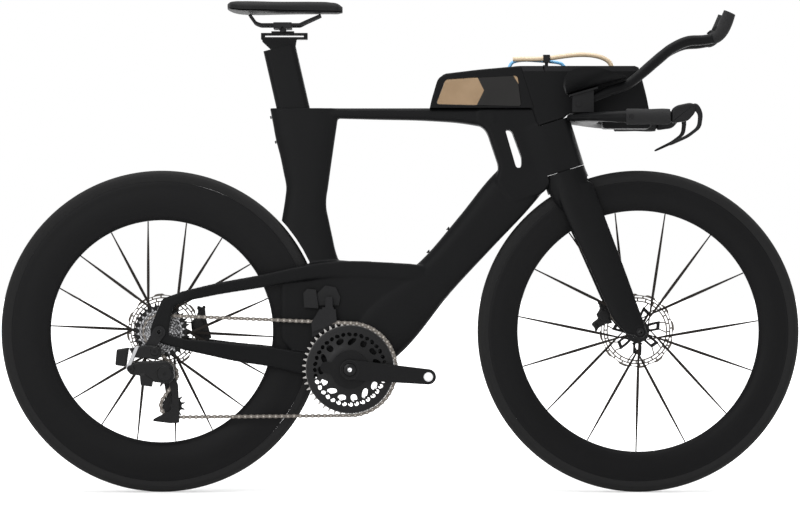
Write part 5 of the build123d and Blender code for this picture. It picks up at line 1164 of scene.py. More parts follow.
@dataclass
class Frameset:
    """Main frame and fork: smooth hollow mouldings whose tubes flow into each other."""

    palette: Palette
    voxel: float = 2.6
    rounds: int = 10
    head_half: float = 29.0
    nose_radius: float = 45.0
    tail_radius: float = 37.2
    split: float = 7.0
    head_top: float = 112.0
    rear_room: float = 22.0
    fork_room: float = 20.0
    wheel_gap: float = 5.5

    def seat_tube(self) -> Array:
        """Seat tube: deep at the top, waisted by the wheel and wide at the foot."""
        stations = [
            (-201.2, 809.4, 0, 0, 146.0, 34.0, 3.2),
            (-200.4, 776.3, 0, 0, 135.2, 34.0, 3.0),
            (-199.7, 742.5, 0, 0, 123.9, 34.0, 2.9),
            (-197.8, 708.8, 0, 0, 110.4, 33.4, 2.8),
            (-196.7, 675.0, 0, 0, 98.6, 32.8, 2.8),
            (-196.1, 641.2, 0, 0, 88.2, 32.4, 2.8),
            (-198.6, 621.0, 0, 0, 87.0, 32.4, 2.8),
            (-200.2, 601.0, 0, 0, 89.6, 32.6, 2.8),
            (-199.9, 573.7, 0, 0, 99.4, 33.0, 2.8),
            (-198.5, 540.0, 0, 0, 111.0, 34.0, 2.8),
            (-198.0, 506.0, 0, 0, 125.4, 36.0, 2.8),
            (-197.0, 450.0, 0, 0, 170.0, 41.0, 3.0),
        ]
        return tube_grid(side_rows(stations), 110, 72)

    def top_tube(self) -> Array:
        """Slender top tube that deepens towards the head."""
        stations = [
            (-165.0, SEAT_TOP - 10.6, 0, 90, 21.2, 29.0, 3.2),
            (-55.0, SEAT_TOP - 12.0, 0, 90, 24.0, 34.0, 3.2),
            (63.0, SEAT_TOP - 13.6, 0, 90, 27.3, 42.0, 3.4),
            (130.0, SEAT_TOP - 16.2, 0, 90, 32.4, 49.0, 3.6),
            (164.7, SEAT_TOP - 19.0, 0, 90, 38.0, 52.0, 3.8),
            (197.7, SEAT_TOP - 23.0, 0, 90, 46.0, 55.0, 4.0),
        ]
        return tube_grid(side_rows(stations), 60, 60)

    def down_tube(self) -> Array:
        """Deep down tube from the head to the bottom bracket."""
        stations = [
            (*from_head(-77.0, 1.0), 0, -43, 98.0, 50.0, 3.6),
            (*from_head(-112.0, -36.0), 0, -43, 104.0, 50.0, 3.6),
            (*from_head(-186.9, -121.4), 0, -43, 96.0, 52.0, 3.4),
            (*from_head(-268.8, -212.8), 0, -43, 91.5, 54.0, 3.4),
            (*from_crank(62.0, 80.0), 0, -45, 130.0, 58.0, 3.4),
            (*from_crank(18.0, 22.0), 0, -47, 96.0, 60.0, 3.2),
        ]
        return tube_grid(side_rows(stations), 90, 80)

    def lower_mass(self) -> Array:
        """Body round the bottom bracket, between the seat tube and the down tube."""
        corners = [
            from_crank(-84.0, 228.0),
            from_crank(-20.0, 229.2),
            from_crank(20.2, 225.0),
            from_crank(127.9, 215.6),
            from_crank(170.0, 226.0),
            from_crank(217.3, 166.9),
            from_crank(102.4, 43.5),
            from_crank(64.0, 2.0),
            from_crank(30.0, -27.0),
            from_crank(-40.0, -30.0),
            from_crank(-96.0, -6.0),
            from_crank(-150.0, 60.0),
            from_crank(-150.0, 200.0),
        ]
        return slab_grid(rounded_outline(corners, 14.0), -25.5, 25.5, 12.0, 8)

    def head(self) -> list[Array]:
        """Head: a column with a round nose, and the strut behind it that carries the slot."""
        corners = [
            (HEAD[0] - 190.0, SEAT_TOP - 0.3),
            from_head(-190.0, 104.5),
            from_head(-175.0, 99.0),
            from_head(-164.4, 88.0),
            from_head(-139.0, 12.7),
            from_head(-150.0, -20.0),
            from_head(-112.0, -66.0),
            from_head(-46.0, -41.0),
            along_steering(-20.0, 0.0),
            along_steering(8.0, 125.0),
            (HEAD[0] - 24.0, SEAT_TOP - 0.3),
        ]
        strut = slab_grid(rounded_outline(corners, 12.0), -26.8, 26.8, 8.0, 7)
        turn = np.linspace(math.radians(41.0), -math.radians(41.0), 40)
        nose = np.stack([self.nose_radius * np.cos(turn), self.nose_radius * np.sin(turn)], axis=1)
        side = np.array([(-66.0, 25.2), (-54.0, 26.8), (-20.0, 29.0), (20.0, 29.5)])
        plan = np.concatenate([side, nose, side[::-1] * (1, -1)])
        return [strut, steering_plan(plan, -4.0, self.head_top + 6.0)]

    def stays(self) -> list[Array]:
        """Upper and lower stays with their dropouts, on both sides."""
        grids = []
        for side in (1, -1):
            y = 75.5
            upper = [
                (*from_rear(44.0, 73.0), side * y, 90, 22.5, 9.0, 3.2),
                (*from_rear(70.0, 79.0), side * 73.0, 90, 23.4, 9.8, 2.8),
                (*from_rear(120.0, 90.0), side * 58.0, 90, 25.0, 12.0, 2.6),
                (*from_rear(206.6, 105.0), side * 42.0, 90, 27.3, 13.0, 2.6),
                (*from_rear(291.1, 121.7), side * 29.0, 90, 31.6, 15.0, 2.8),
                (-157.0, 468.0, side * 23.0, 90, 35.0, 15.0, 3.0),
                (-110.0, 469.0, side * 22.0, 90, 37.0, 12.0, 3.0),
                (-30.0, 466.0, side * 21.5, 90, 37.0, 12.0, 3.0),
                (50.0, 461.0, side * 20.5, 90, 34.0, 12.0, 3.0),
                (85.0, 458.0, side * 17.0, 90, 26.0, 10.0, 3.0),
            ]
            lower = [
                (*from_rear(48.0, -26.0), side * y, 90, 22.0, 9.0, 3.2),
                (*from_rear(80.0, -30.3), side * 71.0, 90, 27.5, 11.0, 2.8),
                (*from_rear(164.5, -44.4), side * 54.0, 90, 37.5, 13.0, 2.6),
                (*from_rear(227.8, -52.4), side * 40.0, 90, 42.0, 13.0, 2.6),
                (*from_rear(291.1, -65.1), side * 30.0, 90, 46.4, 13.0, 2.8),
                (-167.0, 266.0, side * 24.0, 90, 50.0, 13.0, 3.0),
                (-119.0, 260.0, side * 20.0, 90, 46.0, 16.0, 3.0),
            ]
            grids += [tube_grid(side_rows(upper), 70, 40), tube_grid(side_rows(lower), 70, 40)]
            dropout = [
                from_rear(6.1, 70.0),
                from_rear(-4.4, 44.7),
                from_rear(-17.1, 13.0),
                from_rear(-19.2, -3.9),
                from_rear(-12.9, -16.6),
                from_rear(6.1, -25.0),
                from_rear(56.0, -38.0),
                from_rear(56.0, -15.5),
                from_rear(18.8, -6.0),
                from_rear(23.0, 23.6),
                from_rear(29.3, 53.2),
                from_rear(56.0, 64.5),
                from_rear(56.0, 87.0),
            ]
            low, high = sorted((side * 71.0, side * 80.0))
            grids.append(slab_grid(rounded_outline(dropout, 7.0), low, high, 3.0))
        return grids

    def frame(self) -> bpy.types.Object:
        """Main frame as one skin, with its rooms cut clean.

        Returns:
            The frame piece.
        """
        shell = disc_grid(CRANK_AXLE, -38.0, 38.0, 27.0, 2.5)
        grids = [self.seat_tube(), self.top_tube(), self.down_tube(), self.lower_mass(), shell]
        made = melted(solid("frame_shell", [*grids, *self.head(), *self.stays()]), self.voxel, self.rounds)
        slot = [(-126.5, 93.0), (-112.5, 91.5), (-91.0, 33.0), (-91.5, 13.5), (-103.0, 12.0)]
        slot_line = rounded_outline([from_head(*point) for point in slot], 7.0)
        room = TYRE_RADIUS + self.wheel_gap
        top = self.head_top
        tools = [
            solid("room", [disc_grid(REAR_AXLE, -self.rear_room, self.rear_room, room, 3.0)]),
            solid("slot", [slab_grid(slot_line, -60.0, 60.0, 1.0)]),
            solid("crown_room", [steering_plan(circle_plan(self.nose_radius + 1.4), -90.0, self.split)]),
            solid("module_room", [steering_plan(circle_plan(self.tail_radius), top, 240.0)]),
            solid("module_front", [steering_plan(box_plan(-1.0, 70.0, 50.0), top + 0.1, 245.0)]),
            solid("axle_hole", [disc_grid(REAR_AXLE, -90.0, 90.0, 6.1)]),
            solid("bearing_hole", [disc_grid(CRANK_AXLE, -60.0, 60.0, 21.0)]),
            solid("steerer_hole", [steering_plan(circle_plan(17.0), -20.0, 160.0)]),
        ]
        return worked(made, tools, Cut.AWAY)

    def crown(self) -> Array:
        """Crown of the fork, its long section lying along the bike."""
        ahead = (math.sin(HEAD_ANGLE), 0.0, math.cos(HEAD_ANGLE))
        rows = []
        for forward, up, half_length, half_width in (
            (0.0, 16.0, 45.0, 34.0),
            (0.0, 0.0, 45.0, 34.0),
            (0.0, -22.0, 47.0, 35.5),
            (3.0, -50.0, 46.5, 38.0),
            (10.0, -84.0, 35.0, 41.0),
        ):
            x, z = along_steering(forward, up)
            rows.append([x, 0, z, *ahead, 0, 1, 0, half_length, half_width, 2.5])
        return tube_grid(np.array(rows, float), 40, 64)

    def fork(self) -> bpy.types.Object:
        """Fork: round-nosed crown and two deep blades.

        Returns:
            The fork piece.
        """
        grids = [self.crown()]
        for side in (1, -1):
            blade = [
                (*from_head(17.5, -22.0), side * 27.0, 0, 80.0, 14.0, 2.6),
                (*from_head(36.0, -75.0), side * 35.0, 0, 82.0, 14.0, 2.5),
                (*from_head(62.2, -139.3), side * 42.0, 0, 77.0, 14.0, 2.4),
                (*from_front(-58.1, 108.0), side * 49.0, 0, 70.0, 14.0, 2.4),
                (*from_front(-41.3, 66.0), side * 52.0, 0, 66.0, 14.0, 2.4),
                (*from_front(-23.5, 23.7), side * 55.7, 0, 61.0, 14.0, 2.6),
                (*from_front(-8.0, -1.0), side * 57.2, 0, 46.0, 14.0, 3.0),
            ]
            grids.append(tube_grid(side_rows(blade), 90, 56, Cap.ROUND))
            low, high = sorted((side * 50.4, side * 64.2))
            grids.append(disc_grid(FRONT_AXLE, low, high, 13.0, 2.0))
        made = melted(solid("fork_shell", grids), 2.0, 8)
        room = TYRE_RADIUS + self.wheel_gap
        tools = [
            solid("room", [disc_grid(FRONT_AXLE, -self.fork_room, self.fork_room, room, 3.0)]),
            solid("hub_room", [disc_grid(FRONT_AXLE, -50.2, 50.2, 27.0)]),
            solid("axle_hole", [disc_grid(FRONT_AXLE, -90.0, 90.0, 6.1)]),
            solid("above", [steering_plan(box_plan(-80.0, 80.0, 60.0), self.split - 1.0, 90.0)]),
        ]
        made = worked(made, tools, Cut.AWAY)
        steerer = solid("steerer", [steering_plan(circle_plan(14.3), 0.0, self.head_top + 12.0)])
        return gathered([made, steerer])

    def build(self) -> None:
        """Builds and places both pieces."""
        placed(self.frame(), "frame", self.palette.frame, ("main_frame",), 35.0)
        placed(self.fork(), "steering", self.palette.frame, ("fork",), 35.0)


# Wheels


@dataclass
class Wheel:
    """Tyre and deep rim of one wheel."""

    palette: Palette
    name: str
    body: str
    axle: tuple[float, float]
    depth: float
    valve_angle: float
    spoke_count: int
    first_spoke: float
    plain_y: float
    disc_y: float
    cross_offset: float
    radial_shift: int

    def tyre(self) -> Array:
        """Tyre: round crown on slightly waisted sidewalls, down to the rim's edge."""
        turn = np.linspace(-math.pi / 2, math.pi / 2, 33)
        crown = np.stack([325.0 + 14.0 * np.cos(turn), 14.0 * np.sin(turn)], axis=1)
        low = np.array([(320.5, 13.3), (317.2, 12.7), (316.2, 12.3), (316.2, 8.0)])
        profile = np.concatenate([low[::-1] * (1, -1), crown, low])
        return turned_grid(profile, self.axle, 240)

    def rim(self) -> Array:
        """Rim section: bead edge, full flanks and a rounded nose towards the hub."""
        inner = RIM_RADIUS - self.depth
        flank = [
            (RIM_RADIUS, 0, 10.5),
            (RIM_RADIUS, 0, 12.6),
            (RIM_RADIUS - 1.5, 0, 12.9),
            (RIM_RADIUS - 0.2 * self.depth, 0, 13.6),
            (RIM_RADIUS - 0.42 * self.depth, 0, 13.9),
            (RIM_RADIUS - 0.62 * self.depth, 0, 12.6),
            (inner + 0.2 * self.depth, 0, 9.8),
            (inner + 5.0, 0, 6.2),
            (inner + 1.2, 0, 3.0),
            (inner, 0, 0.0),
        ]
        half = spread(np.array(flank, float), 44)[:, [0, 2]]
        profile = np.concatenate([half, half[-2::-1] * (1, -1)])
        return turned_grid(profile, self.axle, 240)

    def valve(self) -> list[Array]:
        """Valve stem with its collar and cap, standing on the rim's nose."""
        turn = math.radians(self.valve_angle)
        away = np.array([math.cos(turn), 0.0, math.sin(turn)])
        centre = np.array([self.axle[0], 0.0, self.axle[1]])
        grids = []
        for start, end, radius in ((-2.0, 26.0, 2.4), (0.0, 2.2, 3.2), (18.0, 33.0, 2.9)):
            rows = []
            for reach in (start, (start + end) / 2, end):
                point = centre + away * (RIM_RADIUS - self.depth - reach)
                rows.append([*point, *away, 0, 1, 0, 2 * radius, 2 * radius, 2.0])
            grids.append(tube_grid(bar_rows(rows), 6, 20))
        return grids

    def spokes(self) -> list[Array]:
        """Bladed spokes: round at both ends and wide between, some straight out and some crossing.

        A spoke's line passes the axle at a side offset, so its turn is the angle at the rim less the
        arc sine of the offset over the rim's radius.

        Returns:
            One grid for each spoke.
        """
        rim_radius = RIM_RADIUS - self.depth - 0.3
        widths = np.array([(0.0, 2.6), (0.05, 2.8), (0.1, 3.6), (0.87, 3.6), (0.93, 3.0), (1.0, 2.8)])
        grids = []
        for index in range(self.spoke_count):
            kind = (index + self.radial_shift) % 3
            lean = (0, 1, -1)[kind]
            reach = self.cross_offset + 4.3
            flange, level = (17.3, self.plain_y) if kind == 0 else (reach, self.disc_y + lean * 1.6)
            offset = lean * self.cross_offset
            turn = math.radians(self.first_spoke - index * 360.0 / self.spoke_count) - math.asin(offset / rim_radius)
            along, beside = np.array([math.cos(turn), 0, math.sin(turn)]), np.array([-math.sin(turn), 0, math.cos(turn)])
            centre = np.array([self.axle[0], 0.0, self.axle[1]]) + beside * offset
            first = centre + along * math.sqrt((flange + abs(offset) * 0.08) ** 2 - offset**2) + (0, level, 0)
            last = centre + along * math.sqrt(rim_radius**2 - offset**2)
            rows = [[*(first + (last - first) * at), *(last - first), *beside, wide, 3.6 / wide, 2.0] for at, wide in widths]
            grids.append(tube_grid(bar_rows(rows), 26, 10))
        return grids

    def rotor_track(self, low: float, high: float) -> bpy.types.Object:
        """Steel track in three thin bands joined by bridges, held by slim arms."""
        turn = np.linspace(0.0, 2 * math.pi, 240, endpoint=False)
        wavy = 77.6 + 1.6 * np.tanh(3.0 * np.sin(turn * 12.0))
        outline = np.stack([self.axle[0] + wavy * np.cos(turn), self.axle[1] + wavy * np.sin(turn)], axis=1)
        made = solid(self.name + "_rotor_track", [slab_grid(outline, low, high, 0.2)])
        slots = [disc_grid(self.axle, low - 2.0, high + 2.0, 61.6)]
        for inner, outer, count, shift in ((64.4, 68.6, 24, 0.0), (71.2, 74.4, 24, 6.0)):
            for index in range(count):
                first = shift + index * 360.0 / count
                line = sector_outline(self.axle, inner, outer, first, first + 360.0 / count - 2.6)
                slots.append(slab_grid(line, low - 2.0, high + 2.0, 0.1))
        worked(made, [solid("slots", slots)], Cut.AWAY)
        arms = []
        for index in range(7):
            turn = 65.5 - index * 360.0 / 7
            for first, last in ((turn - 10.0, turn - 17.0), (turn + 8.0, turn + 2.0)):
                a, b = math.radians(first), math.radians(last)
                start = np.array([self.axle[0] + 48.0 * math.cos(a), 0.0, self.axle[1] + 48.0 * math.sin(a)])
                end = np.array([self.axle[0] + 62.4 * math.cos(b), 0.0, self.axle[1] + 62.4 * math.sin(b)])
                middle = (low + high) / 2
                rows = [[*(start + (end - start) * at + (0, middle, 0)), *(end - start), 0, 1, 0, 1.4, 2.6, 4.0] for at in (0, 0.5, 1)]
                arms.append(tube_grid(bar_rows(rows), 4, 12))
        return gathered([made, solid("arms", arms)])

    def rotor_carrier(self, low: float, high: float) -> bpy.types.Object:
        """Black carrier: a ring on the hub and seven looped arms with square ends."""
        ring = np.array([(17.3, low - 1.4), (25.0, low - 1.4), (25.0, high + 1.4), (17.3, high + 1.4)])
        made = solid(self.name + "_rotor_carrier", [turned_grid(ring, self.axle, 120)], closed=True)
        arms, holes = [], []
        for index in range(7):
            turn = math.radians(65.5 - index * 360.0 / 7)
            cosine, sine = math.cos(turn), math.sin(turn)
            for shape, store, grow in (
                ([(21.0, -8.0), (47.0, -9.5), (52.6, 8.5), (34.0, 9.5), (21.0, 8.0)], arms, 0.9),
                ([(27.0, -3.2), (41.0, -4.6), (44.0, 4.0), (27.0, 3.4)], holes, 4.0),
            ):
                line = [(self.axle[0] + u * cosine - v * sine, self.axle[1] + u * sine + v * cosine) for u, v in shape]
                store.append(plate_grid(line, low - grow, high + grow, 2.0, 0.4))
        worked(made, [solid("arm", [arm]) for arm in arms], Cut.JOIN)
        return worked(made, [solid("holes", holes)], Cut.AWAY)

    def build(self) -> None:
        """Builds and places the pieces of the wheel."""
        p = self.palette
        low, high = span(self.name + "_rotor")
        steel = p.front_rotor if self.name == "front" else p.rear_rotor
        placed(self.rotor_track(low, high), self.body, steel, (self.name + "_rotor",), 30.0)
        placed(self.rotor_carrier(low, high), self.body, p.gloss_black, (), 30.0)
        spokes = solid(self.name + "_bladed_spokes", self.spokes())
        placed(spokes, self.body, p.spokes, (self.name + "_spokes",), 50.0)
        front = self.name == "front"
        tyre_finish = self.palette.front_tyre if front else self.palette.rear_tyre
        rim_finish = self.palette.front_rim if front else self.palette.rear_rim
        tyre = solid(self.name + "_tyre_skin", [self.tyre()], closed=True)
        placed(tyre, self.body, tyre_finish, (self.name + "_tyre",), 60.0)
        rim = solid(self.name + "_rim_skin", [self.rim()], closed=True)
        placed(rim, self.body, rim_finish, (self.name + "_rim",), 50.0)
        placed(solid(self.name + "_valve", self.valve()), self.body, self.palette.alloy)


# Brakes


@dataclass
class Brakes:
    """Brake calipers: cast bodies with a piston cap, bolts and a hose fitting."""

    palette: Palette

    def caliper(self, name: str, node: str, corners: list, cap: tuple, bolts: list, fitting: tuple) -> bpy.types.Object:
        """Caliper of one wheel.

        Args:
            name: Name of the piece.
            node: Solid that it stands for.
            corners: Side-view outline of the body.
            cap: Centre of the piston cap.
            bolts: Centres of the bolts.
            fitting: Start and end of the hose fitting.

        Returns:
            The piece.
        """
        low, high = span(node)
        middle = (low + high) / 2
        grids = [plate_grid(corners, low + 1.6, high - 1.6, 3.0, 3.0)]
        grids.append(disc_grid(cap, low, high, 13.0, 2.0))
        grids += [disc_grid(bolt, low + 0.4, high - 0.4, 4.6, 1.0) for bolt in bolts]
        start, end = (np.array([point[0], middle, point[1]]) for point in fitting)
        rows = [[*(start + (end - start) * at), *(end - start), 0, 1, 0, 7.0, 7.0, 2.0] for at in (0, 0.5, 1)]
        grids.append(tube_grid(bar_rows(rows), 6, 24, Cap.ROUND))
        made = melted(solid(name, grids), 0.8, 2)
        cuts = [disc_grid(bolt, low - 2.0, low + 2.4, 2.2, 0.0, 6) for bolt in bolts]
        cuts += [disc_grid(bolt, high - 2.4, high + 2.0, 2.2, 0.0, 6) for bolt in bolts]
        return worked(made, [solid("sockets", cuts)], Cut.AWAY)

    def build(self) -> None:
        """Builds and places both calipers."""
        shape = [(-77.6, 56.7), (-73.1, 59.8), (-64.0, 49.2), (-52.0, 16.0), (-67.0, 14.5), (-82.1, 5.5), (-84.4, -0.6)]
        shape += [(-88.9, -1.3), (-89.7, 5.5), (-96.4, 13.0), (-94.2, 17.5), (-82.1, 26.6), (-86.6, 34.0), (-79.5, 45.0)]
        corners = [from_front(*point) for point in shape]
        bolts = [from_front(-75.5, 52.0), from_front(-88.0, 11.0)]
        fitting = (from_front(-74.0, 50.0), from_front(-80.0, 60.5))
        made = self.caliper("front_caliper_cast", "front_caliper", corners, from_front(-70.0, 33.0), bolts, fitting)
        placed(made, "steering", self.palette.gloss_black, ("front_caliper",), 30.0)
        shape = [(70.9, 54.0), (79.0, 50.5), (88.2, 48.0), (89.4, 29.4), (94.1, 10.7), (102.0, -15.5), (84.7, -22.5)]
        shape += [(65.9, -15.1), (58.9, 3.6), (57.7, 20.0), (68.3, 27.1), (72.9, 41.2)]
        corners = [from_rear(*point) for point in shape]
        bolts = [from_rear(75.5, 47.5), from_rear(93.5, -11.0)]
        fitting = (from_rear(84.0, 36.0), from_rear(85.5, 50.0))
        made = self.caliper("rear_caliper_cast", "rear_caliper", corners, from_rear(74.0, 12.0), bolts, fitting)
        placed(made, "frame", self.palette.gloss_black, ("rear_caliper",), 30.0)


# Drive


@dataclass
class Drive:
    """Chain, rings, cogs and derailleurs."""

    palette: Palette
    pitch: float = 12.7
    plane: float = -43.0
    ring_teeth: int = 48
    inner_teeth: int = 35
    cog_teeth: int = 17
    pulley_teeth: int = 12
    guide: tuple[float, float] = (11.0, -90.0)
    tension: tuple[float, float] = (24.6, -154.8)

    def pitch_radius(self, teeth: int) -> float:
        """Radius of the circle through the roller centres."""
        return self.pitch / (2 * math.sin(math.pi / teeth))

    def circles(self) -> list[tuple]:
        """Circles that the chain runs on, with the sense in which it turns on each."""
        return [
            (REAR_AXLE, self.cog_teeth, 1),
            (CRANK_AXLE, self.ring_teeth, 1),
            (from_rear(*self.tension), self.pulley_teeth, 1),
            (from_rear(*self.guide), self.pulley_teeth, -1),
        ]

    def tangent(self, first: tuple, second: tuple) -> tuple[float, float]:
        """Angles on two circles at which the chain leaves one for the other.

        The normal of the shared tangent stands from the line between the centres by the arc cosine of
        the difference of the signed radii over the distance.
        """
        (ax, az), a_teeth, a_sense = first
        (bx, bz), b_teeth, b_sense = second
        gap = a_sense * self.pitch_radius(a_teeth) - b_sense * self.pitch_radius(b_teeth)
        normal = math.atan2(bz - az, bx - ax) + math.acos(gap / math.hypot(bx - ax, bz - az))
        return tuple(normal if sense > 0 else normal + math.pi for sense in (a_sense, b_sense))

    def pins(self) -> tuple[Array, list[float]]:
        """Centres of the chain's pins and the phase of each circle's teeth."""
        circles = self.circles()
        arcs, phases = [], []
        for index, circle in enumerate(circles):
            (cx, cz), teeth, sense = circle
            arrive = self.tangent(circles[index - 1], circle)[1]
            leave = self.tangent(circle, circles[(index + 1) % len(circles)])[0]
            swing, step = (arrive - leave) * sense % (2 * math.pi), 2 * math.pi / teeth
            steps = round(swing / step)
            first = arrive - sense * (swing - steps * step) / 2
            turn = first - sense * step * np.arange(steps + 1)
            radius = self.pitch_radius(teeth)
            arcs.append(np.stack([cx + radius * np.cos(turn), cz + radius * np.sin(turn)], axis=1))
            phases.append(first)
        joined = []
        for index, arc in enumerate(arcs):
            after = arcs[(index + 1) % len(arcs)][0]
            links = max(1, round(float(np.linalg.norm(after - arc[-1])) / self.pitch))
            joined += [arc, np.linspace(arc[-1], after, links + 1)[1:-1]]
        return np.concatenate(joined), phases

    def chain(self, pins: Array) -> bpy.types.Object:
        """Chain: waisted plates in pairs, wide and narrow by turns, on pins with rollers."""
        arc = np.radians(np.linspace(-105.0, 105.0, 8))
        half = self.pitch / 2
        end = np.stack([half + 4.1 * np.cos(arc), 4.1 * np.sin(arc)], axis=1)
        plate = np.concatenate([[(0.0, -2.5)], end, [(0.0, 2.5)], -end])
        after = np.roll(pins, -1, axis=0)
        along = unit(after - pins)
        middle = (pins + after) / 2
        stretch = np.linalg.norm(after - pins, axis=1)[:, None] / self.pitch
        x = middle[:, 0:1] + plate[None, :, 0] * along[:, 0:1] * stretch - plate[None, :, 1] * along[:, 1:2]
        z = middle[:, 1:2] + plate[None, :, 0] * along[:, 1:2] * stretch + plate[None, :, 1] * along[:, 0:1]
        grids = []
        for index in range(len(pins)):
            near, far = (1.75, 2.5) if index % 2 else (1.05, 1.7)
            outline = np.stack([x[index], z[index]], axis=1)
            for low, high in ((self.plane - far, self.plane - near), (self.plane + near, self.plane + far)):
                grids.append(np.stack([np.insert(outline, 1, level, axis=1) for level in (low, high)]))
            centre = tuple(pins[index])
            grids.append(disc_grid(centre, self.plane - 2.6, self.plane + 2.6, 1.9, 0.0, 12))
            grids.append(disc_grid(centre, self.plane - 1.04, self.plane + 1.04, 3.85, 0.0, 16))
        return solid("chain_links", grids)

    def toothed(self, teeth: int, phase: float, y: float, thick: float, bore: float, tip: float = 3.2) -> Array:
        """Toothed ring as a grid of four rings: two toothed faces outside and a round bore inside."""
        radius = self.pitch_radius(teeth)
        shape = np.array([(-2.9, -4.3), (-1.9, -0.6), (-0.9, tip), (0.9, tip), (1.9, -0.6), (2.9, -4.3)])
        middle = phase + (np.arange(teeth)[:, None] + 0.5) * 2 * math.pi / teeth
        reach = radius + shape[None, :, 1]
        turn = (middle + shape[None, :, 0] / reach).ravel()
        reach = np.broadcast_to(reach, (teeth, len(shape))).ravel()
        rings = []
        for level, size in ((y, bore), (y, reach), (y + thick, reach), (y + thick, bore)):
            rings.append(np.stack([size * np.cos(turn), np.full_like(turn, level), size * np.sin(turn)], axis=1))
        return np.stack(rings)

    def rings(self, phase: float) -> bpy.types.Object:
        """Both chainrings, with a dished outer face that is pierced by two rows of openings."""
        centre = np.array([CRANK_AXLE[0], 0.0, CRANK_AXLE[1]])
        big = self.toothed(self.ring_teeth, phase, self.plane - 1.05, 2.1, 88.0) + centre
        small = self.toothed(self.inner_teeth, phase, self.plane + 6.45, 2.1, 65.4) + centre
        dish = [(34.3, -50.2), (46.0, -50.0), (50.0, -48.2), (68.0, -46.2), (84.0, -44.9), (91.6, -44.4), (92.6, -43.8)]
        dish += [(92.6, -42.4), (84.0, -42.0), (50.0, -42.0), (34.3, -42.0)]
        face = solid("chainring_face", [turned_grid(np.array(dish), CRANK_AXLE, 192)], closed=True)
        cuts = []
        for index in range(15):
            turn = math.radians(206.0 + 24.0 * index)
            radius = (60.5, 59.0, 61.5)[index % 3]
            wide, tall = ((6.6, 7.6), (10.5, 5.4), (8.4, 6.0))[index % 3]
            tilt = turn + math.pi / 2 + (0.1, 0.75, 0.3)[index % 3]
            heart = np.array([CRANK_AXLE[0] + radius * math.cos(turn), CRANK_AXLE[1] + radius * math.sin(turn)])
            cuts.append(self.opening(heart, wide, tall, tilt))
        for index in range(36):
            turn = math.radians(201.0 + 10.0 * index)
            heart = np.array([CRANK_AXLE[0] + 73.6 * math.cos(turn), CRANK_AXLE[1] + 73.6 * math.sin(turn)])
            cuts.append(self.opening(heart, 4.6 + 0.5 * (index % 2), 3.9, turn + math.pi / 2 + 0.5 * (-1) ** index))
        worked(face, [solid("openings", cuts)], Cut.AWAY)
        teeth = solid("teeth", [big, small], closed=True)
        posts = solid("posts", [
            disc_grid((CRANK_AXLE[0] + 68.2 * math.cos(a), CRANK_AXLE[1] + 68.2 * math.sin(a)), -42.4, -36.4, 2.4, 0.0, 24)
            for a in (math.radians(206.0 + 12.0 + 45.0 * k) for k in range(8))
        ])
        return gathered([face, teeth, posts])

    def opening(self, heart: Array, wide: float, tall: float, tilt: float) -> Array:
        """Oval hole through the ring's face."""
        turn = np.linspace(0.0, 2 * math.pi, 28, endpoint=False)
        u, v = wide * bent_power(np.cos(turn), 0.85), tall * bent_power(np.sin(turn), 0.85)
        cosine, sine = math.cos(tilt), math.sin(tilt)
        outline = heart + np.stack([u * cosine - v * sine, u * sine + v * cosine], axis=1)
        return np.stack([np.insert(outline, 1, level, axis=1) for level in (-60.0, -41.0)])

    def knuckle(self) -> bpy.types.Object:
        """Upper knuckle of the rear derailleur with its battery behind."""
        low, high = span("derailleur_knuckle")
        battery = [(-87.7, -35.6), (-62.0, -31.5), (-67.8, -71.9), (-90.8, -68.6)]
        upper = [(-62.0, -33.0), (-39.6, -30.0), (-29.1, -26.5), (-6.8, -28.0), (5.0, -35.0), (6.5, -50.0), (-6.8, -57.4)]
        upper += [(-20.9, -55.0), (-52.5, -52.7)]
        grids = [plate_grid([from_rear(*point) for point in battery], low + 1.0, high - 1.0, 3.5, 3.0)]
        grids.append(plate_grid([from_rear(*point) for point in upper], low + 2.0, high - 2.0, 3.0, 2.5))
        seam = [(-66.5, -30.0), (-64.6, -30.0), (-69.4, -74.0), (-71.3, -74.0)]
        grids.append(disc_grid(from_rear(-8.0, -40.0), low, high, 9.0, 1.2))
        made = melted(solid("derailleur_upper_cast", grids), 0.8, 2)
        groove = plate_grid([from_rear(*point) for point in seam], low - 2.0, low + 1.9, 0.4, 0.1)
        socket = disc_grid(from_rear(-8.0, -40.0), low - 2.0, low + 3.0, 3.4, 0.0, 6)
        return worked(made, [solid("groove", [groove]), solid("socket", [socket])], Cut.AWAY)

    def lower_knuckle(self) -> bpy.types.Object:
        """Lower knuckle of the rear derailleur, with its motor foot and damper drum."""
        low, high = span("derailleur_lower_knuckle")
        body = [(-56.1, -64.0), (-39.6, -60.5), (16.7, -59.4), (30.7, -71.4), (33.1, -94.9), (21.3, -106.6)]
        body += [(-6.8, -104.3), (-12.7, -101.9), (-39.6, -90.2), (-59.6, -87.8), (-66.6, -76.1)]
        foot = [(-39.6, -88.2), (-29.1, -86.8), (-11.5, -98.8), (-13.8, -113.7), (-37.3, -110.1)]
        outer = min(high, low + 26.0)
        grids = [plate_grid([from_rear(*point) for point in body], low + 3.0, outer, 4.0, 3.5)]
        grids.append(plate_grid([from_rear(*point) for point in foot], low + 2.0, outer - 4.0, 2.0, 1.6))
        grids.append(disc_grid(from_rear(13.0, -86.0), low, outer, 16.0, 2.0))
        grids.append(disc_grid(from_rear(-58.0, -76.0), low + 1.0, outer, 8.0, 1.6))
        made = melted(solid("derailleur_lower_cast", grids), 0.8, 2)
        cuts = [disc_grid(from_rear(13.0, -86.0), low - 2.0, low + 3.0, 4.0, 0.0, 6)]
        cuts.append(disc_grid(from_rear(-58.0, -76.0), low - 2.0, low + 3.5, 2.6, 0.0, 6))
        return worked(made, [solid("sockets", cuts)], Cut.AWAY)

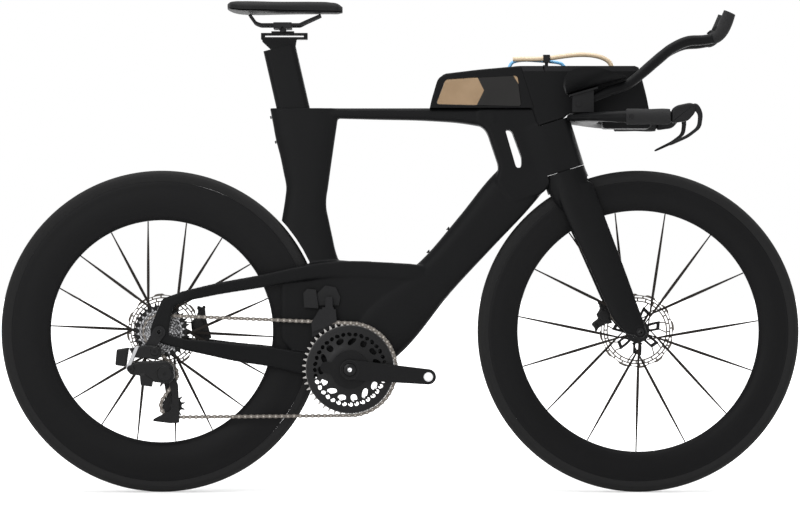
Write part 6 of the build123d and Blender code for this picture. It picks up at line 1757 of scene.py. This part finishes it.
    def cassette(self) -> bpy.types.Object:
        """Cogs from small to large on their sleeve, before a black largest cog."""
        low, high = span("cassette")
        centre = np.array([REAR_AXLE[0], 0.0, REAR_AXLE[1]])
        teeth = [10, 11, 12, 13, 14, 15, 16, 17, 19, 21, 24, 26]
        step = (high - low - 1.6) / (len(teeth) - 1)
        phase = self.pins()[1][0]
        grids = []
        for index, count in enumerate(teeth):
            bore = max(17.2, self.pitch_radius(count) - 13.0)
            grids.append(self.toothed(count, phase + 0.3 * index, low + index * step, 1.6, bore) + centre)
        sleeve = np.array([(17.1, low + 0.4), (19.4, low + 0.4), (44.0, high - 1.9), (44.0, high - 0.3), (17.1, high - 0.3)])
        return gathered([
            solid("cassette_cogs", grids, closed=True), solid("sleeve", [turned_grid(sleeve, REAR_AXLE, 96)], closed=True)
        ])

    def cage(self) -> bpy.types.Object:
        """Rear derailleur cage: a bowed outer plate with a pointed foot, and a plain inner plate."""
        low, high = span("derailleur_cage")
        plate = [(17.0, -105.0), (31.0, -97.0), (37.5, -110.0), (40.0, -160.6), (40.1, -191.1), (21.3, -192.0)]
        plate += [(-15.5, -187.5), (-15.0, -182.8), (9.0, -170.5), (21.3, -164.6), (25.0, -146.5), (23.7, -127.7)]
        inner = [(4.0, -90.0), (18.0, -86.0), (33.0, -152.0), (28.0, -166.0), (16.0, -162.0)]
        outer_low = max(low, self.plane - 8.4)
        made = solid("cage_plates", [
            plate_grid([from_rear(*point) for point in plate], outer_low, outer_low + 2.6, 3.5, 0.8),
            plate_grid([from_rear(*point) for point in inner], high - 2.2, high, 4.0, 0.7),
        ])
        pins = [disc_grid(from_rear(*self.tension), outer_low - 0.6, high, 4.0, 0.4)]
        pins.append(disc_grid(from_rear(*self.guide), outer_low + 1.0, high, 3.4, 0.4))
        return gathered([made, solid("pins", pins)])

    def crank_trim(self) -> None:
        """Rings on the right crank: dark spindle cap with a bright middle, and a bright pedal insert."""
        face = span("right_crank")[0]
        p = self.palette
        turn = math.radians(-5.15)
        pedal = from_crank(165.0 * math.cos(turn), 165.0 * math.sin(turn))
        cap = np.array([(4.6, -1.0), (9.0, -1.2), (12.8, -0.2), (13.4, 1.2), (17.6, 1.2), (18.4, -0.9), (20.4, -0.9)])
        base = np.array([(21.0, 0.4), (21.0, 1.6), (4.6, 1.6)])
        rows = np.concatenate([cap, base]) + (0.0, face)
        placed(solid("spindle_cap", [turned_grid(rows, CRANK_AXLE, 96)], closed=True), "crankset", p.gloss_black)
        middle = np.array([(2.2, -0.9), (4.5, -1.1), (4.5, 1.4), (2.2, 1.4)]) + (0.0, face)
        placed(solid("spindle_bolt", [turned_grid(middle, CRANK_AXLE, 48)], closed=True), "crankset", p.steel)

        insert = np.array([(7.3, -0.4), (9.6, -0.4), (9.9, 0.0), (9.9, 3.0), (7.3, 3.0)]) + (0.0, -73.0)
        placed(solid("pedal_insert", [turned_grid(insert, pedal, 64)], closed=True), "crankset", p.steel)

    def link(self) -> bpy.types.Object:
        """Bright outer link of the rear derailleur."""
        low, high = span("derailleur_link")
        bar = [(-48.6, -29.0), (-40.0, -28.0), (-56.0, -66.4), (-62.0, -77.0), (-68.4, -75.0)]
        made = solid("derailleur_outer_link", [plate_grid([from_rear(*point) for point in bar], low, low + 5.0, 3.0, 1.2)])
        back = solid("back", [plate_grid([from_rear(*point) for point in bar], high - 4.0, high, 3.0, 1.2)])
        return gathered([made, back])

    def build(self) -> None:
        """Builds and places the pieces of the drive."""
        p = self.palette
        pins, phases = self.pins()
        placed(self.chain(pins), "frame", p.chain, ("chain",), 30.0)
        placed(self.rings(phases[1]), "crankset", p.rings, ("chainrings",), 30.0)
        placed(self.knuckle(), "frame", p.gloss_black, ("derailleur_knuckle",), 30.0)
        placed(self.link(), "derailleur_link", p.bright_link, ("derailleur_link",), 30.0)
        placed(self.lower_knuckle(), "derailleur_lower", p.gloss_black, ("derailleur_lower_knuckle",), 30.0)
        placed(self.cassette(), "cassette", p.cassette, ("cassette",), 30.0)
        placed(self.cage(), "derailleur_cage", p.gloss_black, ("derailleur_cage",), 30.0)
        centre = np.array([REAR_AXLE[0], 0.0, REAR_AXLE[1]])
        high = span("cassette")[1] - 0.1
        largest = self.toothed(29, phases[0], high - 1.7, 1.6, 44.5, 2.4) + centre
        placed(solid("largest_cog", [largest], closed=True), "cassette", p.gloss_black, (), 30.0)
        self.crank_trim()
        for node in ("derailleur_cage", "derailleur_knuckle", "derailleur_link", "right_crank", "cassette", "rear_hub"):
            log.info("%s spans %.1f to %.1f", node, *span(node))


# Saddle


@dataclass
class Saddle:
    """Short-nosed saddle: padded cover with a relief channel over a thin shell."""

    palette: Palette
    top: float = 1035.0
    channel_depth: float = 9.0
    channel_half: float = 7.5

    def body(self, rings: int, sides: int, grow: float, shell: bool) -> Array:
        """Lofted body of the saddle.

        Half the section's width, its top and its lip follow smooth curves along X. The upper side is
        a superellipse arch, less a round-bottomed channel along the middle, and the lower side is flat.

        Args:
            rings: Rings along X.
            sides: Points of a ring.
            grow: Distance by which the width grows.
            shell: True for the shell under the cover.

        Returns:
            Points in a grid of rings by sides.
        """
        stations = np.array(
            [
                (-363.2, 0, 0, 20.0, 1029.5, 1021.0, 1017.5),
                (-358.0, 0, 0, 46.0, 1032.4, 1019.0, 1015.0),
                (-348.0, 0, 0, 60.0, 1034.2, 1016.5, 1012.0),
                (-330.0, 0, 0, 65.5, 1034.6, 1014.5, 1009.8),
                (-303.0, 0, 0, 65.0, 1034.4, 1014.3, 1008.6),
                (-275.0, 0, 0, 55.0, 1034.0, 1014.4, 1008.5),
                (-250.0, 0, 0, 44.0, 1034.0, 1014.4, 1008.5),
                (-215.0, 0, 0, 31.0, 1034.4, 1014.4, 1008.5),
                (-180.0, 0, 0, 26.0, 1034.6, 1014.3, 1008.5),
                (-148.0, 0, 0, 24.0, 1033.4, 1014.0, 1008.5),
                (-130.0, 0, 0, 21.0, 1029.5, 1013.6, 1008.8),
                (-121.2, 0, 0, 10.0, 1023.0, 1014.0, 1010.5),
            ],
            float,
        )
        path = spread(stations, rings)
        x, half = path[:, 0:1], path[:, 3:4] + grow
        top, lip, low = path[:, 4:5], path[:, 5:6], path[:, 6:7]
        if shell:
            top, lip = lip - 0.3, lip - 2.0
        else:
            low = lip
        turn = np.linspace(0.0, 2 * math.pi, sides, endpoint=False)[None]
        y = half * bent_power(np.cos(turn), np.full_like(turn, 2 / 2.5))
        arch = np.clip(np.sin(turn), 0.0, 1.0) ** (2 / 3.4)
        under = np.clip(-np.sin(turn), 0.0, 1.0) ** (2 / 2.4)
        z = lip + (top - lip) * arch - (lip - low) * under
        if not shell:
            mask = np.clip((x + 340.0) / 30.0, 0, 1) * np.clip((-130.0 - x) / 20.0, 0, 1)
            groove = np.exp(-((y / self.channel_half) ** 4)) * mask * mask * (3 - 2 * mask)
            z = z - self.channel_depth * groove * arch
        return np.stack([np.broadcast_to(x, y.shape), y, z], axis=-1)

    def build(self) -> None:
        """Builds and places the cover and the shell."""
        cover = solid("saddle_padding", [self.body(150, 144, 0.0, False)])
        placed(cover, "saddle", self.palette.saddle, ("saddle_cover",), 60.0)
        shell = solid("saddle_base", [self.body(110, 72, -2.0, True)])
        placed(shell, "saddle", self.palette.plastic, ("saddle_shell",), 50.0)


# Cockpit


@dataclass
class Cockpit:
    """Base bar, levers, forearm cups with pads, extensions and grips."""

    palette: Palette
    bar_middle: float = 786.8
    grip_offset: float = 195.0
    cup_offset: float = 92.0
    tip_offset: float = 62.0
    cup_half: float = 46.0
    cup_height: float = 46.0
    cup_wall: float = 3.0
    cup_tilt: float = 16.0

    def base_bar(self) -> bpy.types.Object:
        """Wing-shaped base bar with its two round horns."""
        grids = []
        for side in (1, -1):
            rows = []
            for x, y, drop, dx, chord, thick, power in (
                (398.0, -1.0, 0.0, 0.0, 48.0, 20.0, 2.6),
                (398.0, 10.0, 0.0, 0.0, 49.0, 20.0, 2.6),
                (392.7, 45.0, 0.0, 0.0, 60.0, 20.0, 2.5),
                (385.7, 78.0, 0.0, 0.0, 76.0, 19.4, 2.4),
                (395.7, 112.0, 1.0, 0.35, 54.0, 18.8, 2.4),
                (411.7, 150.0, 1.5, 0.7, 40.0, 20.0, 2.4),
                (433.7, 178.0, 2.0, 1.0, 30.0, 22.0, 2.3),
                (455.7, 190.0, 2.5, 2.8, 24.2, 24.0, 2.0),
                (464.0, 192.0, 2.5, 9.0, 24.0, 24.0, 2.0),
                (510.0, 193.8, 2.8, 30.0, 24.0, 24.0, 2.0),
                (556.0, 195.0, 3.0, 40.0, 24.0, 24.0, 2.0),
            ):
                direction = np.array([dx, side, 0.0])
                chord_axis = np.cross(unit(direction), (0, 0, 1))
                rows.append([x, side * y, self.bar_middle - drop, *direction, *chord_axis, chord, thick, power])
            grids.append(tube_grid(bar_rows(rows), 120, 48))
        return melted(solid("base_bar_shell", grids), 1.6, 6)

    def lever_body(self, side: int) -> bpy.types.Object:
        """Slim lever body at the end of a horn, slotted for its blade."""
        corners = [
            (556.3, self.bar_middle - 16.8),
            (556.3, self.bar_middle + 10.8),
            from_head(219.0, 136.0),
            from_head(248.0, 142.0),
            from_head(259.0, 137.0),
            from_head(258.0, 121.0),
            from_head(243.0, 104.0),
        ]
        low, high = side * self.grip_offset - 10.0, side * self.grip_offset + 10.0
        name = "right_lever_body" if side < 0 else "left_lever_body"
        made = solid(name, [slab_grid(rounded_outline(corners, 7.0), low, high, 5.5, 6)])
        middle = side * self.grip_offset
        slot = [(590.0, 700.0), (660.0, 700.0), (660.0, 900.0), (590.0, 900.0)]
        tools = [solid("slot", [slab_grid(rounded_outline(slot, 1.0), middle - 4.5, middle + 4.5, 0.5)])]
        return worked(made, tools, Cut.AWAY)

    def lever_blade(self, side: int) -> bpy.types.Object:
        """Curved blade with a rounded edge all round."""
        corners = [
            from_head(248.3, 138.2),
            from_head(260.0, 141.2),
            from_head(268.0, 134.0),
            from_head(274.3, 118.2),
            from_head(270.3, 90.0),
            from_head(244.3, 70.0),
            from_head(205.3, 52.7),
            from_head(203.3, 56.9),
            from_head(241.3, 76.2),
            from_head(262.0, 92.2),
            from_head(264.5, 116.2),
            from_head(258.0, 125.5),
            from_head(248.3, 126.2),
        ]
        middle = side * self.grip_offset
        name = "right_lever_blade" if side < 0 else "left_lever_blade"
        made = solid(name, [slab_grid(rounded_outline(corners, 9.0, 8), middle - 4.0, middle + 4.0, 1.8, 5)])
        hole = solid("hole", [disc_grid(from_head(252.3, 132.2), middle - 9.0, middle + 9.0, 2.6)])
        return worked(made, [hole], Cut.AWAY)

    def trough(self, side: int, skin: float, rise: Array, rows: int, turns: int) -> Array:
        """Open trough along the tilted forearm line.

        The section is the lower half of an ellipse, and it climbs on both sides to a height that
        changes along the trough: the angle at its edge is the arc cosine of one less height over depth.

        Args:
            side: 1 for left, -1 for right.
            skin: Distance in from the outside.
            rise: Rows of distance along the trough and height of its edge.
            rows: Rows along the trough.
            turns: Points across it.

        Returns:
            Points in a grid of rows by turns.
        """
        tilt = math.radians(self.cup_tilt)
        table = np.array([(run, 0.0, 0.0, height) for run, height in rise], float)
        path = spread(table, rows)
        run, height = path[:, 0:1], path[:, 3:4]
        width, depth = self.cup_half - skin, self.cup_height - skin
        edge = np.arccos(np.clip(1 - (height - skin) / depth, -1, 1))
        turn = edge * np.linspace(-1.0, 1.0, turns)[None]
        rise_up = skin + depth * (1 - np.cos(turn))
        x = 351.3 + run * math.cos(tilt) - rise_up * math.sin(tilt)
        y = side * self.cup_offset + width * np.sin(turn)
        z = 833.8 + run * math.sin(tilt) + rise_up * math.cos(tilt)
        return np.stack([x, y, z], axis=-1)

    def cup(self, side: int) -> Array:
        """Forearm cup: thin shell that is high at the elbow and runs out flat in front."""
        rise = [(-4.0, 20.0), (4.0, 38.0), (20.0, 46.0), (40.0, 45.0), (60.0, 41.0), (80.0, 31.0)]
        rise += [(102.0, 18.0), (118.0, 8.0), (124.0, 4.5)]
        outer = self.trough(side, 0.0, rise, 70, 60)
        inner = self.trough(side, self.cup_wall, rise, 70, 60)
        return self.wrap(outer, inner)

    def pad(self, side: int) -> Array:
        """Foam pad: crowned skin over the cup, thin at its edges and full in the middle."""
        rise = [(4.0, 24.0), (8.0, 34.0), (22.0, 41.0), (42.0, 40.5), (60.0, 36.5), (78.0, 28.0), (92.0, 19.0)]
        outer = self.trough(side, self.cup_wall + 0.3, rise, 60, 70)
        inner = self.trough(side, self.cup_wall + 8.0, rise, 60, 70)
        along = np.linspace(-1.0, 1.0, 60)[:, None]
        across = np.linspace(-1.0, 1.0, 70)[None]
        full = (1 - along**8) * (1 - across**8)
        channel = 1 - 0.28 * np.exp(-((across / 0.05) ** 2)) * (1 - along**4)
        share = (0.25 + 0.75 * full * channel)[..., None]
        return self.wrap(outer, outer + (inner - outer) * share)

    def wrap(self, outer: Array, inner: Array) -> Array:
        """Closed shell from an outer and an inner sheet, as a grid of rings round the section."""
        return np.concatenate([outer, inner[:, ::-1]], axis=1)

    def rows_of(self, side: int, points: list[tuple[float, ...]], width: float) -> Array:
        """Rows of an extension from (dx, dz, y, angle, height, power).

        Args:
            side: 1 for left, -1 for right.
            points: Stations given from the steering point.
            width: Width over height of the section.

        Returns:
            Rows for tube_grid.
        """
        made = []
        for dx, dz, y, angle, height, power in points:
            turn = math.radians(angle)
            centre = (HEAD[0] + dx, side * y, HEAD[1] + dz)
            up = (-math.sin(turn), 0.0, math.cos(turn))
            made.append([*centre, math.cos(turn), 0.0, math.sin(turn), *up, height, height * width, power])
        return bar_rows(made)

    def extension(self, side: int) -> Array:
        """Raised extension that swings in and up towards the grip."""
        points = [
            (40.0, 151.0, 91.0, 21.0, 18.0, 2.3),
            (62.0, 159.5, 89.5, 22.0, 18.0, 2.3),
            (90.0, 171.5, 86.0, 24.0, 21.0, 2.3),
            (120.6, 181.5, 80.0, 28.0, 21.0, 2.3),
            (158.6, 208.9, 74.0, 40.0, 21.0, 2.3),
            (188.2, 234.5, 70.0, 41.0, 22.0, 2.3),
            (222.0, 261.6, 66.0, 35.0, 22.0, 2.3),
            (255.7, 276.5, 63.0, 15.0, 22.0, 2.3),
            (289.5, 279.2, 62.0, 8.0, 21.0, 2.3),
            (306.0, 282.0, 62.0, 16.0, 21.0, 2.3),
        ]
        return tube_grid(self.rows_of(side, points, 1.15), 140, 44)

    def extension_grip(self, side: int) -> bpy.types.Object:
        """Turned-up grip, fuller in the palm, with a pocket for its button."""
        points = [
            (306.3, 282.1, 62.0, 16.0, 23.0, 2.3),
            (311.0, 283.8, 62.0, 24.0, 25.0, 2.3),
            (319.5, 290.0, 62.0, 46.0, 26.5, 2.3),
            (327.0, 300.5, 62.0, 60.0, 28.0, 2.3),
            (334.0, 315.0, 62.0, 66.0, 28.0, 2.3),
            (342.0, 336.0, 62.0, 66.0, 26.0, 2.3),
        ]
        name = "right_extension_grip" if side < 0 else "left_extension_grip"
        grid = tube_grid(self.rows_of(side, points, 1.12), 70, 48, Cap.FLAT)
        made = solid(name, [grid])
        turn = math.radians(130.0)
        out = np.array([math.cos(turn), 0.0, math.sin(turn)])
        heart = np.array([HEAD[0] + 319.5, side * self.tip_offset, HEAD[1] + 293.0])
        rows = [[*(heart + out * reach), *out, 0, 1, 0, 11.2, 11.2, 2.0] for reach in (8.0, 16.0, 30.0)]
        return worked(made, [solid("pocket", [tube_grid(bar_rows(rows), 4, 32)])], Cut.AWAY)

    def bar_grip(self, side: int) -> bpy.types.Object:
        """Straight grip with rolled ends round the horn, with a pocket for its button."""
        name = "right_bar_grip" if side < 0 else "left_bar_grip"
        rows = []
        middle, offset = self.bar_middle - 2.7, self.grip_offset
        for x, radius in ((464.0, 14.4), (465.5, 16.0), (470.0, 16.2), (510.0, 15.7), (548.0, 16.2), (554.0, 15.6)):
            y = side * (offset - 3.0 + 3.0 * (x - 464.0) / 92.0)
            rows.append([x, y, middle, 1, side * 0.03, 0, 0, 1, 0, 2 * radius, 2 * radius, 2.0])
        made = solid(name, [tube_grid(bar_rows(rows), 60, 48)])
        low, high = sorted((side * (offset + 12.4), side * (offset + 40.0)))
        pocket = solid("pocket", [disc_grid(from_head(126.0, 112.5), low, high, 5.6)])
        return worked(made, [pocket], Cut.AWAY)

    def build(self) -> None:
        """Builds and places the cockpit's pieces."""
        p = self.palette
        placed(self.base_bar(), "steering", p.frame, ("base_bar",), 50.0)
        for side, name in ((-1, "right"), (1, "left")):
            placed(self.lever_blade(side), name + "_brake_lever", p.alloy, (name + "_brake_lever",))
        bodies = [placed(self.lever_body(side), "steering", p.plastic) for side in (1, -1)]
        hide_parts("brake_lever_bodies")
        cups = solid("forearm_cups", [self.cup(1), self.cup(-1)])
        placed(cups, "steering", p.frame, ("arm_cups",), 50.0)
        pads = solid("forearm_pads", [self.pad(1), self.pad(-1)])
        placed(pads, "steering", p.knit, ("arm_pads",), 70.0)
        arms = solid("extension_arms", [self.extension(1), self.extension(-1)])
        placed(arms, "steering", p.frame, ("extensions",), 50.0)
        grips = [placed(self.extension_grip(side), "steering", p.rubber) for side in (1, -1)]
        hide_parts("extension_grips")
        sleeves = [placed(self.bar_grip(side), "steering", p.rubber) for side in (1, -1)]
        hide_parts("bar_grips")


# Front module and storage


@dataclass
class Storage:
    """Front module over the steering, and the windowed box behind it."""

    palette: Palette
    half: float = 30.0
    tail_radius: float = 36.0
    cover_seam: float = 886.1

    def module_plan(self, grow: float) -> Array:
        """Plan of the module about the steering axis: round tail, straight sides, rounded nose."""
        half, radius, nose, corner = self.half + grow, self.tail_radius + grow, 216.0 + grow, 14.0
        join = math.asin(half / radius)
        tail = np.linspace(math.pi - join, math.pi + join, 40)
        quarter = np.linspace(-math.pi / 2, 0.0, 12)
        corner_x = nose - corner + corner * np.cos(quarter)
        corner_y = -half + corner + corner * np.sin(quarter)
        lower = np.stack([corner_x, corner_y], axis=1)
        round_tail = np.stack([radius * np.cos(tail), radius * np.sin(tail)], axis=1)
        return np.concatenate([round_tail, lower, lower[::-1] * (1, -1)])

    def module(self) -> bpy.types.Object:
        """Front module, notched below for the base bar, with its cover's seam cut flat."""
        corners = [
            along_steering(-70.0, 113.0),
            along_steering(36.0, 113.0),
            from_head(6.0, 126.5),
            from_head(78.0, 126.5),
            from_head(78.4, 95.0),
            from_head(177.6, 95.0),
            from_head(181.9, 105.5),
            from_head(171.3, 160.6),
            (HEAD[0] + 153.0, self.cover_seam + 20.0),
            (HEAD[0] - 130.0, self.cover_seam + 20.0),
        ]
        outline = rounded_outline(corners, 7.0)
        made = solid("module_shell", [slab_grid(outline, -self.half, self.half, 4.0, 6)])
        worked(made, [solid("plan", [steering_plan(self.module_plan(0.1), 30.0, 330.0)])], Cut.COMMON)
        seam = [(200.0, self.cover_seam), (560.0, self.cover_seam), (560.0, 960.0), (200.0, 960.0)]
        above = solid("above", [slab_grid(rounded_outline(seam, 1.0), -60.0, 60.0, 0.5)])
        return worked(made, [above], Cut.AWAY)

    def box_top(self) -> list[tuple[float, float]]:
        """Top line of the storage box, from its rear corner to the front."""
        return [
            from_head(-281.3, 156.2),
            from_head(-269.6, 196.0),
            from_head(-264.0, 203.5),
            from_head(-250.9, 210.7),
            from_head(-183.4, 218.9),
            from_head(-115.8, 225.2),
            from_head(-60.0, 228.0),
        ]

    def box(self) -> bpy.types.Object:
        """Storage box with its window openings and the room for its lid."""
        floor = SEAT_TOP + 0.2
        corners = [(HEAD[0] - 289.4, floor - 20.0), *self.box_top(), (HEAD[0] - 40.0, 900.0), (HEAD[0] - 40.0, floor - 20.0)]
        made = solid("storage_shell", [slab_grid(rounded_outline(corners, 6.0, 5), -self.half, self.half, 4.0, 6)])
        inner = [
            (HEAD[0] - 280.0, floor + 2.5),
            from_head(-278.0, 157.0),
            from_head(-266.5, 195.0),
            from_head(-250.0, 205.5),
            from_head(-183.4, 214.4),
            from_head(-115.8, 222.7),
            from_head(-76.0, 224.7),
            (HEAD[0] - 76.0, floor + 2.5),
        ]
        window = [(-272.0, 145.7), (-252.5, 198.4), (-187.6, 202.6), (-100.0, 206.8), (-92.0, 141.4)]
        window_line = rounded_outline([from_head(*point) for point in window], 7.0)
        lid_room = [(-262.2, 217.6), (-155.6, 236.0), (-155.6, 217.6), (-183.4, 215.0), (-252.0, 204.0)]
        lid_line = rounded_outline([from_head(*point) for point in lid_room], 1.0)
        under = [(0.0, floor - 60.0), (400.0, floor - 60.0), (400.0, floor), (0.0, floor)]
        tools = [
            solid("inside", [slab_grid(rounded_outline(inner, 3.0), -27.5, 27.5, 2.0)]),
            solid("windows", [slab_grid(window_line, -40.0, 40.0, 0.5)]),
            solid("turning_room", [steering_plan(circle_plan(self.tail_radius + 1.2), 40.0, 330.0)]),
            solid("lid_room", [slab_grid(lid_line, -28.0, 28.0, 0.5)]),
            solid("floor_cut", [slab_grid(rounded_outline(under, 1.0), -60.0, 60.0, 0.5)]),
            solid("tube_hole", [self.post(HEAD[0] - 117.0, 9.0, 880.0, 910.0, 5.0)]),
        ]
        return worked(made, tools, Cut.AWAY)

    def post(self, x: float, y: float, low: float, high: float, radius: float) -> Array:
        """Upright round bar."""
        rows = [[x, y, z, 0, 0, 1, 1, 0, 0, 2 * radius, 2 * radius, 2.0] for z in (low, (low + high) / 2, high)]
        return tube_grid(bar_rows(rows), 3, 32)

    def windows(self) -> bpy.types.Object:
        """Tinted windows, each a thin plate with rounded edges in its opening."""
        seat = [(-271.6, 146.2), (-252.2, 198.0), (-187.6, 202.2), (-100.5, 206.4), (-92.6, 141.9)]
        line = rounded_outline([from_head(*point) for point in seat], 7.0)
        grids = [slab_grid(line, *sorted((side * 27.6, side * 29.6)), 0.7, 5) for side in (1, -1)]
        return solid("window_panes", grids)

    def build(self) -> None:
        """Builds and places the module, box and windows."""
        p = self.palette
        placed(self.module(), "steering", p.frame, ("stem_module",), 45.0)
        placed(self.box(), "frame", p.frame, ("storage_box",), 35.0)
        placed(self.windows(), "frame", p.window, ("box_windows",), 50.0)


@dataclass
class Hoses:
    """Drinking hose over the box and the return hose beside it."""

    palette: Palette
    seat: float = 897.5
    drink_side: float = -6.0
    return_side: float = 9.0

    def hose(self, name: str, route: list[tuple[float, float]], y: float, radius: float) -> bpy.types.Object:
        """Hose as a smooth spline.

        Args:
            name: Name of the piece.
            route: Distance ahead of the steering point and height over the cover.
            y: Distance from the middle plane.
            radius: Outer radius.

        Returns:
            The curve object.
        """
        curve = bpy.data.curves.new(name, "CURVE")
        curve.dimensions, curve.resolution_u = "3D", 12
        curve.bevel_depth, curve.bevel_resolution, curve.use_fill_caps = radius * MM, 6, True
        line = curve.splines.new("NURBS")
        line.points.add(len(route) - 1)
        for point, (ahead, up) in zip(line.points, route):
            point.co = ((HEAD[0] + ahead) * MM, y * MM, (self.seat + up) * MM, 1.0)
        line.order_u = 3
        line.use_endpoint_u = True
        made = bpy.data.objects.new(name, curve)
        bpy.context.scene.collection.objects.link(made)
        return made

    def length(self, route: list[tuple[float, float]]) -> float:
        """Length of the smooth line through a route, in metres, a little under its straight runs."""
        return float(np.linalg.norm(np.diff(np.array(route), axis=0), axis=1).sum()) * MM * 0.985

    def build(self) -> None:
        """Builds and places both hoses."""
        drink = [(98.8, -3.0), (98.0, 6.0), (84.0, 17.5), (60.5, 24.0), (31.0, 25.5), (-2.0, 22.0)]
        drink += [(-32.0, 17.2), (-62.0, 15.6), (-87.0, 15.9), (-109.7, 15.2)]
        back = [(0.6, -3.0), (-2.0, 7.0), (-26.0, 10.9), (-52.0, 12.6), (-78.0, 14.4), (-98.0, 13.6)]
        back += [(-114.0, 8.5), (-117.0, -3.0)]
        for name, node, route, y, radius, end, finish in (
            ("drink_hose", "drink_tube", drink, self.drink_side, 5.0, "bare", self.palette.beige),
            ("return_hose", "return_tube", back, self.return_side, 3.5, "object", self.palette.blue),
        ):
            made = placed(self.hose(name, route, y, radius), "steering", finish, (node,))
            exit_point = ((HEAD[0] + route[0][0]) * MM, y * MM, (self.seat + route[0][1]) * MM)
            length, width = self.length(route), 2 * radius * MM


# Studio


@dataclass
class Studio:
    """Plain pale floor, soft lamps and the camera."""

    distance: float = 7000.0
    eye_height: float = 502.0
    lens: float = 149.2
    world_light: float = 0.62

    def camera(self) -> None:
        """Camera at the side, level with the middle of the picture."""
        data = bpy.data.cameras.new("side_camera")
        data.lens, data.sensor_width = self.lens, 36.0
        data.clip_end = 100.0
        made = bpy.data.objects.new("side_camera", data)
        made.location = (0.0, -self.distance * MM, self.eye_height * MM)
        made.rotation_euler = (math.pi / 2, 0.0, 0.0)
        bpy.context.scene.collection.objects.link(made)
        bpy.context.scene.camera = made

    def lamp(self, name: str, place: tuple, aim: tuple, size: float, power: float) -> None:
        """Square soft lamp.

        Args:
            name: Name of the lamp.
            place: Its position in metres.
            aim: Point that it faces.
            size: Its side in metres.
            power: Its power in watts.
        """
        data = bpy.data.lights.new(name, "AREA")
        data.energy, data.size = power, size
        made = bpy.data.objects.new(name, data)
        made.location = place
        turn = np.array(aim, float) - np.array(place, float)
        flat = math.hypot(turn[0], turn[1])
        made.rotation_euler = (math.atan2(flat, -turn[2]), 0.0, math.atan2(turn[1], turn[0]) - math.pi / 2)
        bpy.context.scene.collection.objects.link(made)

    def world(self) -> None:
        """White surroundings: full white for the camera, softer for the light they give."""
        world = bpy.data.worlds.new("white_room")
        bpy.context.scene.world = world
        world.use_nodes = True
        tree = world.node_tree
        back = tree.nodes["Background"]
        back.inputs["Color"].default_value = (1.0, 1.0, 1.0, 1.0)
        path = tree.nodes.new("ShaderNodeLightPath")
        most, more = tree.nodes.new("ShaderNodeMath"), tree.nodes.new("ShaderNodeMath")
        most.operation = more.operation = "MAXIMUM"
        level = tree.nodes.new("ShaderNodeMapRange")
        level.inputs["To Min"].default_value = self.world_light
        level.inputs["To Max"].default_value = 1.0
        tree.links.new(path.outputs["Is Camera Ray"], most.inputs[0])
        tree.links.new(path.outputs["Is Transmission Ray"], most.inputs[1])
        tree.links.new(most.outputs[0], more.inputs[0])
        tree.links.new(path.outputs["Is Glossy Ray"], more.inputs[1])
        tree.links.new(more.outputs[0], level.inputs["Value"])
        tree.links.new(level.outputs[0], back.inputs["Strength"])

    def floor(self) -> None:
        """Large floor that fades into the backdrop."""
        mesh = bpy.data.meshes.new("floor")
        reach = 30.0
        corners = [(-reach, -reach, 0.0), (reach, -reach, 0.0), (reach, reach, 0.0), (-reach, reach, 0.0)]
        mesh.from_pydata(corners, [], [(0, 1, 2, 3)])
        made = bpy.data.objects.new("floor", mesh)
        made.data.materials.append(StudioFloor().make())
        bpy.context.scene.collection.objects.link(made)

    def build(self) -> None:
        """Sets the view, the lamps, the world and the floor."""
        bpy.context.scene.view_settings.view_transform = "Standard"
        self.camera()
        self.lamp("overhead", (0.0, -0.4, 3.2), (0.0, 0.0, 0.4), 3.0, 95.0)
        self.lamp("front", (-1.6, -4.2, 1.8), (0.0, 0.0, 0.5), 2.0, 60.0)
        self.lamp("rear", (2.2, 3.4, 2.0), (0.0, 0.0, 0.5), 2.0, 45.0)
        self.world()
        self.floor()


def main() -> None:
    """Builds the scene piece by piece."""
    logging.basicConfig(level=logging.INFO, format="%(name)s: %(message)s")
    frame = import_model()
    Studio().build()
    palette = Palette()
    Hoses(palette).build()
    Hardware(palette).dress(frame["nodes"])
    Frameset(palette).build()
    Wheel(palette, "front", "front_wheel", FRONT_AXLE, 62.0, 115.6, 15, 125.0, -29.0, 18.5, 21.0, 0).build()
    Wheel(palette, "rear", "rear_wheel", REAR_AXLE, 82.0, -12.5, 18, 97.2, 37.0, -22.0, 27.0, 1).build()
    Brakes(palette).build()
    Drive(palette).build()
    Saddle(palette).build()
    Cockpit(palette).build()
    Storage(palette).build()
    bpy.context.view_layer.update()
    log.info("done")


if __name__ == "__main__":
    main()
